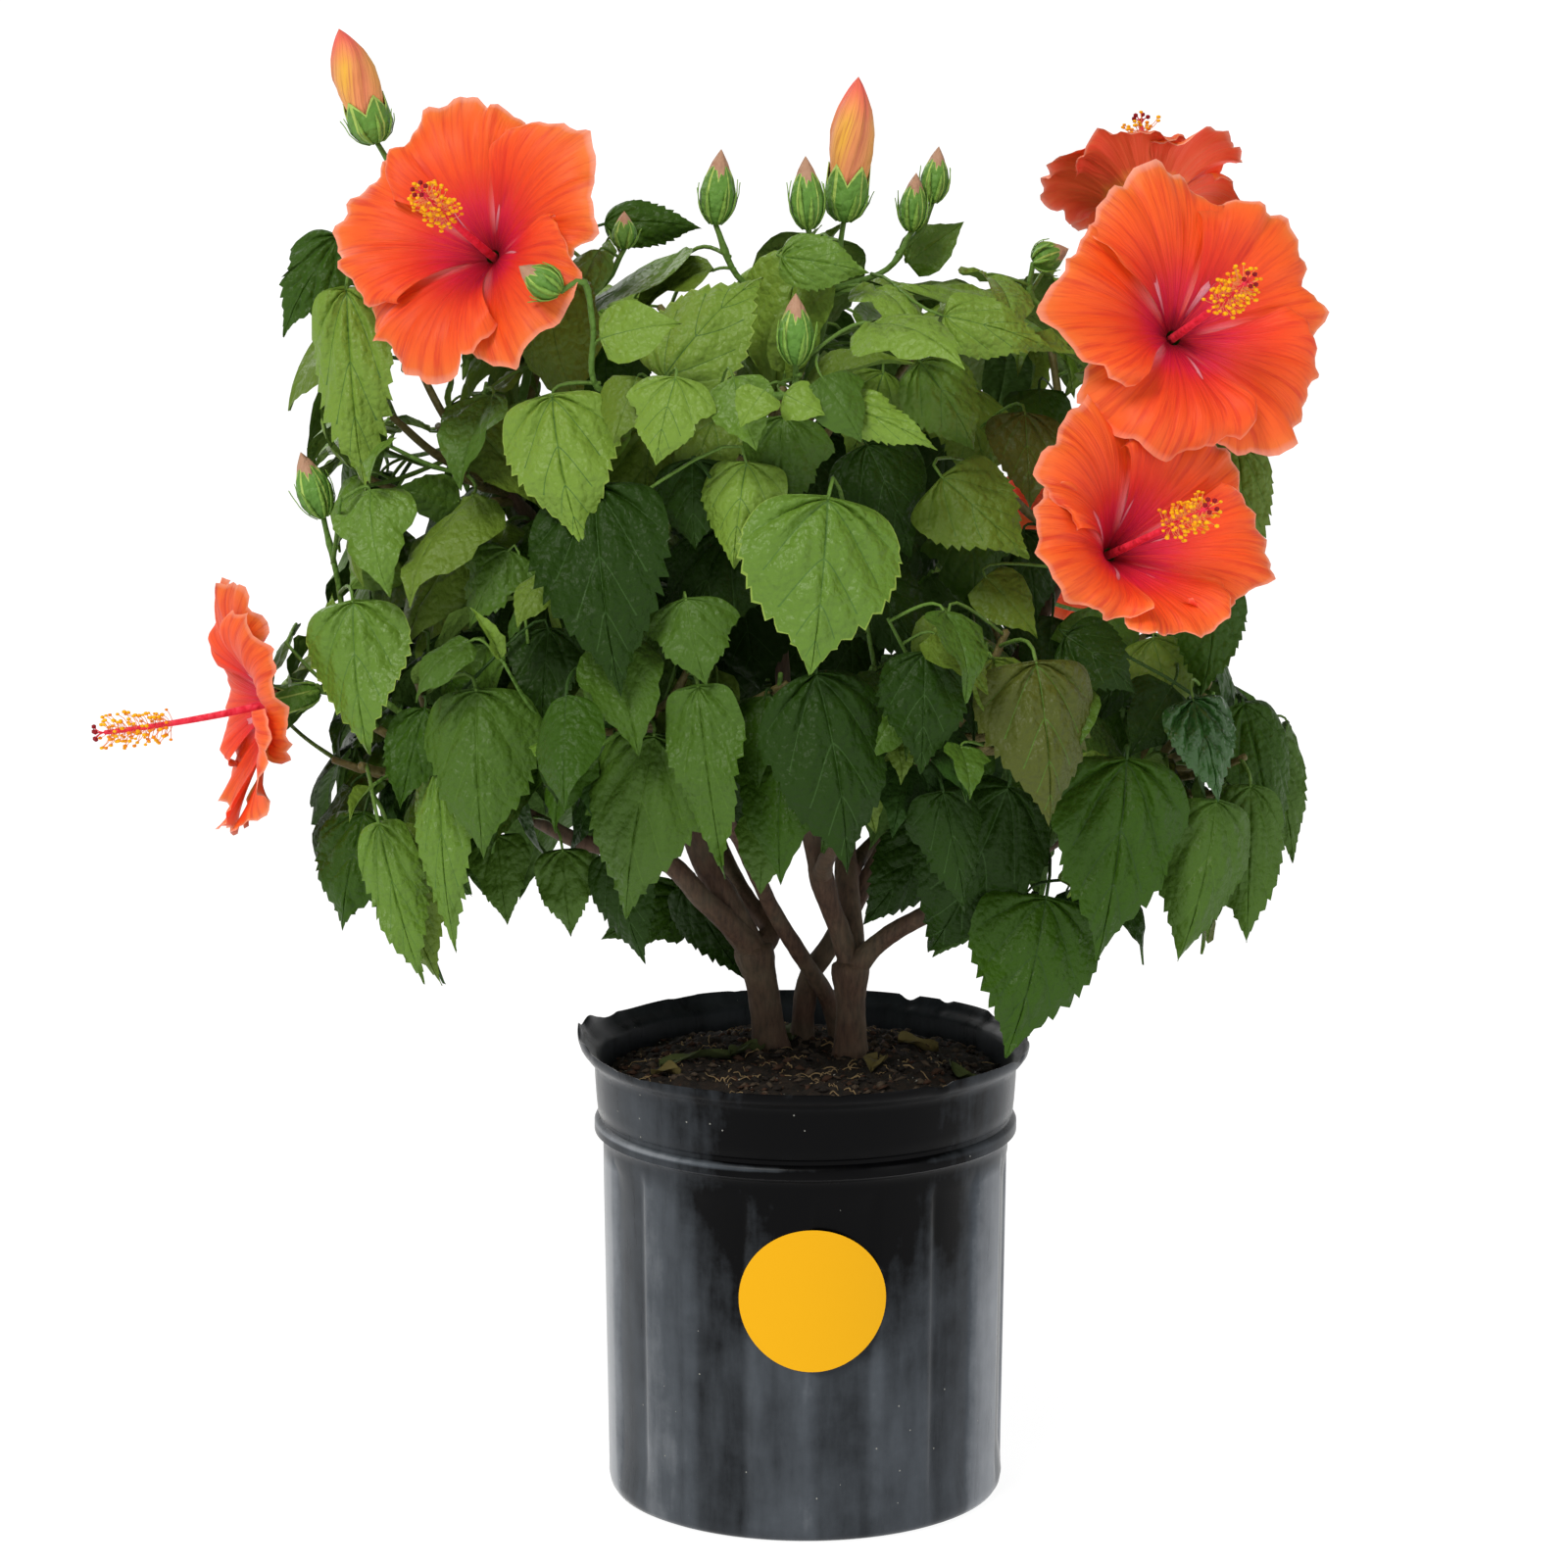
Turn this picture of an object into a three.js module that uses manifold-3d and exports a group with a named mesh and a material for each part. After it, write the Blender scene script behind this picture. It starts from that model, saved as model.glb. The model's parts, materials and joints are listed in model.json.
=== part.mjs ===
// Hibiscus shrub in its fluted nursery pot, with open flowers and buds.
// Millimetres, +Z up. The origin is the middle of the pot's flat underside,
// -Y points at the viewer of the photograph and +X to the viewer's right.
import * as THREE from "three";
import { mergeVertices } from "three/addons/utils/BufferGeometryUtils.js";
import Module from "manifold-3d";

const wasm = await Module();
wasm.setup();

// Driving sizes of the pot and its soil
const POT_HEIGHT = 265;
const FOOT_RADIUS = 109;
const BODY_BOTTOM_RADIUS = 115;
const BODY_TOP_RADIUS = 117.5;
const BEAD_RADIUS = 122.5;
const COLLAR_RADIUS = 122;
const LIP_RADIUS = 127.5;
const WALL = 2;
const FLOOR = 4;
const FLUTES = 20;
const FLUTE_DEPTH = 1.6;
const FLUTED_FROM = 14;
const FLUTED_TO = 204;
const STEPS_PER_FLUTE = 2;
const STEPS_ROUND_SOIL = 24;
const SOIL_LEVEL = 256;
const SOIL_EDGE_LEVEL = 243;
const CLEARANCE = 0.3;

// Driving sizes of the plant
const LIMB_SIDES = 7;
const LIMB_STEP = 32;
const CROWN_MIDDLE = [-8, 0, 512];
const CROWN_REACH = [308, 272, 228];
const CROWN_SQUARENESS = 3;
const LEAF_THICKNESS = 2.4;
const LEAF_MARGIN = 3;
const PETIOLE_RADIUS = 1.4;
const ROOT_RADIUS = 0.9;
const SHOOT_RADIUS = 2.8;
const SHOOT_TIP_RADIUS = 2.1;
const GOLDEN_ANGLE = 2.399963;
const GROUND_FLARE = 1.35;
const FOOT_DEPTH = 6;
const STEM_START = 5;
const RIM_ROOM = 8;
const BLOOM_ROOM = 12;
const CALYX_LENGTH = 22;
const ANTHERS_START = 0.62;
const PETALS = 5;

// The photograph's view: a place read from it is a pixel of its 1600 x 1600
// frame, and the depth in millimetres behind the pot's axis.
const EYE = [-12.4, -3000, 1000];
const AIM_HEIGHT = 417;
const FOCAL_PIXELS = 5440;
const FRAME_MIDDLE = 800;
const PITCH = Math.atan2(EYE[2] - AIM_HEIGHT, -EYE[1]);

// Small vector sums
const add = (a, b) => [a[0] + b[0], a[1] + b[1], a[2] + b[2]];
const sub = (a, b) => [a[0] - b[0], a[1] - b[1], a[2] - b[2]];
const mul = (a, k) => [a[0] * k, a[1] * k, a[2] * k];
const dot = (a, b) => a[0] * b[0] + a[1] * b[1] + a[2] * b[2];
const cross = (a, b) => [
  a[1] * b[2] - a[2] * b[1],
  a[2] * b[0] - a[0] * b[2],
  a[0] * b[1] - a[1] * b[0],
];
const size = (a) => Math.sqrt(dot(a, a));
const unit = (a) => mul(a, 1 / size(a));
const mix = (a, b, t) => add(mul(a, 1 - t), mul(b, t));
const square = (a, along) => unit(sub(a, mul(along, dot(a, along))));
const UP = [0, 0, 1];

// The point that the photograph shows at a pixel, at depth y
function seen(px, py, y) {
  const s = Math.sin(PITCH);
  const c = Math.cos(PITCH);
  const rise = (FRAME_MIDDLE - py) / FOCAL_PIXELS;
  const away = y - EYE[1];
  const drop = (away * (rise * c - s)) / (c + rise * s);
  const depth = c * away - s * drop;
  return [EYE[0] + ((px - FRAME_MIDDLE) / FOCAL_PIXELS) * depth, y, EYE[2] + drop];
}

// Even random numbers from 0 to 1, the same run after run for one seed
function drawFrom(seed) {
  let state = seed >>> 0;
  return () => {
    state = (state + 0x6d2b79f5) >>> 0;
    let t = state;
    t = Math.imul(t ^ (t >>> 15), t | 1);
    t ^= t + Math.imul(t ^ (t >>> 7), t | 61);
    return ((t ^ (t >>> 14)) >>> 0) / 4294967296;
  };
}

// Trunks and boughs. A limb with a parent starts inside it, or at its tip.
// Each point is a pixel of the photograph with its depth; radii run foot to tip.
const LIMBS = [
  { name: "left_trunk", foot: [-19, 22], path: [[779, 1012, 21], [768, 968, 18]], radius: [9.4, 8.8] },
  { name: "right_trunk", foot: [26, 4], path: [[868, 1020, 4], [868, 984, 4]], radius: [8.8, 8.2] },
  {
    name: "right_crossing_stem", foot: [-2, 40],
    path: [[825, 999, 36], [846, 966, 34], [892, 886, 34], [921, 838, 34], [960, 780, 30], [1010, 715, 20]],
    radius: [6.6, 4.4],
  },
  {
    name: "left_crossing_stem", foot: [22, 42],
    path: [
      [845, 1020, 34], [815, 972, 16], [789, 929, 4], [768, 885, -20], [735, 820, -62], [690, 765, -100],
    ],
    radius: [5.2, 3.8],
  },
  {
    name: "left_upper_bough", parent: "left_trunk", tip: true,
    path: [[746, 925, 15], [719, 880, 10], [703, 836, 6], [676, 770, 2], [640, 690, -6], [592, 600, -14]],
    radius: [8.0, 4.6],
  },
  {
    name: "left_low_bough", parent: "left_trunk",
    path: [
      [768, 968, 18], [741, 939, 6], [716, 916, -2], [683, 882, -8], [640, 868, -14], [590, 858, -20],
      [545, 835, -24],
    ],
    radius: [7.0, 4.2],
  },
  {
    name: "back_left_bough", parent: "left_trunk",
    path: [[770, 972, 20], [786, 950, 30], [762, 918, 44], [742, 880, 70], [720, 820, 105]],
    radius: [6.2, 4.2],
  },
  {
    name: "middle_bough", parent: "right_trunk", tip: true,
    path: [
      [855, 946, 0], [842, 910, -6], [830, 860, -10], [820, 815, -14], [803, 740, -20], [797, 660, -26],
    ],
    radius: [6.6, 4.0],
  },
  {
    name: "back_bough", parent: "right_trunk",
    path: [[868, 986, 4], [870, 950, 12], [864, 893, 22], [862, 820, 48], [856, 740, 80]],
    radius: [6.8, 4.4],
  },
  {
    name: "right_low_bough", parent: "right_trunk",
    path: [
      [868, 992, 4], [892, 966, -2], [920, 946, -8], [955, 928, -12], [1005, 900, -16], [1060, 868, -20],
    ],
    radius: [6.2, 4.0],
  },
  {
    name: "front_right_bough", parent: "middle_bough",
    path: [[838, 893, -8], [846, 872, -38], [870, 842, -74], [915, 800, -112]],
    radius: [4.8, 3.8],
  },
  {
    name: "back_right_bough", parent: "back_bough",
    path: [[864, 893, 22], [884, 868, 50], [925, 828, 84], [965, 790, 118]],
    radius: [4.8, 3.8],
  },
];

// Masses of foliage: the bough that carries each, the middle and half-size of
// its space, how many shoots and leaves its stem carries, and its seed.
const MASSES = [
  {
    name: "left_low_foliage", bough: "left_low_bough", middle: [-205, -35, 440], reach: [105, 130, 95],
    shoots: 6, leaves: 23, seed: 11,
  },
  {
    name: "left_top_foliage", bough: "left_upper_bough", middle: [-180, -20, 600], reach: [118, 150, 110],
    shoots: 7, leaves: 26, seed: 12,
  },
  {
    name: "front_left_foliage", bough: "left_crossing_stem", middle: [-85, -120, 480], reach: [105, 95, 95],
    shoots: 6, leaves: 21, seed: 13,
  },
  {
    name: "middle_top_foliage", bough: "middle_bough", middle: [-20, -60, 620], reach: [120, 135, 110],
    shoots: 7, leaves: 29, seed: 14,
  },
  {
    name: "front_right_foliage", bough: "front_right_bough", middle: [80, -125, 470], reach: [105, 90, 95],
    shoots: 6, leaves: 22, seed: 15,
  },
  {
    name: "right_top_foliage", bough: "right_crossing_stem", middle: [160, -15, 590], reach: [125, 145, 110],
    shoots: 7, leaves: 26, seed: 16,
  },
  {
    name: "right_low_foliage", bough: "right_low_bough", middle: [200, -20, 435], reach: [110, 140, 100],
    shoots: 7, leaves: 23, seed: 17,
  },
  {
    name: "back_left_foliage", bough: "back_left_bough", middle: [-120, 140, 480], reach: [125, 110, 110],
    shoots: 7, leaves: 23, seed: 18,
  },
  {
    name: "back_right_foliage", bough: "back_right_bough", middle: [120, 140, 475], reach: [125, 110, 110],
    shoots: 7, leaves: 22, seed: 19,
  },
  {
    name: "back_top_foliage", bough: "back_bough", middle: [0, 110, 625], reach: [165, 120, 105],
    shoots: 7, leaves: 24, seed: 20,
  },
];

// Open flowers: the pixel and depth where the petals meet, the way they face,
// their radius, the depth of the funnel and the length of the column in it.
const FLOWERS = [
  {
    mass: "left_top_foliage", at: [503, 262, -96], facing: [-0.4, -0.8, 0.44],
    radius: 80, depth: 36, column: 88, turn: 0.3,
  },
  {
    mass: "right_top_foliage", at: [1197, 345, -110], facing: [0.38, -0.82, 0.4],
    radius: 86, depth: 34, column: 90, turn: 0.1,
  },
  {
    mass: "right_top_foliage", at: [1132, 566, -150], facing: [0.5, -0.76, 0.36],
    radius: 77, depth: 46, column: 92, turn: 0.5,
  },
  {
    mass: "right_top_foliage", at: [1172, 232, 22], facing: [-0.05, 0.6, 0.8],
    radius: 60, depth: 36, column: 64, turn: 0.9,
  },
  {
    mass: "left_low_foliage", at: [287, 714, -40], facing: [-0.96, -0.14, -0.2],
    radius: 77, depth: 24, column: 106, turn: 0.2,
  },
  {
    mass: "back_right_foliage", at: [1105, 565, 218], facing: [0.35, 0.9, 0.25],
    radius: 78, depth: 36, column: 88, turn: 0.8,
  },
  {
    mass: "back_top_foliage", at: [830, 585, 224], facing: [-0.15, 0.85, 0.5],
    radius: 74, depth: 36, column: 86, turn: 0.6,
  },
];

// Buds: base and tip as pixels, the depth, the radius, and whether the furled
// petals already stand out of the calyx. The nodding bud's stalk has a way.
const NODDING_WAY = [[612, 398, -146], [605, 332, -156], [594, 286, -164]];
const BUDS = [
  { mass: "left_top_foliage", base: [385, 146], tip: [346, 30], depth: -62, radius: 12.5, tall: true },
  { mass: "middle_top_foliage", base: [861, 226], tip: [876, 79], depth: -62, radius: 12.5, tall: true },
  { mass: "middle_top_foliage", base: [730, 229], tip: [736, 153], depth: -66, radius: 10, tall: false },
  { mass: "middle_top_foliage", base: [825, 234], tip: [822, 160], depth: -84, radius: 9.5, tall: false },
  { mass: "middle_top_foliage", base: [930, 236], tip: [935, 177], depth: -44, radius: 8, tall: false },
  { mass: "middle_top_foliage", base: [951, 207], tip: [958, 150], depth: -34, radius: 8, tall: false },
  { mass: "middle_top_foliage", base: [812, 372], tip: [812, 300], depth: -158, radius: 10, tall: false },
  { mass: "left_top_foliage", base: [637, 254], tip: [637, 216], depth: -60, radius: 7, tall: false },
  {
    mass: "middle_top_foliage", base: [572, 298], tip: [530, 272], depth: -168, radius: 9.5, tall: false,
    way: NODDING_WAY,
  },
  { mass: "left_low_foliage", base: [330, 528], tip: [307, 462], depth: -70, radius: 10, tall: false },
  { mass: "right_top_foliage", base: [1054, 268], tip: [1090, 254], depth: -44, radius: 9, tall: false },
  { mass: "back_top_foliage", base: [700, 400], tip: [692, 305], depth: 160, radius: 11, tall: true },
  { mass: "back_left_foliage", base: [600, 420], tip: [590, 350], depth: 190, radius: 9, tall: false },
  { mass: "back_right_foliage", base: [960, 460], tip: [968, 392], depth: 190, radius: 9, tall: false },
];

// The leaves that show most: the pixels of blade base and tip, their depths,
// and the blade's width in millimetres.
const KEY_LEAVES = [
  { mass: "front_right_foliage", base: [845, 506, -186], tip: [828, 688, -214], width: 90 },
  { mass: "middle_top_foliage", base: [563, 402, -150], tip: [583, 557, -180], width: 66 },
  { mass: "front_left_foliage", base: [606, 492, -160], tip: [628, 710, -200], width: 78 },
  { mass: "left_low_foliage", base: [360, 612, -104], tip: [370, 770, -130], width: 63 },
  { mass: "left_low_foliage", base: [486, 702, -142], tip: [494, 878, -170], width: 67 },
  { mass: "front_left_foliage", base: [668, 748, -160], tip: [640, 940, -178], width: 70 },
  { mass: "front_left_foliage", base: [712, 698, -178], tip: [742, 898, -196], width: 44 },
  { mass: "front_right_foliage", base: [832, 684, -192], tip: [877, 890, -206], width: 72 },
  { mass: "front_right_foliage", base: [1057, 674, -182], tip: [1077, 842, -206], width: 69 },
  { mass: "right_low_foliage", base: [1150, 772, -138], tip: [1128, 982, -158], width: 80 },
  { mass: "right_low_foliage", base: [1242, 815, -112], tip: [1214, 984, -128], width: 56 },
  { mass: "right_low_foliage", base: [1268, 716, -52], tip: [1310, 900, -66], width: 46 },
  { mass: "right_low_foliage", base: [1064, 914, -122], tip: [1034, 1082, -142], width: 72 },
  { mass: "front_right_foliage", base: [1030, 800, -126], tip: [950, 982, -112], width: 72 },
  { mass: "front_right_foliage", base: [962, 806, -160], tip: [983, 934, -164], width: 40 },
  { mass: "left_top_foliage", base: [353, 292, -64], tip: [374, 508, -84], width: 50 },
  { mass: "left_top_foliage", base: [346, 240, -22], tip: [286, 342, -34], width: 40 },
  { mass: "middle_top_foliage", base: [676, 386, -128], tip: [772, 272, -104], width: 60 },
  { mass: "left_low_foliage", base: [445, 780, -128], tip: [464, 974, -144], width: 40 },
  { mass: "left_low_foliage", base: [405, 838, -118], tip: [437, 1010, -134], width: 40 },
  { mass: "left_low_foliage", base: [372, 828, -60], tip: [348, 950, -74], width: 52 },
  { mass: "left_low_foliage", base: [434, 722, -96], tip: [412, 826, -112], width: 36 },
  { mass: "left_low_foliage", base: [574, 866, -84], tip: [583, 956, -92], width: 36 },
  { mass: "middle_top_foliage", base: [858, 412, -176], tip: [958, 455, -186], width: 27 },
  { mass: "middle_top_foliage", base: [962, 322, -118], tip: [1078, 352, -126], width: 36 },
  { mass: "middle_top_foliage", base: [796, 262, -106], tip: [886, 276, -116], width: 32 },
  { mass: "middle_top_foliage", base: [612, 346, -158], tip: [694, 324, -164], width: 36 },
  { mass: "middle_top_foliage", base: [938, 368, -92], tip: [1000, 456, -104], width: 46 },
  { mass: "middle_top_foliage", base: [868, 300, -40], tip: [950, 246, -30], width: 46 },
  { mass: "right_top_foliage", base: [960, 486, -128], tip: [1046, 574, -146], width: 60 },
  { mass: "right_top_foliage", base: [1262, 450, -50], tip: [1268, 588, -66], width: 42 },
  { mass: "right_top_foliage", base: [1238, 596, -70], tip: [1234, 712, -84], width: 44 },
  { mass: "right_low_foliage", base: [1217, 712, -124], tip: [1246, 818, -136], width: 42 },
  { mass: "right_low_foliage", base: [962, 846, -50], tip: [876, 940, -58], width: 46 },
  { mass: "front_left_foliage", base: [785, 826, -104], tip: [772, 912, -114], width: 36 },
  { mass: "left_top_foliage", base: [612, 262, 16], tip: [714, 225, 14], width: 38 },
  { mass: "left_top_foliage", base: [470, 512, -60], tip: [400, 500, -70], width: 28 },
  { mass: "middle_top_foliage", base: [668, 430, -112], tip: [648, 560, -130], width: 56 },
  { mass: "middle_top_foliage", base: [742, 396, -100], tip: [704, 500, -122], width: 52 },
  { mass: "middle_top_foliage", base: [800, 424, -112], tip: [792, 530, -130], width: 50 },
  { mass: "middle_top_foliage", base: [884, 452, -106], tip: [934, 566, -130], width: 54 },
  { mass: "middle_top_foliage", base: [902, 378, -96], tip: [868, 472, -112], width: 46 },
  { mass: "middle_top_foliage", base: [744, 540, -118], tip: [684, 690, -146], width: 56 },
  { mass: "middle_top_foliage", base: [886, 590, -110], tip: [946, 680, -126], width: 50 },
  { mass: "right_top_foliage", base: [982, 396, -64], tip: [1006, 500, -82], width: 46 },
  { mass: "back_left_foliage", base: [704, 916, 92], tip: [612, 956, 84], width: 40 },
  { mass: "right_low_foliage", base: [1086, 648, -110], tip: [1164, 700, -118], width: 44 },
  { mass: "right_low_foliage", base: [1176, 650, -64], tip: [1196, 742, -74], width: 46 },
  { mass: "right_low_foliage", base: [1084, 760, -70], tip: [1066, 872, -84], width: 52 },
  { mass: "right_low_foliage", base: [1166, 796, -40], tip: [1172, 920, -50], width: 54 },
  { mass: "right_low_foliage", base: [1008, 898, -84], tip: [955, 980, -92], width: 36 },
  { mass: "right_top_foliage", base: [1004, 588, -110], tip: [1062, 648, -122], width: 36 },
  { mass: "right_top_foliage", base: [1046, 420, -80], tip: [1046, 520, -96], width: 46 },
  { mass: "front_right_foliage", base: [944, 664, -150], tip: [936, 790, -164], width: 52 },
  { mass: "front_left_foliage", base: [762, 470, -168], tip: [748, 580, -184], width: 50 },
  { mass: "front_left_foliage", base: [700, 610, -150], tip: [716, 700, -164], width: 48 },
  { mass: "left_low_foliage", base: [560, 640, -120], tip: [556, 742, -134], width: 44 },
  { mass: "left_top_foliage", base: [398, 560, -70], tip: [354, 600, -78], width: 40 },
  { mass: "left_low_foliage", base: [520, 560, -110], tip: [476, 640, -122], width: 44 },
];

// Closed solid from points and the corners of its faces
function solidOf(points, faces) {
  const vertProperties = new Float32Array(points.flat());
  const triVerts = new Uint32Array(faces.flat());
  return new wasm.Manifold(new wasm.Mesh({ numProp: 3, vertProperties, triVerts }));
}

// A round limb through points, its ring turned with the path, with flat ends
function tube(points, radii, sides) {
  const rings = [];
  let across = null;
  points.forEach((point, i) => {
    const before = points[Math.max(i - 1, 0)];
    const after = points[Math.min(i + 1, points.length - 1)];
    const along = unit(sub(after, before));
    const hint = across ?? (Math.abs(along[2]) > 0.9 ? [1, 0, 0] : UP);
    across = square(hint, along);
    const third = cross(along, across);
    for (let k = 0; k < sides; k += 1) {
      const angle = (2 * Math.PI * k) / sides;
      const offset = add(mul(across, Math.cos(angle) * radii[i]), mul(third, Math.sin(angle) * radii[i]));
      rings.push(add(point, offset));
    }
  });
  const faces = [];
  const last = (points.length - 1) * sides;
  for (let i = 0; i < points.length - 1; i += 1) {
    for (let k = 0; k < sides; k += 1) {
      const a = i * sides + k;
      const b = i * sides + ((k + 1) % sides);
      faces.push([a, b, b + sides], [a, b + sides, a + sides]);
    }
  }
  for (let k = 1; k < sides - 1; k += 1) {
    faces.push([0, k + 1, k], [last, last + k, last + k + 1]);
  }
  return solidOf(rings, faces);
}

// Points along a smooth curve through the given ones
function smooth(points, count) {
  const curve = new THREE.CatmullRomCurve3(points.map((p) => new THREE.Vector3(...p)));
  return curve.getSpacedPoints(count).map((p) => [p.x, p.y, p.z]);
}

// Points along one bend from a to c, pulled towards b
function bend(a, b, c, count) {
  return Array.from({ length: count + 1 }, (_, i) => {
    const t = i / count;
    return mix(mix(a, b, t), mix(b, c, t), t);
  });
}

function radiiAlong(from, to, count) {
  return Array.from({ length: count }, (_, i) => from + ((to - from) * i) / (count - 1));
}

function segmentsOf(points, radii, mass) {
  return points.slice(1).map((b, i) => ({ a: points[i], b, radius: radii[i], mass }));
}

// Shortest way between two straight pieces a-b and c-d
function gapBetween(a, b, c, d) {
  const u = sub(b, a);
  const v = sub(d, c);
  const w = sub(a, c);
  const uu = dot(u, u);
  const uv = dot(u, v);
  const vv = dot(v, v);
  const uw = dot(u, w);
  const vw = dot(v, w);
  const det = uu * vv - uv * uv;
  let s = det > 1e-9 ? (uv * vw - vv * uw) / det : 0;
  s = Math.min(Math.max(s, 0), 1);
  let t = (uv * s + vw) / vv;
  if (t < 0 || t > 1) {
    t = Math.min(Math.max(t, 0), 1);
    s = Math.min(Math.max((uv * t - uw) / uu, 0), 1);
  }
  return size(sub(add(a, mul(u, s)), add(c, mul(v, t))));
}

// Whether the straight piece a-b passes through a triangle
function pierces(a, b, [p, q, r]) {
  const along = sub(b, a);
  const e1 = sub(q, p);
  const e2 = sub(r, p);
  const h = cross(along, e2);
  const det = dot(e1, h);
  if (Math.abs(det) < 1e-9) return false;
  const s = sub(a, p);
  const u = dot(s, h) / det;
  if (u < 0 || u > 1) return false;
  const g = cross(s, e1);
  const v = dot(along, g) / det;
  if (v < 0 || u + v > 1) return false;
  const t = dot(e2, g) / det;
  return t >= 0 && t <= 1;
}

// Limbs: centre line, taper and solid of each
const limbs = new Map();
for (const limb of LIMBS) {
  const parent = limbs.get(limb.parent);
  const points = limb.path.map((p) => seen(...p));
  const base = [];
  if (limb.foot) base.push([...limb.foot, SOIL_LEVEL - FOOT_DEPTH]);
  if (limb.tip) base.push(add(parent.end, mul(parent.heading, CLEARANCE)));
  const route = [...base, ...points];
  const length = route.slice(1).reduce((sum, p, i) => sum + size(sub(p, route[i])), 0);
  const steps = Math.max(3, Math.round(length / LIMB_STEP));
  const line = smooth(route, steps);
  const radii = radiiAlong(limb.radius[0], limb.radius[1], steps + 1);
  if (limb.foot) radii[0] *= GROUND_FLARE;
  const end = line[steps];
  const heading = unit(sub(end, line[steps - 1]));
  limbs.set(limb.name, { ...limb, line, radii, end, heading, segments: segmentsOf(line, radii, limb.name) });
}

// Place of a leaf's blade at u along it and v across, from -1 to 1
function bladeWidth(u) {
  return Math.sin(Math.PI * Math.pow(u, 0.62));
}

function bladePoint(leaf, u, v, lift) {
  const half = 0.5 * leaf.width * bladeWidth(u) * v;
  const along = mul(leaf.along, leaf.length * u);
  const rise = leaf.length * leaf.arch * 4 * u * (1 - u) + Math.abs(half) * Math.sin(leaf.fold) + lift;
  return add(add(add(leaf.base, along), mul(leaf.face, rise)), mul(leaf.side, half * Math.cos(leaf.fold)));
}

// The blade as six outline points and a raised and a sunk middle point
const OUTLINE = [[0, 0], [0.14, -1], [0.5, -1], [1, 0], [0.5, 1], [0.14, 1]];
const MIDDLE_OF_BLADE = 0.4;
const BLADE_FACES = [0, 1, 2, 3, 4, 5].flatMap((i) => {
  const next = (i + 1) % 6;
  return [[6, i, next], [7, next, i]];
});

function bladeShape(leaf, thickness, margin) {
  const grown = {
    ...leaf,
    base: sub(leaf.base, mul(leaf.along, margin)),
    length: leaf.length + 2 * margin,
    width: leaf.width + 2 * margin,
  };
  const points = OUTLINE.map(([u, v]) => bladePoint(grown, u, v, 0));
  points.push(bladePoint(grown, MIDDLE_OF_BLADE, 0, thickness / 2));
  points.push(bladePoint(grown, MIDDLE_OF_BLADE, 0, -thickness / 2));
  return points;
}

// A whole leaf in one closed shape: a three-sided petiole from root to neck,
// which opens into the blade. Points 0-2 ring the root and 3-5 the neck, 6-10
// are the outline and 11 and 12 the raised and sunk middle.
const LEAF_FACES = [
  [0, 1, 2], [0, 3, 4], [0, 4, 1], [1, 4, 5], [1, 5, 2], [2, 5, 3], [2, 3, 0],
  [11, 3, 6], [11, 6, 7], [11, 7, 8], [11, 8, 9], [11, 9, 10], [11, 10, 4], [11, 4, 3],
  [12, 6, 3], [12, 7, 6], [12, 8, 7], [12, 9, 8], [12, 10, 9], [12, 4, 10], [12, 5, 4], [12, 3, 5],
];

function leafSolid({ leaf, root }) {
  const neck = sub(leaf.base, mul(leaf.along, 1));
  const heading = unit(sub(neck, root));
  const wide = square(leaf.side, heading);
  const high = cross(heading, wide);
  const ring = (at, radius) => [[-0.87, 0.5], [0.87, 0.5], [0, -1]].map(([x, y]) => {
    return add(at, add(mul(wide, radius * x), mul(high, radius * y)));
  });
  const blade = bladeShape(leaf, LEAF_THICKNESS, 0).slice(1);
  return solidOf([...ring(root, ROOT_RADIUS), ...ring(neck, PETIOLE_RADIUS), ...blade], LEAF_FACES);
}

function leafFrom(base, tip, face, width, arch, fold) {
  const way = sub(tip, base);
  const along = unit(way);
  const front = square(face, along);
  return { base, along, face: front, side: cross(front, along), length: size(way), width, arch, fold };
}

// What has been placed so far, for keeping leaves and shoots apart
const placedBlades = [];
const twigSegments = [];
const limbSegments = [...limbs.values()].flatMap((limb) => limb.segments);

function triangleSet(points, faces, mass) {
  const triangles = faces.map((f) => f.map((i) => points[i]));
  const middle = mul(points.reduce(add, [0, 0, 0]), 1 / points.length);
  const radius = Math.max(...points.map((p) => size(sub(p, middle))));
  const edges = triangles.flatMap(([p, q, r]) => [[p, q], [q, r], [r, p]]);
  return { triangles, edges, middle, heart: mix(points[0], points[3], 0.45), radius, mass, points };
}

function setsMeet(one, other) {
  if (size(sub(one.middle, other.middle)) > one.radius + other.radius) return false;
  const hits = (a, b) => a.edges.some(([p, q]) => b.triangles.some((t) => pierces(p, q, t)));
  return hits(one, other) || hits(other, one);
}

function nearSet(segment, set) {
  const reach = set.radius + 0.5 * size(sub(segment.b, segment.a)) + BLOOM_ROOM;
  return size(sub(mix(segment.a, segment.b, 0.5), set.middle)) < reach;
}

function setMeetsSegments(set, segments, room) {
  return segments.some((s) => {
    if (!nearSet(s, set)) return false;
    if (set.triangles.some((t) => pierces(s.a, s.b, t))) return true;
    return set.edges.some(([p, q]) => gapBetween(s.a, s.b, p, q) < s.radius + room);
  });
}

function segmentFree(segment, own, room) {
  const { a, b, radius } = segment;
  const tooNear = (s) => gapBetween(s.a, s.b, a, b) < s.radius + radius + room;
  if (limbSegments.some(tooNear)) return false;
  if (twigSegments.some((s) => s.mass !== own && tooNear(s))) return false;
  return !placedBlades.some((set) => nearSet(segment, set) && set.triangles.some((t) => pierces(a, b, t)));
}

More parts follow.
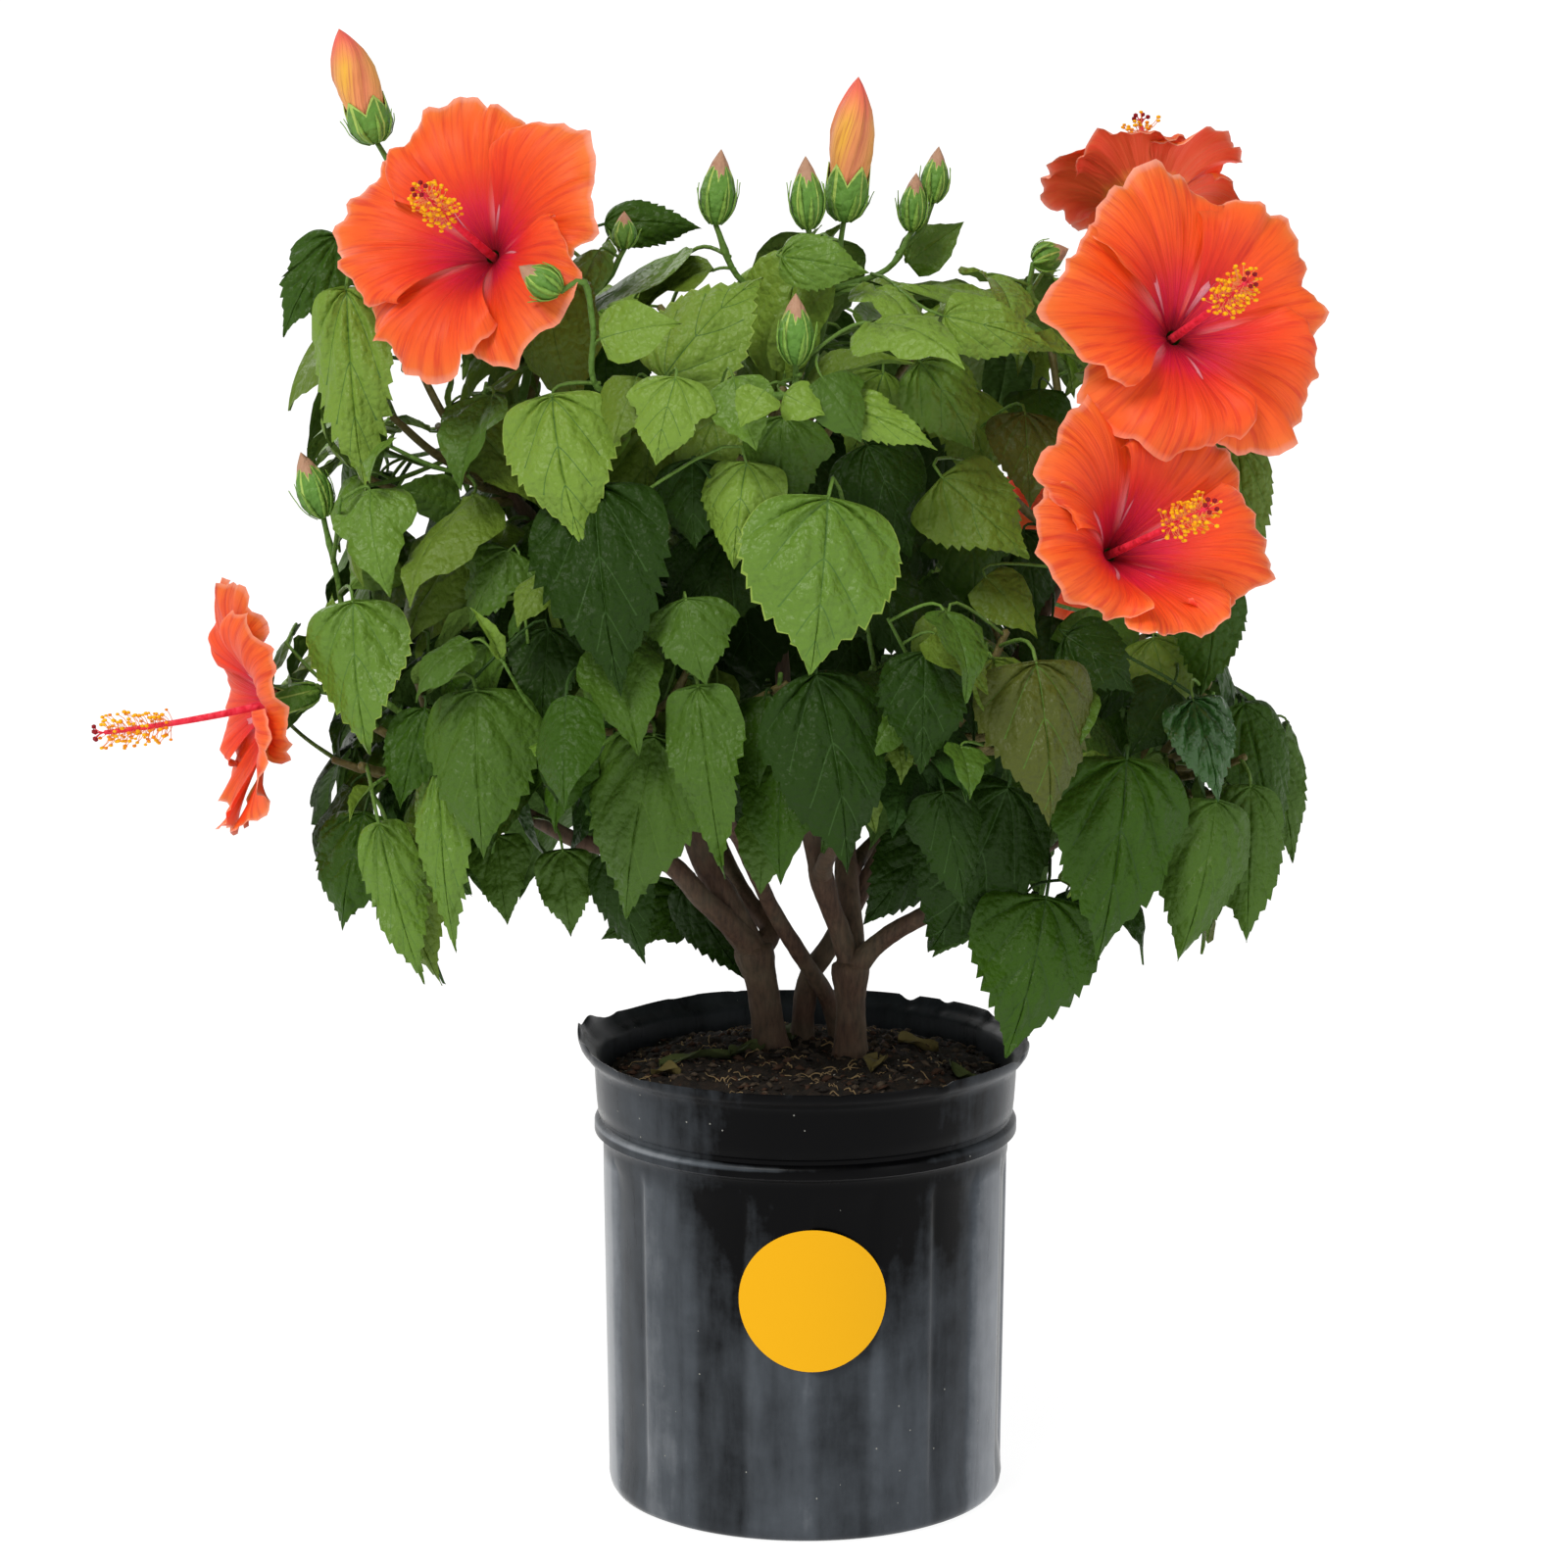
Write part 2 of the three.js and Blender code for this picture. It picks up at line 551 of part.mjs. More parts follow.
// The crown's outline, and the room round the pot's rim
function insideCrown(p) {
  const sum = [0, 1, 2].reduce((total, i) => {
    return total + Math.pow(Math.abs(p[i] - CROWN_MIDDLE[i]) / CROWN_REACH[i], CROWN_SQUARENESS);
  }, 0);
  return sum <= 1;
}

function clearOfPot(p) {
  return p[2] > POT_HEIGHT + RIM_ROOM || Math.hypot(p[0], p[1]) > LIP_RADIUS + RIM_ROOM;
}

// A mass keeps its shoots on its own side of the plane midway to each other mass
function insideCell(mass, p, margin) {
  return MASSES.every((other) => {
    if (other === mass) return true;
    const way = unit(sub(other.middle, mass.middle));
    return dot(sub(p, mix(mass.middle, other.middle, 0.5)), way) < -margin;
  });
}

// Sight lines that stay open: to each flower, bud and key leaf, to the stems
// over the pot, and through the gaps where the photograph shows sky.
const sightlines = [];
function hidesSight(p) {
  return sightlines.some((sight) => {
    const way = sub(p, EYE);
    const reach = sub(sight.at, EYE);
    const along = dot(way, reach) / size(reach);
    if (!sight.sky && along > size(reach)) return false;
    return size(sub(way, mul(reach, along / size(reach)))) < sight.radius;
  });
}

const OPEN_STEMS = [
  [720, 900], [745, 955], [800, 985], [850, 930], [900, 985], [830, 1030], [700, 975], [970, 985],
];
for (const [px, py] of OPEN_STEMS) sightlines.push({ at: seen(px, py, 20), radius: 26, sky: false });
const SKY_GAPS = [[432, 395, 17], [425, 470, 15], [1150, 752, 10], [1010, 415, 8], [520, 905, 10]];
for (const [px, py, radius] of SKY_GAPS) sightlines.push({ at: seen(px, py, 0), radius, sky: true });
const OPEN_FLOOR = [[600, 985], [540, 985], [480, 1010], [905, 1010], [1140, 1010], [1100, 1040]];
for (const [px, py] of OPEN_FLOOR) sightlines.push({ at: seen(px, py, 0), radius: 16, sky: true });

// Nearest point on a mass's twigs to a place, away from the twigs' soft tips.
// Nothing grows on a bloom.
function nearestTwig(mass, place) {
  let best = null;
  for (const s of twigSegments) {
    if (s.mass !== mass.name || s.bloom) continue;
    for (const t of [0.1, 0.4, 0.7]) {
      const point = mix(s.a, s.b, t);
      const gap = size(sub(point, place)) + 0.4 * Math.max(0, point[2] - place[2]);
      if (best === null || gap < best.gap) best = { point, gap, radius: s.radius };
    }
  }
  return best;
}

// The pieces of each mass: tubes, blades and blooms, before they are fused
const pieces = new Map(MASSES.map((mass) => [mass.name, { tubes: [], blades: [], blooms: [], shoots: [] }]));

function addTwig(mass, line, radii, sides) {
  const fused = sides === 3 ? [ROOT_RADIUS, ...radii.slice(1)] : radii;
  pieces.get(mass.name).tubes.push({ line, radii: fused, sides });
  twigSegments.push(...segmentsOf(line, radii, mass.name));
}

// Stem of each mass: from its bough's tip to the middle of its space
for (const mass of MASSES) {
  const bough = limbs.get(mass.bough);
  const start = add(bough.end, mul(bough.heading, CLEARANCE));
  const pull = add(start, mul(bough.heading, 0.45 * size(sub(mass.middle, start))));
  const line = bend(start, pull, mass.middle, 3);
  line[0] = add(start, mul(bough.heading, STEM_START));
  const radius = bough.radius[1];
  addTwig(mass, [start, ...line], [radius, ...radiiAlong(radius, 0.66 * radius, 4)], 5);
  mass.stem = line;
}

// A shoot that carries a bloom or a bud ends in its stalk. A stalk that hooks
// over follows the points of its way.
function growStalk(mass, base, heading, radius, way = []) {
  const from = nearestTwig(mass, way[0] ?? sub(base, mul(heading, 30)));
  const reach = size(sub(base, from.point));
  const pull = way[0] ?? sub(base, mul(heading, 0.42 * reach));
  const root = sub(from.point, mul(unit(sub(pull, from.point)), 0.4 * from.radius));
  const steps = Math.max(2, Math.round(reach / 45));
  const line = way.length ? [root, ...way, base] : bend(root, pull, base, steps);
  addTwig(mass, line, radiiAlong(Math.min(from.radius, SHOOT_RADIUS), radius, line.length), 3);
  if (reach > 60) pieces.get(mass.name).shoots.push({ line });
}

// Corolla: place at u from throat to rim, at an angle about the flower's axis
function corollaPoint(flower, angle, u, lift) {
  const radius = flower.radius * (0.05 + 0.95 * u);
  const rise = flower.depth * (1 - Math.pow(1 - u, 2.2)) - 0.1 * flower.radius * Math.pow(u, 5);
  const outward = add(mul(flower.across, Math.cos(angle)), mul(flower.third, Math.sin(angle)));
  return add(add(flower.base, mul(outward, radius)), mul(flower.facing, rise + lift));
}

// Each petal's rim is four points, round to the notch before the next petal.
// The face has a middle and a notch point for each petal, and so has the back.
const RIM_OF_PETAL = [[-0.36, 0.95], [0, 1], [0.36, 0.95], [0.5, 0.72]];
const INNER_OF_PETAL = [[0, 0.45], [0.5, 0.4]];
const RIM_COUNT = 4 * PETALS;
const INNER_COUNT = 2 * PETALS;

function corollaShape(flower, thickness) {
  const step = (2 * Math.PI) / PETALS;
  const turns = Array.from({ length: PETALS }, (_, i) => flower.turn + i * step);
  const rim = (turn) => RIM_OF_PETAL.map(([t, u]) => corollaPoint(flower, turn + t * step, u, 0));
  const points = turns.flatMap(rim);
  for (const lift of [thickness / 2, -thickness / 2]) {
    const inner = (turn) => INNER_OF_PETAL.map(([t, u]) => corollaPoint(flower, turn + t * step, u, lift));
    points.push(...turns.flatMap(inner));
    points.push(add(flower.base, mul(flower.facing, lift)));
  }
  return points;
}

const COROLLA_FACES = [];
for (let i = 0; i < PETALS; i += 1) {
  for (const side of [0, 1]) {
    const inner = RIM_COUNT + side * (INNER_COUNT + 1);
    const heart = inner + INNER_COUNT;
    const petal = inner + 2 * i;
    const notch = petal + 1;
    const notchBefore = inner + ((2 * i + INNER_COUNT - 1) % INNER_COUNT);
    const petalAfter = inner + ((2 * i + 2) % INNER_COUNT);
    const rim = [-1, 0, 1, 2, 3].map((k) => (4 * i + k + RIM_COUNT) % RIM_COUNT);
    const faces = [
      [heart, petal, notch], [heart, notch, petalAfter], [notchBefore, rim[0], petal], [petal, rim[4], notch],
    ];
    for (let k = 0; k < 4; k += 1) faces.push([petal, rim[k], rim[k + 1]]);
    COROLLA_FACES.push(...faces.map(([p, q, r]) => (side ? [p, r, q] : [p, q, r])));
  }
}

for (const spec of FLOWERS) {
  const mass = MASSES.find((m) => m.name === spec.mass);
  const facing = unit(spec.facing);
  const across = square(UP, facing);
  const flower = { ...spec, base: seen(...spec.at), facing, across, third: cross(facing, across) };
  const calyxFoot = sub(flower.base, mul(facing, CALYX_LENGTH));
  growStalk(mass, calyxFoot, facing, 2);
  pieces.get(mass.name).blooms.push({ flower, calyxFoot });
  placedBlades.push(triangleSet(corollaShape(flower, 9), COROLLA_FACES, mass.name));
  const tip = add(flower.base, mul(facing, flower.column));
  twigSegments.push({ a: calyxFoot, b: tip, radius: 9, mass: mass.name, bloom: true });
  const rim = add(flower.base, mul(facing, flower.depth));
  sightlines.push({ at: flower.base, radius: 0.8 * spec.radius, sky: false });
  sightlines.push({ at: rim, radius: 0.96 * spec.radius, sky: false });
}

for (const spec of BUDS) {
  const mass = MASSES.find((m) => m.name === spec.mass);
  const base = seen(...spec.base, spec.depth);
  const tip = seen(...spec.tip, spec.depth);
  growStalk(mass, base, unit(sub(tip, base)), 1.8, (spec.way ?? []).map(([px, py, y]) => seen(px, py, y)));
  pieces.get(mass.name).blooms.push({ bud: { ...spec, base, tip } });
  twigSegments.push({ a: base, b: tip, radius: spec.radius, mass: mass.name, bloom: true });
  sightlines.push({ at: mix(base, tip, 0.5), radius: 0.5 * size(sub(tip, base)) + 3, sky: false });
}

// Shoots by rule: round the stem by the golden angle, out to the mass's reach
for (const mass of MASSES) {
  const draw = drawFrom(mass.seed);
  const outward = unit([mass.middle[0], mass.middle[1], 0.35 * (mass.middle[2] - CROWN_MIDDLE[2])]);
  const turn = draw() * 2 * Math.PI;
  for (let k = 0; k < mass.shoots; k += 1) {
    const height = 0.95 - (1.05 * (k + 0.5)) / mass.shoots;
    const angle = turn + k * GOLDEN_ANGLE;
    const flat = Math.sqrt(1 - height * height);
    const round = [flat * Math.cos(angle), flat * Math.sin(angle), height];
    const way = unit(add(round, mul(outward, 0.5 + 0.3 * draw())));
    const start = mix(mass.stem[2], mass.stem[3], 0.1 + (0.85 * (mass.shoots - k)) / mass.shoots);
    let reach = 0.55 + 0.3 * draw();
    let line = null;
    for (let attempt = 0; attempt < 5 && line === null; attempt += 1) {
      const end = add(mass.middle, way.map((value, i) => value * mass.reach[i] * reach));
      const pull = add(mix(start, end, 0.55), [0, 0, -0.16 * size(sub(end, start))]);
      const trial = bend(start, pull, end, 2);
      const radii = radiiAlong(SHOOT_RADIUS, SHOOT_TIP_RADIUS, 3);
      const free = segmentsOf(trial, radii, mass.name).every((s) => segmentFree(s, mass.name, 4));
      if (free && trial.slice(1).every((p) => insideCrown(p) && insideCell(mass, p, 6))) line = trial;
      reach *= 0.84;
    }
    if (line === null) continue;
    addTwig(mass, line, radiiAlong(SHOOT_RADIUS, SHOOT_TIP_RADIUS, 3), 3);
    pieces.get(mass.name).shoots.push({ line });
  }
  pieces.get(mass.name).shoots.push({ line: mass.stem });
}

// Adds a leaf if its blade and its petiole are clear of all that is placed
function tryLeaf(mass, leaf, root, ruled) {
  const set = triangleSet(bladeShape(leaf, 7, LEAF_MARGIN), BLADE_FACES, mass.name);
  if (!set.points.every(clearOfPot)) return false;
  if (ruled && !set.points.every(insideCrown)) return false;
  if (ruled && set.points.some(hidesSight)) return false;
  if (placedBlades.some((other) => setsMeet(set, other))) return false;
  if (setMeetsSegments(set, limbSegments, 2)) return false;
  const through = (s) => nearSet(s, set) && set.triangles.some((t) => pierces(s.a, s.b, t));
  if (twigSegments.some(through)) return false;
  if (setMeetsSegments(set, twigSegments.filter((s) => s.bloom), 1)) return false;
  const stalk = { a: mix(root, leaf.base, 0.2), b: leaf.base, radius: PETIOLE_RADIUS, mass: mass.name };
  if (!segmentFree(stalk, mass.name, 1.5)) return false;
  pieces.get(mass.name).blades.push({ leaf, root });
  placedBlades.push(set);
  twigSegments.push(stalk);
  return true;
}

// A leaf read from the photograph takes the first free depth along its sight line
const DEPTH_SHIFTS = [0, -12, 12, -24, 24, -38, 38];
const KEY_ARCH = 0.06;
const KEY_FOLD = -0.22;
const KEY_SIGHT = 0.24;
for (const key of KEY_LEAVES) {
  const mass = MASSES.find((m) => m.name === key.mass);
  const at = ([px, py, depth], shift) => seen(px, py, depth + shift);
  DEPTH_SHIFTS.some((shift) => {
    const base = at(key.base, shift);
    const tip = at(key.tip, shift);
    const face = [0.25 * Math.sign(base[0]), -1, 0.35];
    const leaf = leafFrom(base, tip, face, key.width, KEY_ARCH, KEY_FOLD);
    const from = nearestTwig(mass, add(base, [0, 25, 5]));
    const root = sub(from.point, mul(unit(sub(base, from.point)), 0.3 * from.radius));
    if (!tryLeaf(mass, leaf, root, false)) return false;
    sightlines.push({ at: mix(base, tip, 0.4), radius: KEY_SIGHT * leaf.length, sky: false });
    return true;
  });
}

// Leaves by rule: each leaves a shoot at a drawn place, faces out of the crown
// and hangs more the lower it grows. A leaf that crowds or meets another hangs
// further down or is skipped. As a mass fills up, the room between leaves
// shrinks and the leaves get smaller.
const TRIES = 3000;
const DROOPS = [0, 0.7, 1.6];
const CROWDED = 46;
const TIGHTEST = 22;
const LEAF_LENGTH = 116;
const YOUNG_FROM = 0.8;
const YOUNG_SHARE = 0.57;
const LATE_SHARE = 0.6;
const PETIOLE = [16, 50];
const HEART_HEIGHT = CROWN_MIDDLE[2] - 110;
const HIGH_LEAVES = 700;
const LOW_LEAVES = 420;

function tryRuledLeaf(mass, draw, share) {
  const { shoots } = pieces.get(mass.name);
  const shoot = shoots[Math.floor(draw() * shoots.length)];
  const t = 0.12 + 0.88 * Math.sqrt(draw());
  const steps = shoot.line.length - 1;
  const cell = Math.min(Math.floor(t * steps), steps - 1);
  const from = mix(shoot.line[cell], shoot.line[cell + 1], t * steps - cell);
  const along = unit(sub(shoot.line[cell + 1], shoot.line[cell]));
  const first = square(Math.abs(along[2]) > 0.9 ? [1, 0, 0] : UP, along);
  const second = cross(along, first);
  const angle = 2 * Math.PI * draw();
  const around = add(mul(first, Math.cos(angle)), mul(second, Math.sin(angle)));
  const out = unit(sub(from, [CROWN_MIDDLE[0], CROWN_MIDDLE[1], HEART_HEIGHT]));
  const way = unit([around[0] + 0.5 * out[0], around[1] + 0.5 * out[1], 0.6 * around[2] + 0.2 * out[2]]);
  const young = 1 - ((1 - YOUNG_SHARE) * Math.max(0, t - YOUNG_FROM)) / (1 - YOUNG_FROM);
  const length = LEAF_LENGTH * young * (0.84 + 0.3 * draw()) * (1 + (LATE_SHARE - 1) * share);
  const base = add(from, mul(way, PETIOLE[0] + (PETIOLE[1] - PETIOLE[0]) * draw()));
  const low = Math.min(1, Math.max(0, (HIGH_LEAVES - base[2]) / (HIGH_LEAVES - LOW_LEAVES)));
  const swing = [draw() - 0.5, draw() - 0.5, 0];
  const face = add(add(mul(out, 0.9), [0, 0, 0.75]), mul([draw() - 0.5, draw() - 0.5, 0], 0.8));
  const width = length * (0.62 + 0.12 * draw());
  const arch = 0.05 + 0.06 * draw();
  const fold = 0.7 * (draw() - 0.6);
  const room = CROWDED + (TIGHTEST - CROWDED) * share;
  const outFlat = [0.4 * out[0], 0.4 * out[1], 0.15 * out[2]];
  return DROOPS.some((droop) => {
    const hang = 0.42 + 0.6 * low + droop;
    const heading = unit(add(add(mul(way, 0.4), outFlat), add([0, 0, -hang], mul(swing, 0.7))));
    const tip = add(base, mul(heading, length));
    const middle = mix(base, tip, 0.45);
    if (placedBlades.some((set) => size(sub(set.heart, middle)) < room)) return false;
    return tryLeaf(mass, leafFrom(base, tip, face, width, arch, fold), from, true);
  });
}

for (const mass of MASSES) {
  const draw = drawFrom(mass.seed + 100);
  const { blades } = pieces.get(mass.name);
  for (let attempt = 0; attempt < TRIES && blades.length < mass.leaves; attempt += 1) {
    tryRuledLeaf(mass, draw, attempt / TRIES);
  }
}

// Petals, column, anthers and calyx of a flower as closed solids
function flowerSolids({ flower, calyxFoot }) {
  const at = (distance) => add(flower.base, mul(flower.facing, distance));
  const anthers = ANTHERS_START * flower.column;
  const column = [-2, anthers, anthers + 5, flower.column].map(at);
  return [
    solidOf(corollaShape(flower, 2.6), COROLLA_FACES),
    tube(column, [2.2, 1.8, 7, 5.5], 4),
    tube([sub(calyxFoot, mul(flower.facing, 1)), at(-6), at(1.1)], [3.4, 8.4, 7.4], 5),
  ];
}

// Calyx and furled petals of a bud as one closed spindle
function budSolid({ bud }) {
  const way = sub(bud.tip, bud.base);
  const tall = [[-0.02, 0.3], [0.2, 1], [0.5, 0.85], [0.97, 0.2]];
  const short = [[-0.04, 0.35], [0.32, 1], [0.97, 0.16]];
  const stations = bud.tall ? tall : short;
  const line = stations.map(([t]) => add(bud.base, mul(way, t)));
  return tube(line, stations.map(([, share]) => share * bud.radius), 6);
}

// Largest whole body of a fused solid, without the loose scraps of a cut
function wholeBody(solid) {
  return solid.decompose().sort((a, b) => b.volume() - a.volume())[0];
}

function meshOf(name, solid, material) {
  const { vertProperties, triVerts } = solid.getMesh();
  const geometry = new THREE.BufferGeometry();
  geometry.setAttribute("position", new THREE.BufferAttribute(new Float32Array(vertProperties), 3));
  geometry.setIndex(new THREE.BufferAttribute(new Uint32Array(triVerts), 1));
  const mesh = new THREE.Mesh(geometry, material);
  mesh.name = name;
  return mesh;
}

const shrub = new THREE.Group();
shrub.name = "hibiscus_shrub";
const plastic = new THREE.MeshStandardMaterial({ color: 0x1d2023, roughness: 0.42, metalness: 0 });
const earth = new THREE.MeshStandardMaterial({ color: 0x2b1f17, roughness: 0.95, metalness: 0 });
const bark = new THREE.MeshStandardMaterial({ color: 0x6d5440, roughness: 0.85, metalness: 0 });
const foliage = new THREE.MeshStandardMaterial({ color: 0x3f7a2c, roughness: 0.5, metalness: 0 });

// A solid turned about the upright axis, its points then moved by a function
function turned(profile, around, reshape) {
  const spun = new THREE.LatheGeometry(profile.map(([radius, z]) => new THREE.Vector2(radius, z)), around);
  spun.deleteAttribute("normal");
  spun.deleteAttribute("uv");
  spun.rotateX(Math.PI / 2);
  const merged = mergeVertices(spun, 1e-3);
  const spots = merged.getAttribute("position");
  const corners = merged.getIndex().array;
  const spot = (i) => [spots.getX(i), spots.getY(i), spots.getZ(i)];
  const points = Array.from({ length: spots.count }, (_, i) => reshape(spot(i)));
  const faces = [];
  for (let i = 0; i < corners.length; i += 3) {
    const face = [corners[i], corners[i + 1], corners[i + 2]];
    if (new Set(face).size === 3) faces.push(face);
  }
  return solidOf(points, faces);
}

// Pot: one turned shell, its body pressed into shallow flutes
const POT_PROFILE = [
  [0, 0], [FOOT_RADIUS, 0], [BODY_BOTTOM_RADIUS, 7], [BODY_BOTTOM_RADIUS + 0.1, FLUTED_FROM],
  [BODY_TOP_RADIUS, FLUTED_TO], [BODY_TOP_RADIUS + 0.6, 212], [BEAD_RADIUS, 215], [BEAD_RADIUS, 221],
  [COLLAR_RADIUS - 1.5, 224], [COLLAR_RADIUS, 256], [LIP_RADIUS, 260], [LIP_RADIUS, POT_HEIGHT],
  [LIP_RADIUS - 4, POT_HEIGHT], [COLLAR_RADIUS - WALL - 1, 256], [BODY_TOP_RADIUS - WALL - FLUTE_DEPTH, 208],
  [BODY_BOTTOM_RADIUS - WALL - FLUTE_DEPTH - 1, FLOOR], [0, FLOOR],
];

function pressFlutes([x, y, z]) {
  const radius = Math.hypot(x, y);
  const step = Math.round((Math.atan2(x, -y) * FLUTES * STEPS_PER_FLUTE) / (2 * Math.PI));
  const fluted = z > FLUTED_FROM - 1 && z < FLUTED_TO + 1 && radius > BODY_BOTTOM_RADIUS;
  const share = fluted && step % STEPS_PER_FLUTE !== 0 ? 1 - FLUTE_DEPTH / radius : 1;
  return [x * share, y * share, z];
}

// Soil: a root ball that fills the pot, mounded a little round the stems
const SOIL_ROOM = WALL + FLUTE_DEPTH + CLEARANCE;
const SOIL_PROFILE = [
  [0, FLOOR + CLEARANCE], [BODY_BOTTOM_RADIUS - SOIL_ROOM - 2, FLOOR + CLEARANCE],
  [BODY_TOP_RADIUS - SOIL_ROOM - 0.6, 208], [BODY_TOP_RADIUS - SOIL_ROOM, SOIL_EDGE_LEVEL],
  [92, 250], [72, SOIL_LEVEL], [0, SOIL_LEVEL],
];

shrub.add(meshOf("pot", turned(POT_PROFILE, FLUTES * STEPS_PER_FLUTE, pressFlutes), plastic));
shrub.add(meshOf("soil", turned(SOIL_PROFILE, STEPS_ROUND_SOIL, (point) => point), earth));

// Limbs: each cut clear of the ones before it, the feet flat on the soil
const SKIN = 1.1 * CLEARANCE;
const grown = [];
for (const limb of limbs.values()) {
  let solid = tube(limb.line, limb.radii, LIMB_SIDES);
  if (limb.foot) solid = solid.trimByPlane(UP, SOIL_LEVEL + CLEARANCE);
  for (const other of grown) {
    const near = limb.segments.some((s) => other.segments.some((o) => {
      return gapBetween(s.a, s.b, o.a, o.b) < s.radius + o.radius + 3;
    }));
    if (near) solid = solid.subtract(tube(other.line, other.radii.map((r) => r + SKIN), LIMB_SIDES));
  }
  solid = wholeBody(solid);
  grown.push(limb);
  shrub.add(meshOf(limb.name, solid, bark));
}


// Masses: twigs, leaves and blooms fused into one body each
for (const mass of MASSES) {
  const { tubes, blades, blooms } = pieces.get(mass.name);
  const solids = [
    ...tubes.map(({ line, radii, sides }) => tube(line, radii, sides)),
    ...blades.map(leafSolid),
    ...blooms.flatMap((bloom) => (bloom.flower ? flowerSolids(bloom) : [budSolid(bloom)])),
  ];
  let fused = wasm.Manifold.union(solids).simplify(0.02);
  for (const limb of grown) {
    const skin = tube(limb.line, limb.radii.map((r) => r + SKIN), LIMB_SIDES);
    if (fused.intersect(skin).volume() > 0.001) fused = fused.subtract(skin);
  }
  shrub.add(meshOf(mass.name, wholeBody(fused), foliage));
}

export default shrub;
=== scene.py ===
# Hibiscus shrub in its fluted nursery pot: the finished looks, built round
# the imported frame. Lengths are millimetres until a mesh is made.
import json
import math

import bpy
import numpy as np
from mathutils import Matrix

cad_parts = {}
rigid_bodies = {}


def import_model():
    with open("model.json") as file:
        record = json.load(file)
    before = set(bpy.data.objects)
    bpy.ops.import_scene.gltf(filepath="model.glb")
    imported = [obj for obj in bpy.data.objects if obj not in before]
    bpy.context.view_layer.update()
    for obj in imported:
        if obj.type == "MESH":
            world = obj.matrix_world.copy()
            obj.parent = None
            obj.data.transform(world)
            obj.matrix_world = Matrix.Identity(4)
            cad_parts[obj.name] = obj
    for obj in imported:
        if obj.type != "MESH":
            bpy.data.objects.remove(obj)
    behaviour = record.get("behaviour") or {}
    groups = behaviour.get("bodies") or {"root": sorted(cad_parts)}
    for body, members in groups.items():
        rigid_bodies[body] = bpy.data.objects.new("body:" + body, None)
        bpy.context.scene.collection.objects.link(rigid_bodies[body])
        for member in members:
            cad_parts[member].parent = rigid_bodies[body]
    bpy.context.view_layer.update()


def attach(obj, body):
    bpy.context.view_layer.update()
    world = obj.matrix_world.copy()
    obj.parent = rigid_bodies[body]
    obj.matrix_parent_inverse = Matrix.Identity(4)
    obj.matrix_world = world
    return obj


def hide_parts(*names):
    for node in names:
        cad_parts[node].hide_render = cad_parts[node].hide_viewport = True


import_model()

# Studio: a white light table as the floor and a white surround, a soft broad key
# light from the upper front left and two weaker ones, under the photograph's camera.
EYE = np.array([-12.4, -3000.0, 1000.0])
AIM_HEIGHT = 417.0
FOCAL_PIXELS = 5440.0
FRAME_MIDDLE = 800.0
SENSOR_WIDTH = 36
PITCH = math.atan2(EYE[2] - AIM_HEIGHT, -EYE[1])
MM = 0.001


def seen(px, py, y):
    """The point that the photograph shows at a pixel of its 1600 x 1600 frame, at depth y."""
    sine = math.sin(PITCH)
    cosine = math.cos(PITCH)
    rise = (FRAME_MIDDLE - py) / FOCAL_PIXELS
    away = y - EYE[1]
    drop = away * (rise * cosine - sine) / (cosine + rise * sine)
    depth = cosine * away - sine * drop
    return np.array([EYE[0] + (px - FRAME_MIDDLE) / FOCAL_PIXELS * depth, y, EYE[2] + drop])


def deselect():
    """Leaves nothing selected, so an operator acts on the next primitive alone."""
    bpy.ops.object.select_all(action="DESELECT")


def linear(code):
    """Linear colour of an sRGB hex value."""
    values = [int(code[i:i + 2], 16) / 255 for i in (1, 3, 5)]
    low = [v / 12.92 if v <= 0.04045 else ((v + 0.055) / 1.055) ** 2.4 for v in values]
    return (*low, 1.0)


def add_node(tree, kind, inputs=None, **settings):
    """Adds one node; each of its inputs is linked to a socket or set to a value."""
    node = tree.nodes.new(kind)
    for name, value in settings.items():
        if hasattr(node, name):
            setattr(node, name, value)
        else:
            node.inputs[name.replace("_", " ")].default_value = value
    for name, source in (inputs or {}).items():
        if isinstance(source, bpy.types.NodeSocket):
            tree.links.new(source, node.inputs[name])
        else:
            node.inputs[name].default_value = source
    return node


def new_material(name, **settings):
    """A material whose Principled shader has the given socket values."""
    material = bpy.data.materials.new(name)
    material.use_nodes = True
    tree = material.node_tree
    shader = tree.nodes["Principled BSDF"]
    for socket, value in settings.items():
        shader.inputs[socket.replace("_", " ")].default_value = value
    return material, tree, shader


deselect()
bpy.ops.object.camera_add(location=EYE * MM, rotation=(math.pi / 2 - PITCH, 0, 0))
camera = bpy.context.object
camera.data.sensor_width = SENSOR_WIDTH
camera.data.lens = SENSOR_WIDTH * FOCAL_PIXELS / (2 * FRAME_MIDDLE)
camera.data.clip_end = 100
bpy.context.scene.camera = camera

deselect()
SUN_TILT = math.radians(42)
SUN_TURN = math.radians(-32)
SUN_SPREAD = math.radians(24)
SUN_STRENGTH = 2.1
bpy.ops.object.light_add(type="SUN", rotation=(SUN_TILT, 0, SUN_TURN))
key = bpy.context.object
key.name = "key_light"
key.data.energy = SUN_STRENGTH
key.data.angle = SUN_SPREAD
key.data.color = linear("#FFFCF4")[:3]

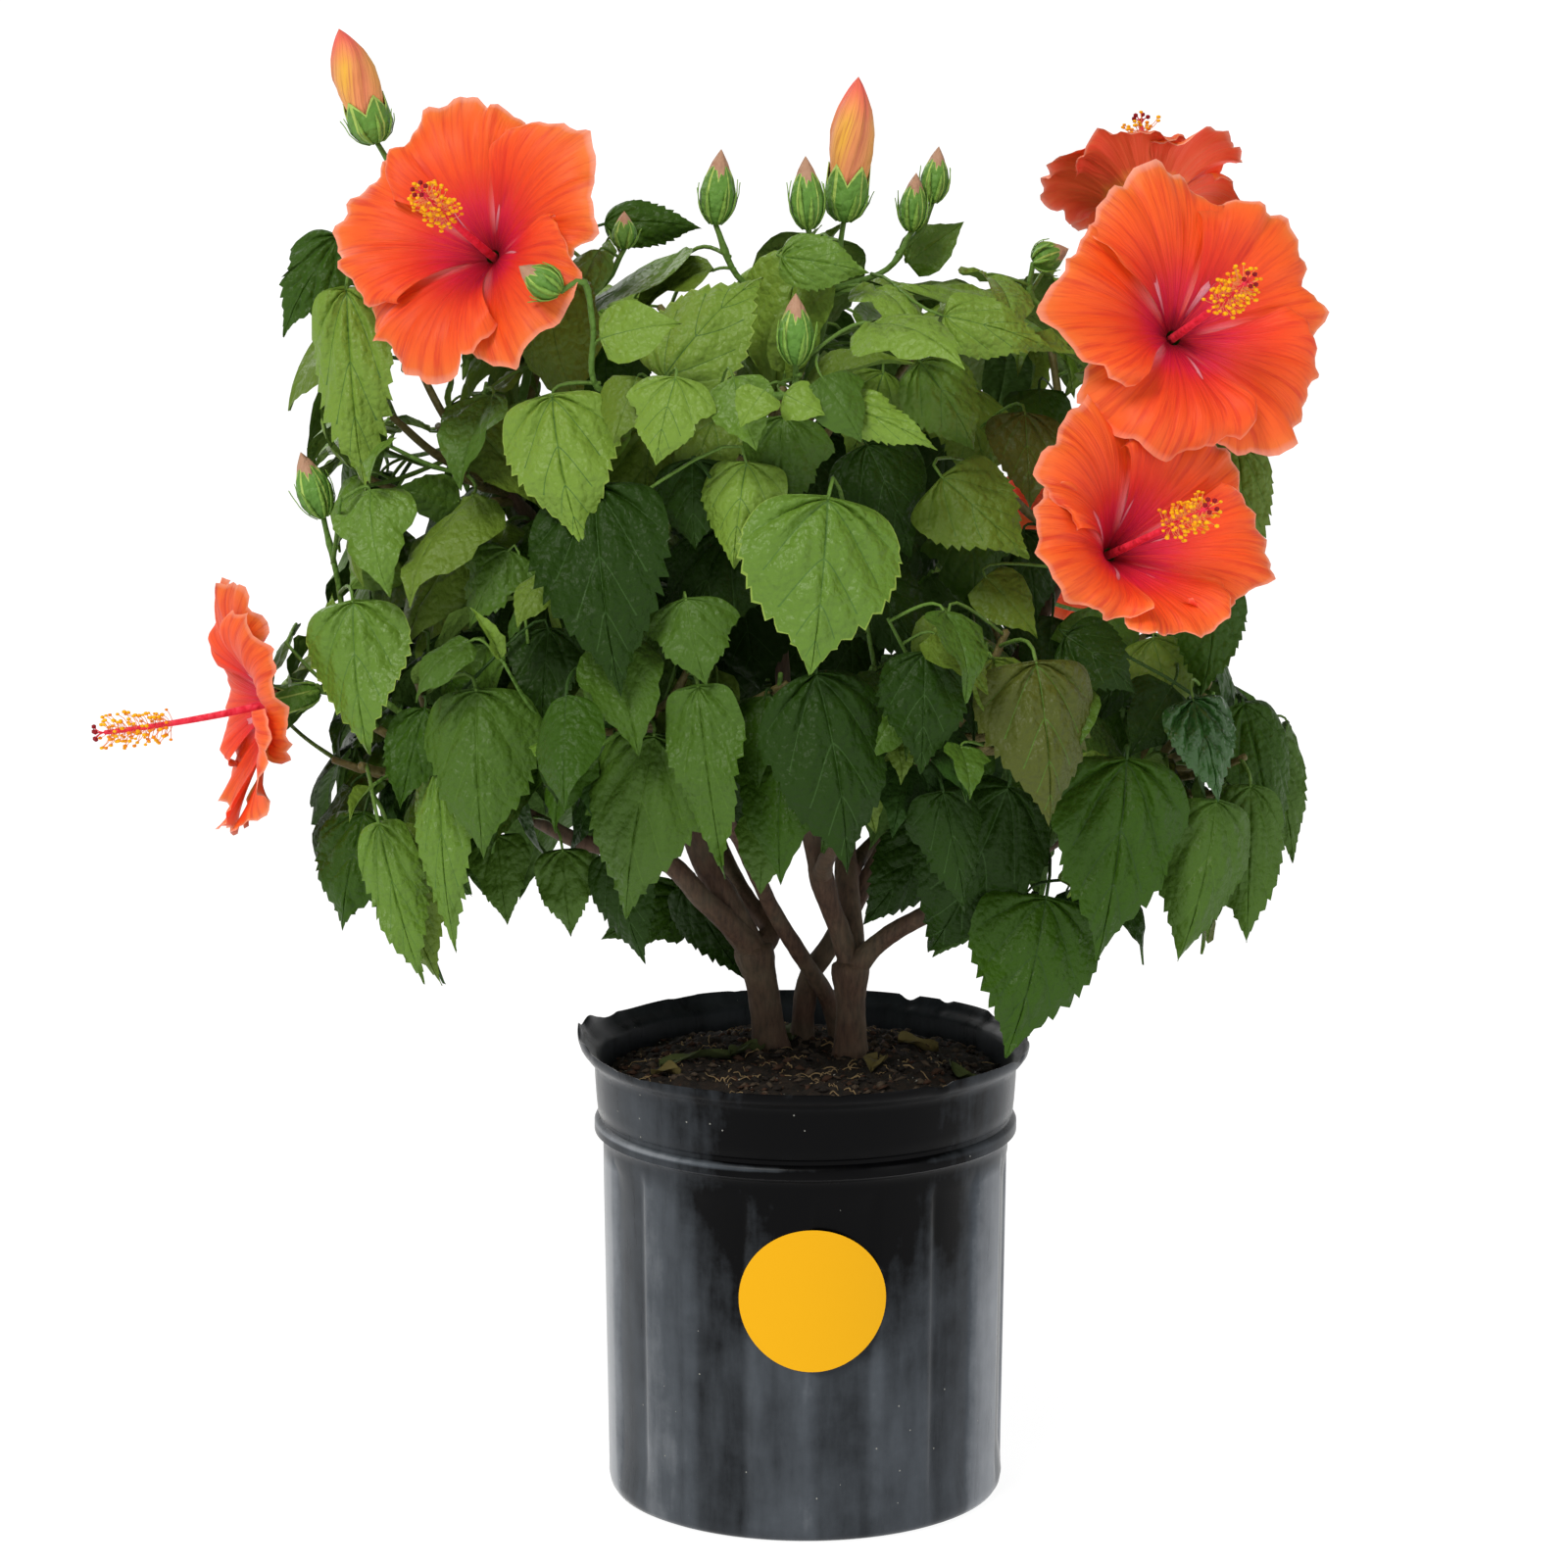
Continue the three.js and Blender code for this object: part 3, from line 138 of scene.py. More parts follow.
# Name, place, height aimed at, width, height, power and colour of each panel
LIGHTS = [
    ("fill", (2.4, -2.2, 1.3), 0.45, 0.9, 1.8, 11, "#FAFCFF"),
    ("back", (-1.6, 2.4, 2.2), 0.5, 1.6, 1.6, 26, "#FFFFFF"),
]
for name, place, height, width, tall, power, colour in LIGHTS:
    deselect()
    way = np.array([0, 0, height]) - np.array(place)
    turn = math.atan2(way[1], way[0]) - math.pi / 2
    tilt = math.pi / 2 + math.atan2(way[2], math.hypot(way[0], way[1]))
    bpy.ops.object.light_add(type="AREA", location=place, rotation=(tilt, 0, turn))
    light = bpy.context.object
    light.name = f"{name}_light"
    light.data.shape = "RECTANGLE"
    light.data.size = width
    light.data.size_y = tall
    light.data.energy = power
    light.data.color = linear(colour)[:3]

world = bpy.data.worlds.new("studio")
bpy.context.scene.world = world
world.use_nodes = True
# White round the horizon as a cut-out backdrop is, and dimmer overhead, so
# leaves shade one another
sky = world.node_tree
sky.nodes["Background"].inputs["Color"].default_value = linear("#FFFFFF")
around = add_node(sky, "ShaderNodeTexCoord")
height = add_node(sky, "ShaderNodeSeparateXYZ", {"Vector": around.outputs["Generated"]})
bright = add_node(sky, "ShaderNodeMapRange", {"Value": height.outputs["Z"]}, From_Min=0.04,
                  From_Max=0.4, To_Min=0.9, To_Max=0.35)
sky.links.new(bright.outputs["Result"], sky.nodes["Background"].inputs["Strength"])
bpy.context.scene.view_settings.view_transform = "Standard"
bpy.context.scene.view_settings.look = "None"

deselect()
FLOOR_SIZE = 120
bpy.ops.mesh.primitive_plane_add(size=FLOOR_SIZE, location=(0, 0, 0))
sweep = bpy.context.object
sweep.name = "studio_floor"
floor_paint = new_material(
    "matt white acrylic, lit from below", Base_Color=linear("#6C6C6C"), Roughness=0.9,
    Specular_IOR_Level=0.1, Emission_Color=linear("#FFFFFF"), Emission_Strength=0.93)[0]
sweep.data.materials.append(floor_paint)
# How the shrub grows: the trunks and boughs by their centre lines and tapers.
# A limb with a parent starts inside it, or at its tip. Each point is a pixel
# of the photograph with its depth; radii run from foot to tip.
SOIL_LEVEL = 256.0
CLEARANCE = 0.3
FOOT_DEPTH = 6.0
GROUND_FLARE = 1.35
LIMB_STEP = 32.0
UP = np.array([0.0, 0.0, 1.0])
LIMBS = [
    dict(name="left_trunk", foot=(-19, 22), path=[(779, 1012, 21), (768, 968, 18)], radius=(9.4, 8.8)),
    dict(name="right_trunk", foot=(26, 4), path=[(868, 1020, 4), (868, 984, 4)], radius=(8.8, 8.2)),
    dict(name="right_crossing_stem", foot=(-2, 40), radius=(6.6, 4.4), path=[
        (825, 999, 36), (846, 966, 34), (892, 886, 34), (921, 838, 34), (960, 780, 30), (1010, 715, 20)]),
    dict(name="left_crossing_stem", foot=(22, 42), radius=(5.2, 3.8), path=[
        (845, 1020, 34), (815, 972, 16), (789, 929, 4), (768, 885, -20), (735, 820, -62),
        (690, 765, -100)]),
    dict(name="left_upper_bough", parent="left_trunk", tip=True, radius=(8.0, 4.6), path=[
        (746, 925, 15), (719, 880, 10), (703, 836, 6), (676, 770, 2), (640, 690, -6), (592, 600, -14)]),
    dict(name="left_low_bough", parent="left_trunk", radius=(7.0, 4.2), path=[
        (768, 968, 18), (741, 939, 6), (716, 916, -2), (683, 882, -8), (640, 868, -14), (590, 858, -20),
        (545, 835, -24)]),
    dict(name="back_left_bough", parent="left_trunk", radius=(6.2, 4.2), path=[
        (770, 972, 20), (786, 950, 30), (762, 918, 44), (742, 880, 70), (720, 820, 105)]),
    dict(name="middle_bough", parent="right_trunk", tip=True, radius=(6.6, 4.0), path=[
        (855, 946, 0), (842, 910, -6), (830, 860, -10), (820, 815, -14), (803, 740, -20), (797, 660, -26)]),
    dict(name="back_bough", parent="right_trunk", radius=(6.8, 4.4), path=[
        (868, 986, 4), (870, 950, 12), (864, 893, 22), (862, 820, 48), (856, 740, 80)]),
    dict(name="right_low_bough", parent="right_trunk", radius=(6.2, 4.0), path=[
        (868, 992, 4), (892, 966, -2), (920, 946, -8), (955, 928, -12), (1005, 900, -16),
        (1060, 868, -20)]),
    dict(name="front_right_bough", parent="middle_bough", radius=(4.8, 3.8), path=[
        (838, 893, -8), (846, 872, -38), (870, 842, -74), (915, 800, -112)]),
    dict(name="back_right_bough", parent="back_bough", radius=(4.8, 3.8), path=[
        (864, 893, 22), (884, 868, 50), (925, 828, 84), (965, 790, 118)]),
]


def size(vector):
    return math.sqrt(vector[0] ** 2 + vector[1] ** 2 + vector[2] ** 2)


def unit(vector):
    return vector / size(vector)


def square(vector, along):
    """The part of a direction that is square to another, as a unit vector."""
    return unit(vector - along * float(vector @ along))


def spline_point(points, t):
    """Centripetal Catmull-Rom curve through points, at t from 0 to 1."""
    last = len(points) - 1
    place = last * t
    cell = min(int(math.floor(place)), last - 1)
    weight = place - cell
    p1 = points[cell]
    p2 = points[cell + 1]
    p0 = points[cell - 1] if cell > 0 else 2 * points[0] - points[1]
    p3 = points[cell + 2] if cell + 2 <= last else 2 * points[last] - points[last - 1]
    d0, d1, d2 = [float((b - a) @ (b - a)) ** 0.25 for a, b in ((p0, p1), (p1, p2), (p2, p3))]
    m1 = ((p1 - p0) / d0 - (p2 - p0) / (d0 + d1) + (p2 - p1) / d1) * d1
    m2 = ((p2 - p1) / d1 - (p3 - p1) / (d1 + d2) + (p3 - p2) / d2) * d1
    c2 = 3 * (p2 - p1) - 2 * m1 - m2
    c3 = 2 * (p1 - p2) + m1 + m2
    return ((c3 * weight + c2) * weight + m1) * weight + p1


SPLINE_STEPS = 200


def smooth(points, count):
    """Points at even distances along the smooth curve through the given ones."""
    share = np.arange(SPLINE_STEPS + 1) / SPLINE_STEPS
    fine = np.array([spline_point(points, t) for t in share])
    reach = np.concatenate([[0.0], np.cumsum(np.linalg.norm(np.diff(fine, axis=0), axis=1))])
    wanted = np.interp(np.arange(count + 1) / count * reach[-1], reach, share)
    return np.array([spline_point(points, t) for t in wanted])


limbs = {}
for limb in LIMBS:
    parent = limbs.get(limb.get("parent"))
    route = [seen(*p) for p in limb["path"]]
    if "foot" in limb:
        route.insert(0, np.array([*limb["foot"], SOIL_LEVEL - FOOT_DEPTH]))
    if limb.get("tip"):
        route.insert(0, parent["end"] + parent["heading"] * CLEARANCE)
    length = sum(size(b - a) for a, b in zip(route, route[1:]))
    steps = max(3, int(math.floor(length / LIMB_STEP + 0.5)))
    line = smooth(route, steps)
    radii = np.linspace(limb["radius"][0], limb["radius"][1], steps + 1)
    if "foot" in limb:
        radii[0] *= GROUND_FLARE
    limbs[limb["name"]] = dict(
        limb, route=route, line=line, radii=radii, end=line[-1], heading=unit(line[-1] - line[-2])
    )

# Masses of foliage: the bough that carries each, the middle and half-size of
# its space, how many shoots and leaves its stem carries, and its seed.
MASSES = [
    ("left_low_foliage", "left_low_bough", (-205, -35, 440), (105, 130, 95), 6, 23, 11),
    ("left_top_foliage", "left_upper_bough", (-180, -20, 600), (118, 150, 110), 7, 26, 12),
    ("front_left_foliage", "left_crossing_stem", (-85, -120, 480), (105, 95, 95), 6, 21, 13),
    ("middle_top_foliage", "middle_bough", (-20, -60, 620), (120, 135, 110), 7, 29, 14),
    ("front_right_foliage", "front_right_bough", (80, -125, 470), (105, 90, 95), 6, 22, 15),
    ("right_top_foliage", "right_crossing_stem", (160, -15, 590), (125, 145, 110), 7, 26, 16),
    ("right_low_foliage", "right_low_bough", (200, -20, 435), (110, 140, 100), 7, 23, 17),
    ("back_left_foliage", "back_left_bough", (-120, 140, 480), (125, 110, 110), 7, 23, 18),
    ("back_right_foliage", "back_right_bough", (120, 140, 475), (125, 110, 110), 7, 22, 19),
    ("back_top_foliage", "back_bough", (0, 110, 625), (165, 120, 105), 7, 24, 20),
]
masses = {}
for name, bough, middle, reach, shoots, leaves, seed in MASSES:
    masses[name] = dict(
        name=name, bough=bough, middle=np.array(middle, float), reach=np.array(reach, float),
        shoots=shoots, leaves=leaves, seed=seed, lines=[], twigs=[], blades=[], flowers=[], buds=[],
    )

# Open flowers: the pixel and depth where the petals meet, the way they face,
# their radius, the depth of the funnel and the length of the column in it.
FLOWERS = [
    ("left_top_foliage", (503, 262, -96), (-0.4, -0.8, 0.44), 80, 36, 88, 0.3),
    ("right_top_foliage", (1197, 345, -110), (0.38, -0.82, 0.4), 86, 34, 90, 0.1),
    ("right_top_foliage", (1132, 566, -150), (0.5, -0.76, 0.36), 77, 46, 92, 0.5),
    ("right_top_foliage", (1172, 232, 22), (-0.05, 0.6, 0.8), 60, 36, 64, 0.9),
    ("left_low_foliage", (287, 714, -40), (-0.96, -0.14, -0.2), 77, 24, 106, 0.2),
    ("back_right_foliage", (1105, 565, 218), (0.35, 0.9, 0.25), 78, 36, 88, 0.8),
    ("back_top_foliage", (830, 585, 224), (-0.15, 0.85, 0.5), 74, 36, 86, 0.6),
]

# Buds: base and tip as pixels, the depth, the radius, whether the furled petals
# already stand out of the calyx, and the way of a stalk that hooks over.
NODDING_WAY = [(612, 398, -146), (605, 332, -156), (594, 286, -164)]
BUDS = [
    ("left_top_foliage", (385, 146), (346, 30), -62, 12.5, True, []),
    ("middle_top_foliage", (861, 226), (876, 79), -62, 12.5, True, []),
    ("middle_top_foliage", (730, 229), (736, 153), -66, 10, False, []),
    ("middle_top_foliage", (825, 234), (822, 160), -84, 9.5, False, []),
    ("middle_top_foliage", (930, 236), (935, 177), -44, 8, False, []),
    ("middle_top_foliage", (951, 207), (958, 150), -34, 8, False, []),
    ("middle_top_foliage", (812, 372), (812, 300), -158, 10, False, []),
    ("left_top_foliage", (637, 254), (637, 216), -60, 7, False, []),
    ("middle_top_foliage", (572, 298), (530, 272), -168, 9.5, False, NODDING_WAY),
    ("left_low_foliage", (330, 528), (307, 462), -70, 10, False, []),
    ("right_top_foliage", (1054, 268), (1090, 254), -44, 9, False, []),
    ("back_top_foliage", (700, 400), (692, 305), 160, 11, True, []),
    ("back_left_foliage", (600, 420), (590, 350), 190, 9, False, []),
    ("back_right_foliage", (960, 460), (968, 392), 190, 9, False, []),
]
# The leaves that show most: mass, the pixels of blade base and tip with their
# depths, the blade's width, and its green.
KEY_LEAVES = [
    ("front_right", (845, 506, -186), (828, 688, -214), 90, "bright"),
    ("middle_top", (563, 402, -150), (583, 557, -180), 66, "young"),
    ("front_left", (606, 492, -160), (628, 710, -200), 78, "dark"),
    ("left_low", (360, 612, -104), (370, 770, -130), 63, "bright"),
    ("left_low", (486, 702, -142), (494, 878, -170), 67, "mid"),
    ("front_left", (668, 748, -160), (640, 940, -178), 70, "mid"),
    ("front_left", (712, 698, -178), (742, 898, -196), 44, "mid"),
    ("front_right", (832, 684, -192), (877, 890, -206), 72, "dark"),
    ("front_right", (1057, 674, -182), (1077, 842, -206), 69, "olive"),
    ("right_low", (1150, 772, -138), (1128, 982, -158), 80, "deep"),
    ("right_low", (1242, 815, -112), (1214, 984, -128), 56, "mid"),
    ("right_low", (1268, 716, -52), (1310, 900, -66), 46, "deep"),
    ("right_low", (1068, 914, -122), (1036, 1082, -142), 80, "deep"),
    ("front_right", (1030, 800, -126), (950, 982, -112), 72, "dark"),
    ("front_right", (962, 806, -160), (983, 934, -164), 40, "dark"),
    ("left_top", (353, 292, -64), (374, 508, -84), 50, "young"),
    ("left_top", (346, 240, -22), (286, 342, -34), 40, "deep"),
    ("middle_top", (676, 386, -128), (772, 272, -104), 60, "young"),
    ("left_low", (447, 780, -128), (467, 974, -144), 34, "bright"),
    ("left_low", (386, 838, -118), (430, 1006, -134), 34, "bright"),
    ("left_low", (372, 828, -60), (348, 950, -74), 52, "deep"),
    ("left_low", (434, 722, -96), (412, 826, -112), 36, "deep"),
    ("left_low", (574, 866, -84), (583, 956, -92), 36, "mid"),
    ("middle_top", (858, 412, -176), (958, 455, -186), 27, "young"),
    ("middle_top", (962, 322, -118), (1078, 352, -126), 36, "young"),
    ("middle_top", (796, 262, -106), (886, 276, -116), 32, "bright"),
    ("middle_top", (612, 346, -158), (694, 324, -164), 36, "young"),
    ("middle_top", (938, 368, -92), (1000, 456, -104), 46, "bright"),
    ("middle_top", (926, 268, -40), (985, 228, -30), 28, "bright"),
    ("right_top", (960, 486, -128), (1046, 574, -146), 60, "warm"),
    ("right_top", (1262, 450, -50), (1268, 588, -66), 42, "warm"),
    ("right_top", (1238, 596, -70), (1234, 712, -84), 44, "deep"),
    ("right_low", (1217, 712, -124), (1246, 818, -136), 42, "wet"),
    ("right_low", (962, 846, -50), (876, 940, -58), 46, "dark"),
    ("front_left", (785, 826, -104), (772, 912, -114), 36, "mid"),
    ("left_top", (616, 228, 16), (716, 226, 14), 28, "deep"),
    ("left_top", (470, 512, -60), (400, 500, -70), 28, "mid"),
    ("middle_top", (668, 430, -112), (648, 560, -130), 56, "warm"),
    ("middle_top", (742, 396, -100), (704, 500, -122), 52, "warm"),
    ("middle_top", (800, 424, -112), (792, 530, -130), 50, "mid"),
    ("middle_top", (884, 452, -106), (934, 566, -130), 54, "dark"),
    ("middle_top", (902, 378, -96), (868, 472, -112), 46, "young"),
    ("middle_top", (744, 540, -118), (684, 690, -146), 56, "dark"),
    ("middle_top", (886, 590, -110), (946, 680, -126), 50, "dark"),
    ("right_top", (982, 396, -64), (1006, 500, -82), 46, "warm"),
    ("back_left", (704, 916, 92), (612, 956, 84), 40, "deep"),
    ("right_low", (1086, 648, -110), (1164, 700, -118), 44, "dark"),
    ("right_low", (1176, 650, -64), (1196, 742, -74), 46, "warm"),
    ("right_low", (1084, 760, -70), (1066, 872, -84), 52, "mid"),
    ("right_low", (1166, 796, -40), (1172, 920, -50), 54, "deep"),
    ("right_low", (1008, 898, -84), (955, 980, -92), 36, "deep"),
    ("right_top", (1004, 588, -110), (1062, 648, -122), 36, "warm"),
    ("right_top", (1046, 420, -80), (1046, 520, -96), 46, "olive"),
    ("front_right", (944, 664, -150), (936, 790, -164), 52, "dark"),
    ("front_left", (762, 470, -168), (748, 580, -184), 50, "young"),
    ("front_left", (700, 610, -150), (716, 700, -164), 48, "mid"),
    ("left_low", (560, 640, -120), (556, 742, -134), 44, "dark"),
    ("left_top", (398, 560, -70), (354, 600, -78), 40, "bright"),
    ("left_low", (520, 560, -110), (476, 640, -122), 44, "mid"),
]

# Sizes of leaves, shoots and blooms, the reach of the crown, and the room that
# the rule keeps between what it places.
LEAF_MARGIN = 3.0
LEAF_ROOM_THICKNESS = 7.0
PETIOLE_RADIUS = 1.4
SHOOT_RADIUS = 2.8
SHOOT_TIP_RADIUS = 2.1
GOLDEN_ANGLE = 2.399963
CALYX_LENGTH = 22.0
STEM_START = 5.0
CROWN_MIDDLE = np.array([-8.0, 0.0, 512.0])
CROWN_REACH = np.array([308.0, 272.0, 228.0])
CROWN_SQUARENESS = 3
POT_HEIGHT = 265.0
LIP_RADIUS = 127.5
RIM_ROOM = 8.0
BLOOM_ROOM = 12.0
BLADE_TO_LIMB = 2.0
BLADE_TO_BLOOM = 1.0
TWIG_TO_TWIG = 4.0
PETIOLE_TO_TWIG = 1.5
COROLLA_THICKNESS = 9.0
PETALS = 5


def draw_from(seed):
    """Even random numbers from 0 to 1, the same run after run for one seed."""
    mask = 0xFFFFFFFF
    state = seed & mask
    while True:
        state = (state + 0x6D2B79F5) & mask
        t = ((state ^ (state >> 15)) * (state | 1)) & mask
        t ^= (t + (((t ^ (t >> 7)) * (t | 61)) & mask)) & mask
        yield ((t ^ (t >> 14)) & mask) / 4294967296


def square_pair(along):
    """Two directions that are square to a line and to each other."""
    first = square(UP if abs(along[2]) < 0.9 else np.array([1.0, 0, 0]), along)
    return first, np.cross(along, first)


def spoke(first, second, angle):
    """The direction at an angle in the plane of two directions."""
    return first * math.cos(angle) + second * math.sin(angle)


def bend(a, b, c, count):
    """Points along one bend from a to c, pulled towards b."""
    t = (np.arange(count + 1) / count)[:, None]
    first = a * (1 - t) + b * t
    second = b * (1 - t) + c * t
    return first * (1 - t) + second * t


def gaps_between(a, b, c, d):
    """Shortest ways between straight pieces a-b and c-d, given as rows."""
    u, v, w = b - a, d - c, a - c
    uu, uv, vv = (u * u).sum(-1), (u * v).sum(-1), (v * v).sum(-1)
    uw, vw = (u * w).sum(-1), (v * w).sum(-1)
    det = uu * vv - uv * uv
    safe = np.where(det > 1e-9, det, 1.0)
    s = np.clip(np.where(det > 1e-9, (uv * vw - vv * uw) / safe, 0.0), 0, 1)
    t = (uv * s + vw) / vv
    outside = (t < 0) | (t > 1)
    t = np.clip(t, 0, 1)
    s = np.where(outside, np.clip((uv * t - uw) / uu, 0, 1), s)
    return np.linalg.norm(a + u * s[..., None] - (c + v * t[..., None]), axis=-1)


def any_pierced(a, b, triangles):
    """Whether any straight piece a-b passes through any of the triangles."""
    along = (b - a)[:, None, :]
    p, q, r = triangles[None, :, 0], triangles[None, :, 1], triangles[None, :, 2]
    e1, e2 = q - p, r - p
    h = np.cross(along, e2)
    det = (e1 * h).sum(-1)
    flat = np.abs(det) < 1e-9
    det = np.where(flat, 1.0, det)
    s = a[:, None, :] - p
    u = (s * h).sum(-1) / det
    g = np.cross(s, e1)
    v = (along * g).sum(-1) / det
    t = (e2 * g).sum(-1) / det
    hit = ~flat & (u >= 0) & (u <= 1) & (v >= 0) & (u + v <= 1) & (t >= 0) & (t <= 1)
    return bool(hit.any())


# What has been placed so far, for keeping leaves and shoots apart
SEGMENTS = dict(a=[], b=[], radius=[], mass=[], bloom=[])
BLADES = dict(triangles=[], edges=[], middle=[], heart=[], radius=[])
SIGHTS = dict(at=[], radius=[], sky=[])


def note_segments(line, radii, mass, bloom=False):
    """Notes a limb, twig, stalk or column as straight pieces."""
    for a, b, radius in zip(line, line[1:], radii):
        SEGMENTS["a"].append(a)
        SEGMENTS["b"].append(b)
        SEGMENTS["radius"].append(radius)
        SEGMENTS["mass"].append(mass)
        SEGMENTS["bloom"].append(bloom)


def note_sight(at, radius, sky=False):
    """Notes a place that ruled leaves leave open to the camera."""
    SIGHTS["at"].append(at)
    SIGHTS["radius"].append(radius)
    SIGHTS["sky"].append(sky)


def triangle_set(points, faces):
    """A blade or bloom as triangles and edges, with the ball that holds it."""
    triangles = points[faces]
    edges = np.concatenate([triangles[:, (0, 1)], triangles[:, (1, 2)], triangles[:, (2, 0)]])
    middle = points.mean(axis=0)
    radius = np.linalg.norm(points - middle, axis=1).max()
    heart = points[0] * 0.55 + points[3] * 0.45
    return dict(triangles=triangles, edges=edges, middle=middle, heart=heart, radius=radius, points=points)


def note_blade(shape):
    """Notes a blade or bloom that is placed."""
    for key, rows in BLADES.items():
        rows.append(shape[key])


def blade_width(u):
    """A blade's width at a share of its length, 1 at its widest."""
    return np.sin(math.pi * np.power(u, 0.62))


# The blade's room: six outline points and a raised and a sunk middle point
OUTLINE_U = np.array([0, 0.14, 0.5, 1, 0.5, 0.14, 0.4, 0.4])
OUTLINE_V = np.array([0, -1, -1, 0, 1, 1, 0, 0])
OUTLINE_LIFT = np.array([0, 0, 0, 0, 0, 0, 0.5, -0.5])
BLADE_FACES = np.array([
    face for i in range(6) for face in ((6, i, (i + 1) % 6), (7, (i + 1) % 6, i))
])


def leaf_from(base, tip, face, width, arch, fold):
    """A leaf blade from its base, its tip and the way its upper face looks."""
    way = tip - base
    along = unit(way)
    front = square(face, along)
    return dict(base=base, along=along, face=front, side=np.cross(front, along), length=size(way),
                width=width, arch=arch, fold=fold)


def blade_shape(leaf, thickness, margin):
    """The points of the room that a blade takes up, with a margin round it."""
    base = leaf["base"] - leaf["along"] * margin
    length = leaf["length"] + 2 * margin
    width = leaf["width"] + 2 * margin
    half = 0.5 * width * blade_width(OUTLINE_U) * OUTLINE_V
    rise = length * leaf["arch"] * 4 * OUTLINE_U * (1 - OUTLINE_U)
    rise = rise + np.abs(half) * math.sin(leaf["fold"]) + OUTLINE_LIFT * thickness
    return (base + np.outer(length * OUTLINE_U, leaf["along"]) + np.outer(rise, leaf["face"])
            + np.outer(half * math.cos(leaf["fold"]), leaf["side"]))


def segment_reach(shape, a, b):
    """Which of the straight pieces a-b come near a blade or bloom."""
    gap = np.linalg.norm(0.5 * (a + b) - shape["middle"], axis=1)
    return gap < shape["radius"] + 0.5 * np.linalg.norm(b - a, axis=1) + BLOOM_ROOM


def segment_free(a, b, radius, own, room):
    """Whether a twig or petiole is clear of limbs, other masses' twigs and all blades."""
    starts, ends = np.array(SEGMENTS["a"]), np.array(SEGMENTS["b"])
    others = np.array([mass != own for mass in SEGMENTS["mass"]])
    gaps = gaps_between(starts[others], ends[others], a, b)
    if (gaps < np.array(SEGMENTS["radius"])[others] + radius + room).any():
        return False
    if not BLADES["middle"]:
        return True
    middles, radii = np.array(BLADES["middle"]), np.array(BLADES["radius"])
    near = np.linalg.norm(middles - 0.5 * (a + b), axis=1) < radii + 0.5 * size(b - a) + BLOOM_ROOM
    return not any(any_pierced(a[None], b[None], BLADES["triangles"][i]) for i in np.flatnonzero(near))


def blade_free(shape):
    """Whether a blade is clear of other blades, the limbs, all twigs and the blooms."""
    if BLADES["middle"]:
        middles, radii = np.array(BLADES["middle"]), np.array(BLADES["radius"])
        near = np.linalg.norm(middles - shape["middle"], axis=1) <= radii + shape["radius"]
        for i in np.flatnonzero(near):
            if any_pierced(shape["edges"][:, 0], shape["edges"][:, 1], BLADES["triangles"][i]):
                return False
            if any_pierced(BLADES["edges"][i][:, 0], BLADES["edges"][i][:, 1], shape["triangles"]):
                return False
    starts, ends = np.array(SEGMENTS["a"]), np.array(SEGMENTS["b"])
    near = segment_reach(shape, starts, ends)
    if not near.any():
        return True
    if any_pierced(starts[near], ends[near], shape["triangles"]):
        return False
    is_limb = np.array([mass in limbs for mass in SEGMENTS["mass"]])
    for group, room in ((is_limb, BLADE_TO_LIMB), (np.array(SEGMENTS["bloom"]), BLADE_TO_BLOOM)):
        for i in np.flatnonzero(near & group):
            gaps = gaps_between(starts[i], ends[i], shape["edges"][:, 0], shape["edges"][:, 1])
            if (gaps < SEGMENTS["radius"][i] + room).any():
                return False
    return True


def inside_crown(points):
    """Which points are inside the rounded box that holds the crown."""
    return (np.abs((points - CROWN_MIDDLE) / CROWN_REACH) ** CROWN_SQUARENESS).sum(axis=-1) <= 1


def clear_of_pot(points):
    """Which points are above the pot's rim or outside it."""
    return (points[:, 2] > POT_HEIGHT + RIM_ROOM) | (
        np.hypot(points[:, 0], points[:, 1]) > LIP_RADIUS + RIM_ROOM)


def inside_cell(mass, point, margin):
    """A mass keeps its shoots on its own side of the plane midway to each other mass."""
    for other in masses.values():
        if other is mass:
            continue
        way = unit(other["middle"] - mass["middle"])
        if (point - 0.5 * (mass["middle"] + other["middle"])) @ way >= -margin:
            return False
    return True


def hides_sight(points):
    """Whether any point stands before a place that the photograph shows."""
    reach = np.array(SIGHTS["at"]) - EYE
    far = np.linalg.norm(reach, axis=1)
    way = points - EYE
    along = way @ reach.T / far
    off = np.linalg.norm(way[:, None, :] - reach[None] * (along / far)[..., None], axis=2)
    before = np.array(SIGHTS["sky"]) | (along <= far)
    return bool((before & (off < np.array(SIGHTS["radius"]))).any())


# Where the photograph shows the bare stems, white sky or white floor between leaves
OPEN_STEMS = [
    (720, 900), (745, 955), (800, 985), (850, 930), (900, 985), (830, 1030), (700, 975), (970, 985),
]
SKY_GAPS = [(432, 395, 17), (425, 470, 15), (1150, 752, 10), (1010, 415, 8), (520, 905, 10)]
OPEN_FLOOR = [(600, 985), (540, 985), (480, 1010), (905, 1010), (1140, 1010), (1100, 1040)]
STEM_DEPTH = 20
STEM_SIGHT = 26
FLOOR_SIGHT = 16
for px, py in OPEN_STEMS:
    note_sight(seen(px, py, STEM_DEPTH), STEM_SIGHT)
for px, py, radius in SKY_GAPS:
    note_sight(seen(px, py, 0), radius, sky=True)
for px, py in OPEN_FLOOR:
    note_sight(seen(px, py, 0), FLOOR_SIGHT, sky=True)

for limb in limbs.values():
    note_segments(limb["line"], limb["radii"], limb["name"])


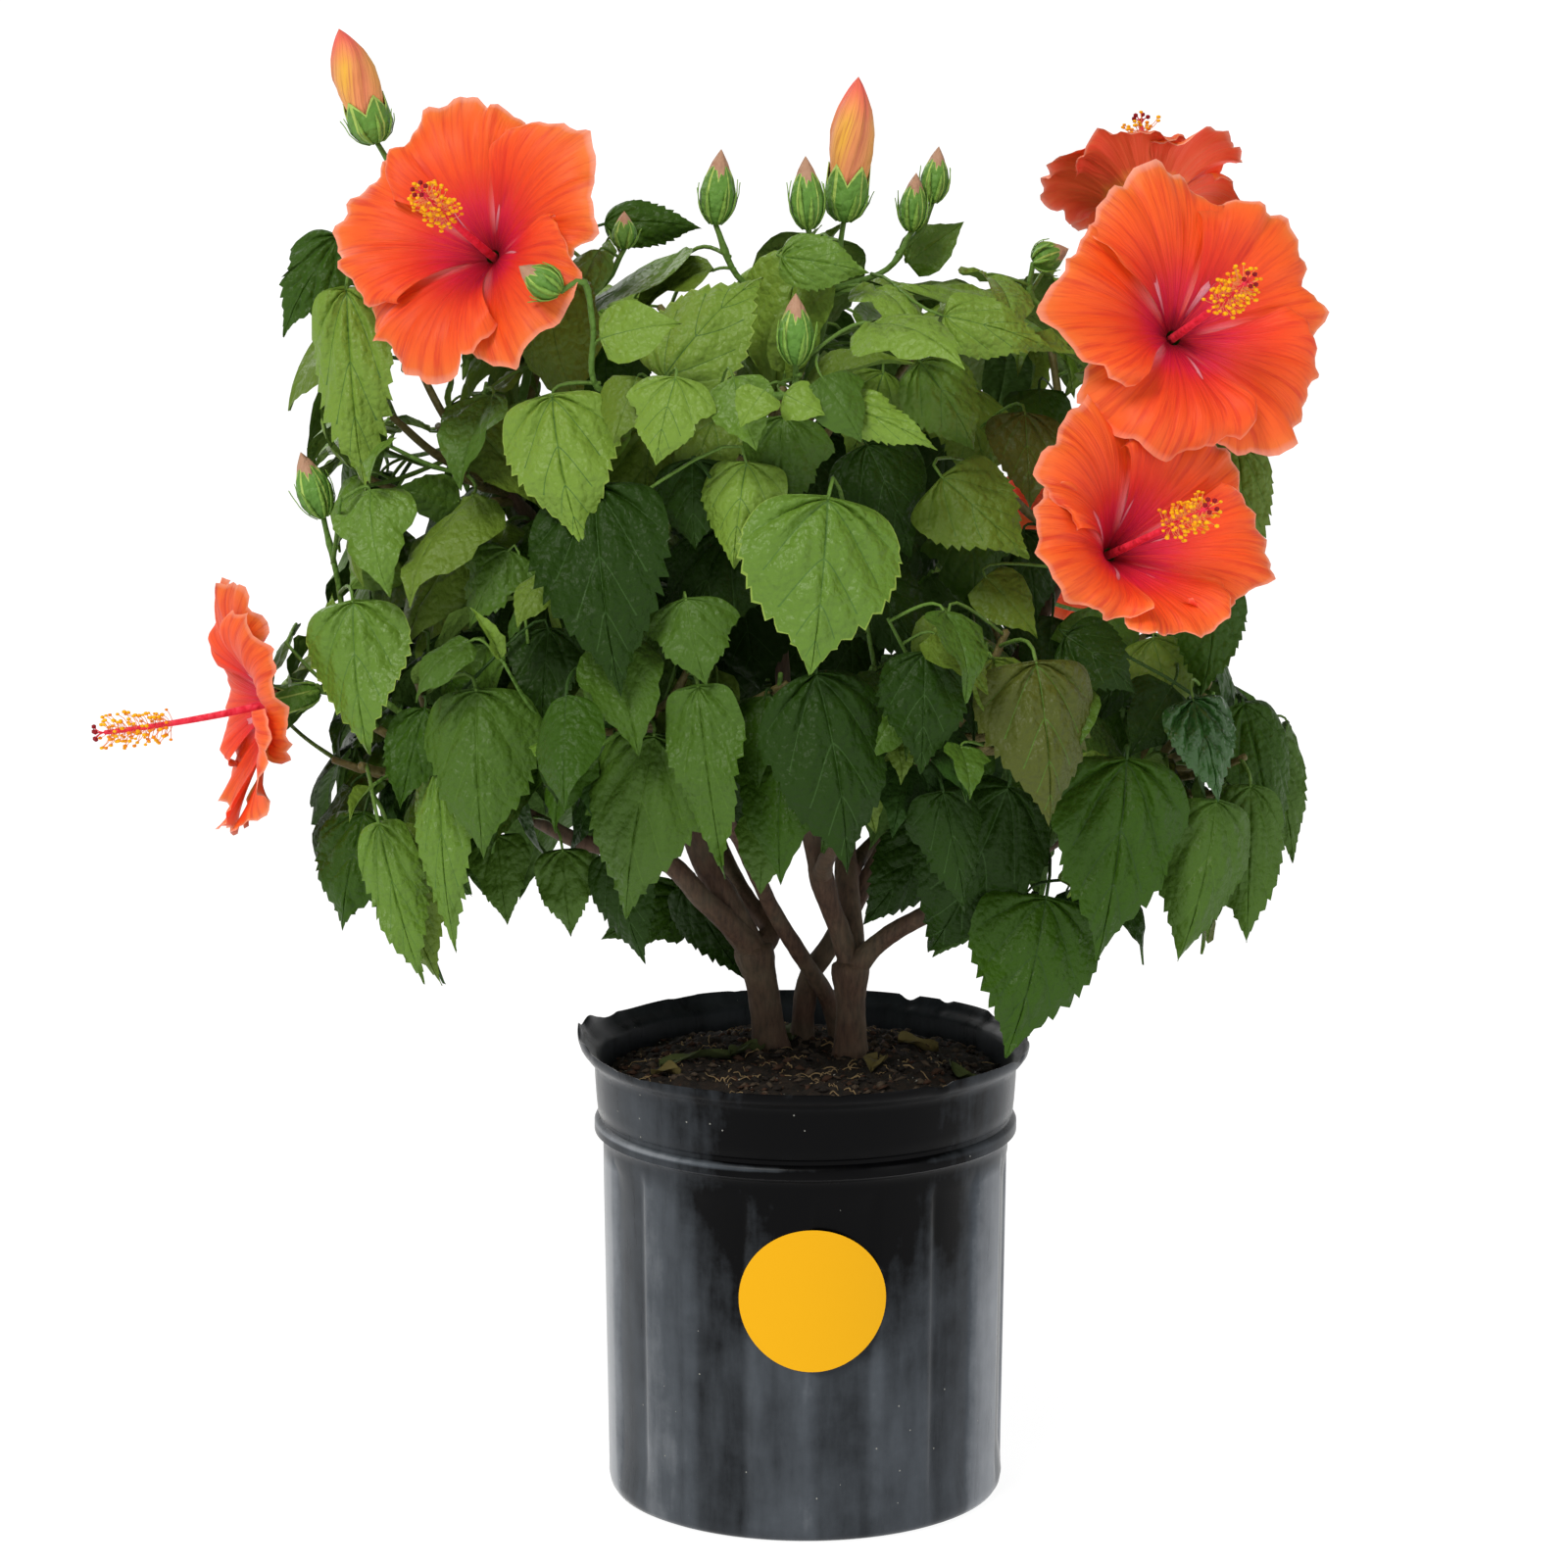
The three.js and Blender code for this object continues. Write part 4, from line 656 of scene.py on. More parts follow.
def nearest_twig(mass, place):
    """The point of a mass's twigs nearest to a place, and the twig's radius there."""
    best = None
    for a, b, radius, owner, bloom in zip(*SEGMENTS.values()):
        if owner != mass["name"] or bloom:
            continue
        for t in (0.1, 0.4, 0.7):
            point = a * (1 - t) + b * t
            gap = size(point - place) + 0.4 * max(0.0, point[2] - place[2])
            if best is None or gap < best[0]:
                best = (gap, point, radius)
    return best[1], best[2]


def add_twig(mass, line, radii, kind):
    """Gives a mass one more twig."""
    mass["twigs"].append(dict(line=line, radii=np.array(radii), kind=kind))
    note_segments(line, radii, mass["name"])


for mass in masses.values():
    bough = limbs[mass["bough"]]
    start = bough["end"] + bough["heading"] * CLEARANCE
    pull = start + bough["heading"] * (0.45 * size(mass["middle"] - start))
    mass["stem"] = bend(start, pull, mass["middle"], 3)
    mass["stem"][0] = start + bough["heading"] * STEM_START
    thick = bough["radii"][-1]
    add_twig(mass, np.vstack([start, mass["stem"]]), [thick, *np.linspace(thick, 0.66 * thick, 4)], "stem")


def grow_stalk(mass, base, heading, radius, way=()):
    """A shoot that carries a bloom or a bud ends in its stalk, which may hook over by a way of points."""
    point, thick = nearest_twig(mass, way[0] if way else base - heading * 30)
    reach = size(base - point)
    pull = way[0] if way else base - heading * (0.42 * reach)
    root = point - unit(pull - point) * (0.4 * thick)
    steps = max(2, int(math.floor(reach / 45 + 0.5)))
    line = np.array([root, *way, base]) if way else bend(root, pull, base, steps)
    add_twig(mass, line, np.linspace(min(thick, SHOOT_RADIUS), radius, len(line)), "stalk")
    if reach > 60:
        mass["lines"].append(line)


def corolla_points(flower, angles, u, lift):
    """Places on the open petals, at u from throat to rim, round the flower's axis."""
    radius = flower["radius"] * (0.05 + 0.95 * u)
    rise = flower["depth"] * (1 - (1 - u) ** 2.2) - 0.1 * flower["radius"] * u ** 5 + lift
    out = np.cos(angles)[..., None] * flower["across"] + np.sin(angles)[..., None] * flower["third"]
    return flower["base"] + out * radius[..., None] + rise[..., None] * flower["facing"]


RIM_OF_PETAL = [(-0.36, 0.95), (0, 1), (0.36, 0.95), (0.5, 0.72)]
INNER_OF_PETAL = [(0, 0.45), (0.5, 0.4)]


def corolla_shape(flower, thickness):
    """The points of the room that an open flower takes up."""
    step = 2 * math.pi / PETALS
    turns = [flower["turn"] + i * step for i in range(PETALS)]
    spots = [(turn + t * step, u, 0.0) for turn in turns for t, u in RIM_OF_PETAL]
    hearts = []
    for lift in (thickness / 2, -thickness / 2):
        spots += [(turn + t * step, u, lift) for turn in turns for t, u in INNER_OF_PETAL]
        hearts.append(flower["base"] + flower["facing"] * lift)
    angles, u, lifts = np.array(spots).T
    points = corolla_points(flower, angles, u, lifts)
    rim, inner = 4 * PETALS, 2 * PETALS
    return np.vstack([points[:rim + inner], hearts[0], points[rim + inner:], hearts[1]])


def corolla_faces():
    """The triangles of a flower's room: its rim, its inner ring and its heart, on both sides."""
    rim_count, inner_count = 4 * PETALS, 2 * PETALS
    faces = []
    for i in range(PETALS):
        for side in (0, 1):
            inner = rim_count + side * (inner_count + 1)
            heart = inner + inner_count
            petal, notch = inner + 2 * i, inner + 2 * i + 1
            before = inner + (2 * i + inner_count - 1) % inner_count
            after = inner + (2 * i + 2) % inner_count
            rim = [(4 * i + k + rim_count) % rim_count for k in (-1, 0, 1, 2, 3)]
            faces += [(heart, petal, notch), (heart, notch, after), (before, rim[0], petal),
                      (petal, rim[4], notch)]
            faces += [(petal, rim[k], rim[k + 1]) for k in range(4)]
    return np.array(faces)


COROLLA_FACES = corolla_faces()
for name, at, facing, radius, depth, column, turn in FLOWERS:
    facing = unit(np.array(facing))
    across = square(UP, facing)
    flower = dict(base=seen(*at), facing=facing, across=across, third=np.cross(facing, across),
                  radius=radius, depth=depth, column=column, turn=turn, mass=name)
    foot = flower["base"] - facing * CALYX_LENGTH
    grow_stalk(masses[name], foot, facing, 2)
    masses[name]["flowers"].append(flower)
    note_blade(triangle_set(corolla_shape(flower, COROLLA_THICKNESS), COROLLA_FACES))
    note_segments([foot, flower["base"] + facing * column], [9], name, bloom=True)
    note_sight(flower["base"], 0.8 * radius)
    note_sight(flower["base"] + facing * depth, 0.96 * radius)

for name, base, tip, depth, radius, tall, way in BUDS:
    base, tip = seen(*base, depth), seen(*tip, depth)
    grow_stalk(masses[name], base, unit(tip - base), 1.8, [seen(*point) for point in way])
    masses[name]["buds"].append(dict(base=base, tip=tip, radius=radius, tall=tall))
    note_segments([base, tip], [radius], name, bloom=True)
    note_sight(0.5 * (base + tip), 0.5 * size(tip - base) + 3)

# Shoots by rule: round the stem by the golden angle, out to the mass's reach, and
# shorter at each try that meets something
SHOOT_TRIES = 5
SHORTER = 0.84
CELL_ROOM = 6
for mass in masses.values():
    draw = draw_from(mass["seed"])
    middle = mass["middle"]
    outward = unit(np.array([middle[0], middle[1], 0.35 * (middle[2] - CROWN_MIDDLE[2])]))
    turn = next(draw) * 2 * math.pi
    for k in range(mass["shoots"]):
        height = 0.95 - 1.05 * (k + 0.5) / mass["shoots"]
        angle = turn + k * GOLDEN_ANGLE
        flat = math.sqrt(1 - height * height)
        around = np.array([flat * math.cos(angle), flat * math.sin(angle), height])
        way = unit(around + outward * (0.5 + 0.3 * next(draw)))
        share = 0.1 + 0.85 * (mass["shoots"] - k) / mass["shoots"]
        start = mass["stem"][2] * (1 - share) + mass["stem"][3] * share
        reach = 0.55 + 0.3 * next(draw)
        for attempt in range(SHOOT_TRIES):
            end = middle + way * mass["reach"] * reach
            pull = start * 0.45 + end * 0.55 - UP * (0.16 * size(end - start))
            line = bend(start, pull, end, 2)
            radii = np.linspace(SHOOT_RADIUS, SHOOT_TIP_RADIUS, 3)
            free = all(segment_free(a, b, r, mass["name"], TWIG_TO_TWIG)
                       for a, b, r in zip(line, line[1:], radii))
            if free and all(inside_crown(p) and inside_cell(mass, p, CELL_ROOM) for p in line[1:]):
                add_twig(mass, line, radii, "shoot")
                mass["lines"].append(line)
                break
            reach *= SHORTER
    mass["lines"].append(mass["stem"])


def try_leaf(mass, leaf, root, ruled, young=0.0, tone=None):
    """Adds a leaf if its blade and its petiole are clear of all that is placed."""
    shape = triangle_set(blade_shape(leaf, LEAF_ROOM_THICKNESS, LEAF_MARGIN), BLADE_FACES)
    if not clear_of_pot(shape["points"]).all():
        return False
    if ruled and not inside_crown(shape["points"]).all():
        return False
    if ruled and hides_sight(shape["points"]):
        return False
    if not blade_free(shape):
        return False
    stalk = root * 0.8 + leaf["base"] * 0.2
    if not segment_free(stalk, leaf["base"], PETIOLE_RADIUS, mass["name"], PETIOLE_TO_TWIG):
        return False
    mass["blades"].append(dict(leaf, root=root, young=young, key=not ruled, tone=tone))
    note_blade(shape)
    note_segments([stalk, leaf["base"]], [PETIOLE_RADIUS], mass["name"])
    return True


DEPTH_SHIFTS = [0, -12, 12, -24, 24, -38, 38]
KEY_ARCH = 0.06
KEY_FOLD = -0.22
KEY_SIGHT = 0.24


def place_read_leaf(row, shifts):
    """A leaf read from the photograph takes the first free depth along its sight line."""
    name, base_at, tip_at, width, tone = row
    mass = masses[f"{name}_foliage"]
    for shift in shifts:
        base = seen(base_at[0], base_at[1], base_at[2] + shift)
        tip = seen(tip_at[0], tip_at[1], tip_at[2] + shift)
        face = np.array([0.25 * np.sign(base[0]), -1, 0.35])
        leaf = leaf_from(base, tip, face, width, KEY_ARCH, KEY_FOLD)
        point, thick = nearest_twig(mass, base + np.array([0, 25, 5]))
        root = point - unit(base - point) * (0.3 * thick)
        if try_leaf(mass, leaf, root, False, tone=tone):
            return base * 0.6 + tip * 0.4, leaf["length"]
    return None


for row in KEY_LEAVES:
    placed = place_read_leaf(row, DEPTH_SHIFTS)
    if placed:
        note_sight(placed[0], KEY_SIGHT * placed[1])

# Leaves by rule: each leaves a shoot at a drawn place, faces out of the crown
# and hangs more the lower it grows. A leaf that crowds or meets another hangs
# further down or is skipped. As a mass fills up, the room between leaves
# shrinks and the leaves get smaller.
LEAF_SEED = 100
TRIES = 3000
DROOPS = [0, 0.7, 1.6]
CROWDED = 46.0
TIGHTEST = 22.0
LEAF_LENGTH = 116.0
YOUNG_FROM = 0.8
YOUNG_SHARE = 0.57
LATE_SHARE = 0.6
PETIOLE = (16.0, 50.0)
HEART = CROWN_MIDDLE - np.array([0, 0, 110.0])
HIGH_LEAVES = 700.0
LOW_LEAVES = 420.0


def try_ruled_leaf(mass, draw, share, scale=1.0):
    """Draws one leaf by the rule and adds it where it has room."""
    line = mass["lines"][int(next(draw) * len(mass["lines"]))]
    t = 0.12 + 0.88 * math.sqrt(next(draw))
    steps = len(line) - 1
    cell = min(int(t * steps), steps - 1)
    weight = t * steps - cell
    origin = line[cell] * (1 - weight) + line[cell + 1] * weight
    along = unit(line[cell + 1] - line[cell])
    around = spoke(*square_pair(along), 2 * math.pi * next(draw))
    out = unit(origin - HEART)
    way = unit(around * [1, 1, 0.6] + out * [0.5, 0.5, 0.2])
    young = 1 - (1 - YOUNG_SHARE) * max(0.0, t - YOUNG_FROM) / (1 - YOUNG_FROM)
    length = LEAF_LENGTH * young * (0.84 + 0.3 * next(draw)) * (1 + (LATE_SHARE - 1) * share) * scale
    base = origin + way * ((PETIOLE[0] + (PETIOLE[1] - PETIOLE[0]) * next(draw)) * scale)
    low = min(1.0, max(0.0, (HIGH_LEAVES - base[2]) / (HIGH_LEAVES - LOW_LEAVES)))
    swing = np.array([next(draw) - 0.5, next(draw) - 0.5, 0])
    face = out * 0.9 + UP * 0.75 + np.array([next(draw) - 0.5, next(draw) - 0.5, 0]) * 0.8
    width = length * (0.62 + 0.12 * next(draw))
    arch = 0.05 + 0.06 * next(draw)
    fold = 0.7 * (next(draw) - 0.6)
    room = (CROWDED + (TIGHTEST - CROWDED) * share) * scale
    hearts = np.array(BLADES["heart"])
    for droop in DROOPS:
        hang = 0.42 + 0.6 * low + droop
        lean = way * 0.4 + out * np.array([0.4, 0.4, 0.15]) - UP * hang + swing * 0.7
        tip = base + unit(lean) * length
        middle = base * 0.55 + tip * 0.45
        if (np.linalg.norm(hearts - middle, axis=1) < room).any():
            continue
        if try_leaf(mass, leaf_from(base, tip, face, width, arch, fold), origin, True, 1 - young):
            return True
    return False


for mass in masses.values():
    draw = draw_from(mass["seed"] + LEAF_SEED)
    for attempt in range(TRIES):
        if len(mass["blades"]) >= mass["leaves"]:
            break
        try_ruled_leaf(mass, draw, attempt / TRIES)

# Pot: a blow-moulded nursery pot of black HDPE with ten broad ribs between as
# many shallow flutes, a bead and a collar under a thin uneven lip.
FOOT_RADIUS = 109.0
BODY_BOTTOM = 115.0
BODY_TOP = 117.5
BEAD_RADIUS = 122.5
COLLAR_RADIUS = 122.0
RIBS = 10
RIB_TURN = math.radians(-7.3)
FLUTE_DEPTH = 2.4
STEPS_PER_RIB = 40
# Radius and height of each ring, from the underside up the outside, over the
# lip and down the inside
POT_RINGS = [
    (70, 1.2), (100, 1.2), (103, 0), (FOOT_RADIUS, 0), (112.4, 1.6), (114.2, 4.4), (BODY_BOTTOM, 9),
    (BODY_BOTTOM, 16), (115.2, 30), (115.6, 60), (116.1, 95), (116.6, 130), (117.0, 160), (117.4, 188),
    (BODY_TOP, 198), (BODY_TOP, 204), (BODY_TOP, 208), (118.0, 212), (120.4, 214.2), (BEAD_RADIUS, 215.4),
    (BEAD_RADIUS, 220.4), (121.8, 221.8), (119.4, 223.2), (119.2, 225.4), (120.4, 226.6), (121.2, 234),
    (COLLAR_RADIUS, 246), (122.2, 252), (122.8, 255.2), (124.6, 257.4), (127.6, 259.6), (129.2, 262),
    (130.0, 265.2), (129.6, 266.4), (128.6, 266.0), (127.2, 263.4), (124.6, 260.6), (121.6, 259),
    (119.6, 256), (119.2, 240), (117.6, 224), (115.5, 210), (113.2, 120), (111.0, 8), (90, 4),
]
deselect()
bpy.ops.mesh.primitive_circle_add(vertices=RIBS * STEPS_PER_RIB, radius=POT_RINGS[0][0] * MM,
                                  fill_type="NGON", location=(0, 0, POT_RINGS[0][1] * MM))
pot = bpy.context.object
pot.name = "nursery_pot"
bpy.ops.object.transform_apply(location=True, rotation=True, scale=True)
bpy.ops.object.mode_set(mode="EDIT")
bpy.ops.mesh.select_all(action="SELECT")
for (radius, height), (wider, higher) in zip(POT_RINGS, POT_RINGS[1:]):
    bpy.ops.mesh.extrude_region_move(TRANSFORM_OT_translate={"value": (0, 0, (higher - height) * MM)})
    bpy.ops.transform.resize(value=(wider / radius, wider / radius, 1))
bpy.ops.object.mode_set(mode="OBJECT")


def waves(angle, seed, first, last, fade):
    """Slow uneven waves round a circle, about 1 high, the same for one seed."""
    draw = draw_from(seed)
    total = np.zeros_like(angle)
    for count in range(first, last + 1):
        total += (next(draw) - 0.5) * 2 / count ** fade * np.sin(count * angle + 6.283 * next(draw))
    return total


LIP_FROM = 254.0
LIP_SEED = 31
spots = np.empty(len(pot.data.vertices) * 3)
pot.data.vertices.foreach_get("co", spots)
spots = spots.reshape(-1, 3) / MM
radius = np.hypot(spots[:, 0], spots[:, 1])
angle = np.arctan2(spots[:, 0], -spots[:, 1])
outer = radius > 114.6
arch = 4 * np.clip(np.cos(RIBS * (angle - RIB_TURN)), -1, 0)
within = np.clip((spots[:, 2] - 12) / 12, 0, 1) * np.clip((205 + arch - spots[:, 2]) / 7, 0, 1)
press = FLUTE_DEPTH * (0.5 - 0.5 * np.clip(5.0 * np.cos(RIBS * (angle - RIB_TURN)), -1, 1))
radius = radius - np.where(outer, press * within, 0)
# The whole pot is a little out of round, and its lip rises, falls and tears
radius = radius * (1 + 0.0025 * np.sin(2 * angle + 0.8) * np.clip(spots[:, 2] / 260, 0, 1))
lift = np.clip((spots[:, 2] - LIP_FROM) / 12, 0, 1) ** 1.5
flange = waves(angle, LIP_SEED, 2, 9, 0.7)
torn = np.clip(waves(angle, LIP_SEED + 1, 9, 40, 0.5) - 0.25, 0, None)
left_flap = np.exp(-((angle + 1.62) / 0.34) ** 2)
spots[:, 2] += lift * (1.3 * flange - 2.6 * torn + 6.5 * left_flap * (1 + 0.35 * np.sin(23 * angle)))
radius += lift * (1.1 * waves(angle, LIP_SEED + 2, 3, 12, 0.7) - 0.9 * torn + 2.2 * left_flap)
spots[:, 0] = radius * np.sin(angle)
spots[:, 1] = -radius * np.cos(angle)
pot.data.vertices.foreach_set("co", (spots * MM).ravel())
pot.data.update()

deselect()
pot.select_set(True)
bpy.context.view_layer.objects.active = pot
bpy.ops.object.mode_set(mode="EDIT")
bpy.ops.mesh.select_all(action="SELECT")
bpy.ops.mesh.normals_make_consistent(inside=False)
bpy.ops.object.mode_set(mode="OBJECT")
bpy.ops.object.shade_smooth_by_angle(angle=math.radians(50))


def set_ramp(ramp, rows):
    """Gives a colour ramp its stops, each a position and an sRGB hex colour."""
    stops = ramp.color_ramp.elements
    for position, code in rows[1:-1]:
        stops.new(position)
    for stop, (position, code) in zip(stops, rows):
        stop.position = position
        stop.color = linear(code)


# Dusty black HDPE: a soft gloss, greyed by fine dust, rubbed up and down in streaks, with pale specks of
# dried soil; painted shade darkens the front and the flutes, and painted highlights and reflections lighten
# the rib edges, the sides and the bead
# Middle and reach of the painted shade on the front below the collar
PAINTED_SHADE_AT = (0.02, -0.117, 0.222)
PAINTED_SHADE_REACH = (0.066, 0.08, 0.078)
plastic, tree, shader = new_material("black HDPE, blow-moulded and dusty", IOR=1.5, Specular_IOR_Level=0.08,
                                     Sheen_Weight=0.4, Sheen_Roughness=0.24)
place = add_node(tree, "ShaderNodeTexCoord")
upright = add_node(tree, "ShaderNodeMapping", {"Vector": place.outputs["Object"]}, Scale=(1.0, 1.0, 0.16))
dust = add_node(tree, "ShaderNodeTexNoise", {"Vector": place.outputs["Object"]}, Scale=16.0, Detail=8.0,
                Roughness=0.68)
streaks = add_node(tree, "ShaderNodeTexNoise", {"Vector": upright.outputs["Vector"]}, Scale=90.0,
                   Detail=5.0, Roughness=0.55)
# Dust gathers towards the foot, where water has splashed
low = add_node(tree, "ShaderNodeSeparateXYZ", {"Vector": place.outputs["Object"]})
splash = add_node(tree, "ShaderNodeMapRange", {"Value": low.outputs["Z"]}, From_Min=0.02, From_Max=0.26,
                  To_Min=0.04, To_Max=-0.05)
# Painted shade: the front, below the collar, is darkened to black in a ragged patch, standing in for the
# shade of the leaves above and a dark reflection
near = add_node(tree, "ShaderNodeMapping", {"Vector": place.outputs["Object"]}, Location=PAINTED_SHADE_AT,
                Scale=PAINTED_SHADE_REACH, vector_type="TEXTURE")
far = add_node(tree, "ShaderNodeVectorMath", {0: near.outputs["Vector"]}, operation="LENGTH")
ragged_front_shade = add_node(tree, "ShaderNodeMath", {0: dust.outputs["Fac"], 1: 0.5, 2: far.outputs["Value"]},
                  operation="MULTIPLY_ADD")
painted_front_shade = add_node(tree, "ShaderNodeMapRange", {"Value": ragged_front_shade.outputs[0]}, From_Min=0.5, From_Max=1.8,
                 To_Min=-0.34, To_Max=0.0)
dust_and_painted_light = add_node(tree, "ShaderNodeMath", {0: splash.outputs["Result"], 1: painted_front_shade.outputs["Result"]},
                   operation="ADD")
# Painted highlights lighten the edges of the ribs, unevenly with the dust, and painted shade darkens the
# flutes between them
across = add_node(tree, "ShaderNodeMath", {0: low.outputs["X"], 1: low.outputs["Y"]}, operation="ARCTAN2")
around = add_node(tree, "ShaderNodeMath", {0: across.outputs[0], 1: RIBS, 2: RIBS * RIB_TURN},
                  operation="MULTIPLY_ADD")
rib_wave = add_node(tree, "ShaderNodeMath", {0: around.outputs[0]}, operation="COSINE")
painted_flute_shade = add_node(tree, "ShaderNodeMapRange", {"Value": rib_wave.outputs[0]}, From_Min=-0.4,
                 From_Max=0.3, To_Min=-0.09, To_Max=0.02)
from_edge = add_node(tree, "ShaderNodeMath", {0: rib_wave.outputs[0]}, operation="ABSOLUTE")
edge = add_node(tree, "ShaderNodeMapRange", {"Value": from_edge.outputs[0]}, From_Min=0.04,
                From_Max=0.5, To_Min=0.1, To_Max=0.0)
rib_highlight_and_flute_shade = add_node(tree, "ShaderNodeMath", {0: edge.outputs["Result"], 1: dust.outputs["Fac"],
                                         2: painted_flute_shade.outputs["Result"]}, operation="MULTIPLY_ADD")
below_bead = add_node(tree, "ShaderNodeMapRange", {"Value": low.outputs["Z"]}, From_Min=0.198,
                      From_Max=0.207, To_Min=1.0, To_Max=0.0)
# Painted reflection lightens the ribs at both sides, the proud ones most, as the white surround shows on
# them at a glancing angle; a painted highlight runs along the upper edge of the bead at the left
beside = add_node(tree, "ShaderNodeMath", {0: low.outputs["X"]}, operation="ABSOLUTE")
painted_side_reflection = add_node(tree, "ShaderNodeMapRange", {"Value": beside.outputs[0]}, From_Min=0.07,
                   From_Max=0.118, To_Min=0.0, To_Max=0.36)
proud_rib_reflection = add_node(tree, "ShaderNodeMapRange", {"Value": rib_wave.outputs[0]}, From_Min=-0.9,
                 From_Max=0.7, To_Min=0.35, To_Max=1.0)
ribs_and_painted_light = add_node(tree, "ShaderNodeMath", {0: painted_side_reflection.outputs["Result"], 1: proud_rib_reflection.outputs["Result"],
                                          2: rib_highlight_and_flute_shade.outputs[0]}, operation="MULTIPLY_ADD")
# Painted highlight: a pale line along the upper edge of the bead, strongest at the left
bead_height = add_node(tree, "ShaderNodeMath", {0: low.outputs["Z"], 1: 0.2208}, operation="SUBTRACT")
bead_off = add_node(tree, "ShaderNodeMath", {0: bead_height.outputs[0]}, operation="ABSOLUTE")
painted_bead_highlight = add_node(tree, "ShaderNodeMapRange", {"Value": bead_off.outputs[0]}, From_Min=0.0006,
                     From_Max=0.0022, To_Min=0.34, To_Max=0.0)
bead_highlight_left = add_node(tree, "ShaderNodeMapRange", {"Value": low.outputs["X"]}, From_Min=-0.1,
                      From_Max=0.08, To_Min=1.0, To_Max=0.15)
dust_and_painted_light = add_node(tree, "ShaderNodeMath", {0: painted_bead_highlight.outputs["Result"], 1: bead_highlight_left.outputs["Result"],
                                            2: dust_and_painted_light.outputs[0]}, operation="MULTIPLY_ADD")
# Wear and dust together with the painted shade, highlights and reflections, then the streaks on top
wear_dust_and_painted_light = add_node(tree, "ShaderNodeMath", {0: ribs_and_painted_light.outputs[0], 1: below_bead.outputs["Result"],
                                         2: dust_and_painted_light.outputs[0]}, operation="MULTIPLY_ADD")
dusted_with_painted_light = add_node(tree, "ShaderNodeMath", {0: dust.outputs["Fac"], 1: 0.36, 2: wear_dust_and_painted_light.outputs[0]},
                  operation="MULTIPLY_ADD")
grime_and_painted_light = add_node(tree, "ShaderNodeMath", {0: streaks.outputs["Fac"], 1: 0.26, 2: dusted_with_painted_light.outputs[0]},
                 operation="MULTIPLY_ADD")
tone = add_node(tree, "ShaderNodeValToRGB", {"Fac": grime_and_painted_light.outputs[0]})
set_ramp(tone, [(0.12, "#020203"), (0.42, "#474C52"), (0.72, "#8A8E94")])
specks = add_node(tree, "ShaderNodeTexVoronoi", {"Vector": place.outputs["Object"]}, Scale=150.0)
speck_share = add_node(tree, "ShaderNodeMath", {0: specks.outputs["Distance"], 1: 0.07},
                       operation="LESS_THAN")
rare = add_node(tree, "ShaderNodeSeparateColor", {"Color": specks.outputs["Color"]})
rare_share = add_node(tree, "ShaderNodeMath", {0: rare.outputs[0], 1: 0.86}, operation="GREATER_THAN")
speck_mask = add_node(tree, "ShaderNodeMath", {0: speck_share.outputs[0], 1: rare_share.outputs[0]},
                      operation="MULTIPLY")
skin = add_node(tree, "ShaderNodeMix", {0: speck_mask.outputs[0], 6: tone.outputs["Color"],
                7: linear("#8C8C86")}, data_type="RGBA")
tree.links.new(skin.outputs[2], shader.inputs["Base Color"])
rub = add_node(tree, "ShaderNodeMapRange", {"Value": streaks.outputs["Fac"]}, From_Min=0.3,
               From_Max=0.7, To_Min=0.24, To_Max=0.4)
tree.links.new(rub.outputs["Result"], shader.inputs["Roughness"])
bump = add_node(tree, "ShaderNodeBump", {"Height": grime_and_painted_light.outputs[0]}, Strength=0.25, Distance=0.0006)
tree.links.new(bump.outputs["Normal"], shader.inputs["Normal"])
pot.data.materials.append(plastic)
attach(pot, "root")
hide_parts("pot")


# Round label on the pot's front: a bare disc of yellow vinyl, stuck over the
# flutes, 83 mm across.
LABEL_RADIUS = 41.5
LABEL_GAP = 0.35
LABEL_THICKNESS = 0.18
LABEL_SIDES = 96
LABEL_RINGS = 8
label_at = seen(829, 1328, -117)
deselect()
bpy.ops.mesh.primitive_circle_add(vertices=LABEL_SIDES, radius=LABEL_RADIUS * MM, fill_type="NGON",
                                  location=(0, 0, 0), rotation=(math.pi / 2, 0, 0))
label = bpy.context.object
label.name = "round_label"
bpy.ops.object.transform_apply(location=True, rotation=True, scale=True)
bpy.ops.object.mode_set(mode="EDIT")
bpy.ops.mesh.select_all(action="SELECT")
for ring in range(LABEL_RINGS - 1):
    bpy.ops.mesh.inset(thickness=LABEL_RADIUS / LABEL_RINGS * MM, depth=0)
bpy.ops.mesh.select_all(action="SELECT")
bpy.ops.mesh.extrude_region_move(TRANSFORM_OT_translate={"value": (0, -LABEL_THICKNESS * MM, 0)})
bpy.ops.mesh.select_all(action="SELECT")
bpy.ops.mesh.normals_make_consistent(inside=False)
bpy.ops.object.mode_set(mode="OBJECT")
body = np.array(POT_RINGS[6:17], float)
for vertex in label.data.vertices:
    x, y, z = np.array(vertex.co) / MM
    high = label_at[2] + z
    wall = np.interp(high, body[:, 1], body[:, 0]) + LABEL_GAP - y
    vertex.co = np.array([label_at[0] + x, -math.sqrt(wall ** 2 - (label_at[0] + x) ** 2), high]) * MM
label.data.update()
deselect()
label.select_set(True)
bpy.context.view_layer.objects.active = label
bpy.ops.object.shade_smooth_by_angle(angle=math.radians(40))
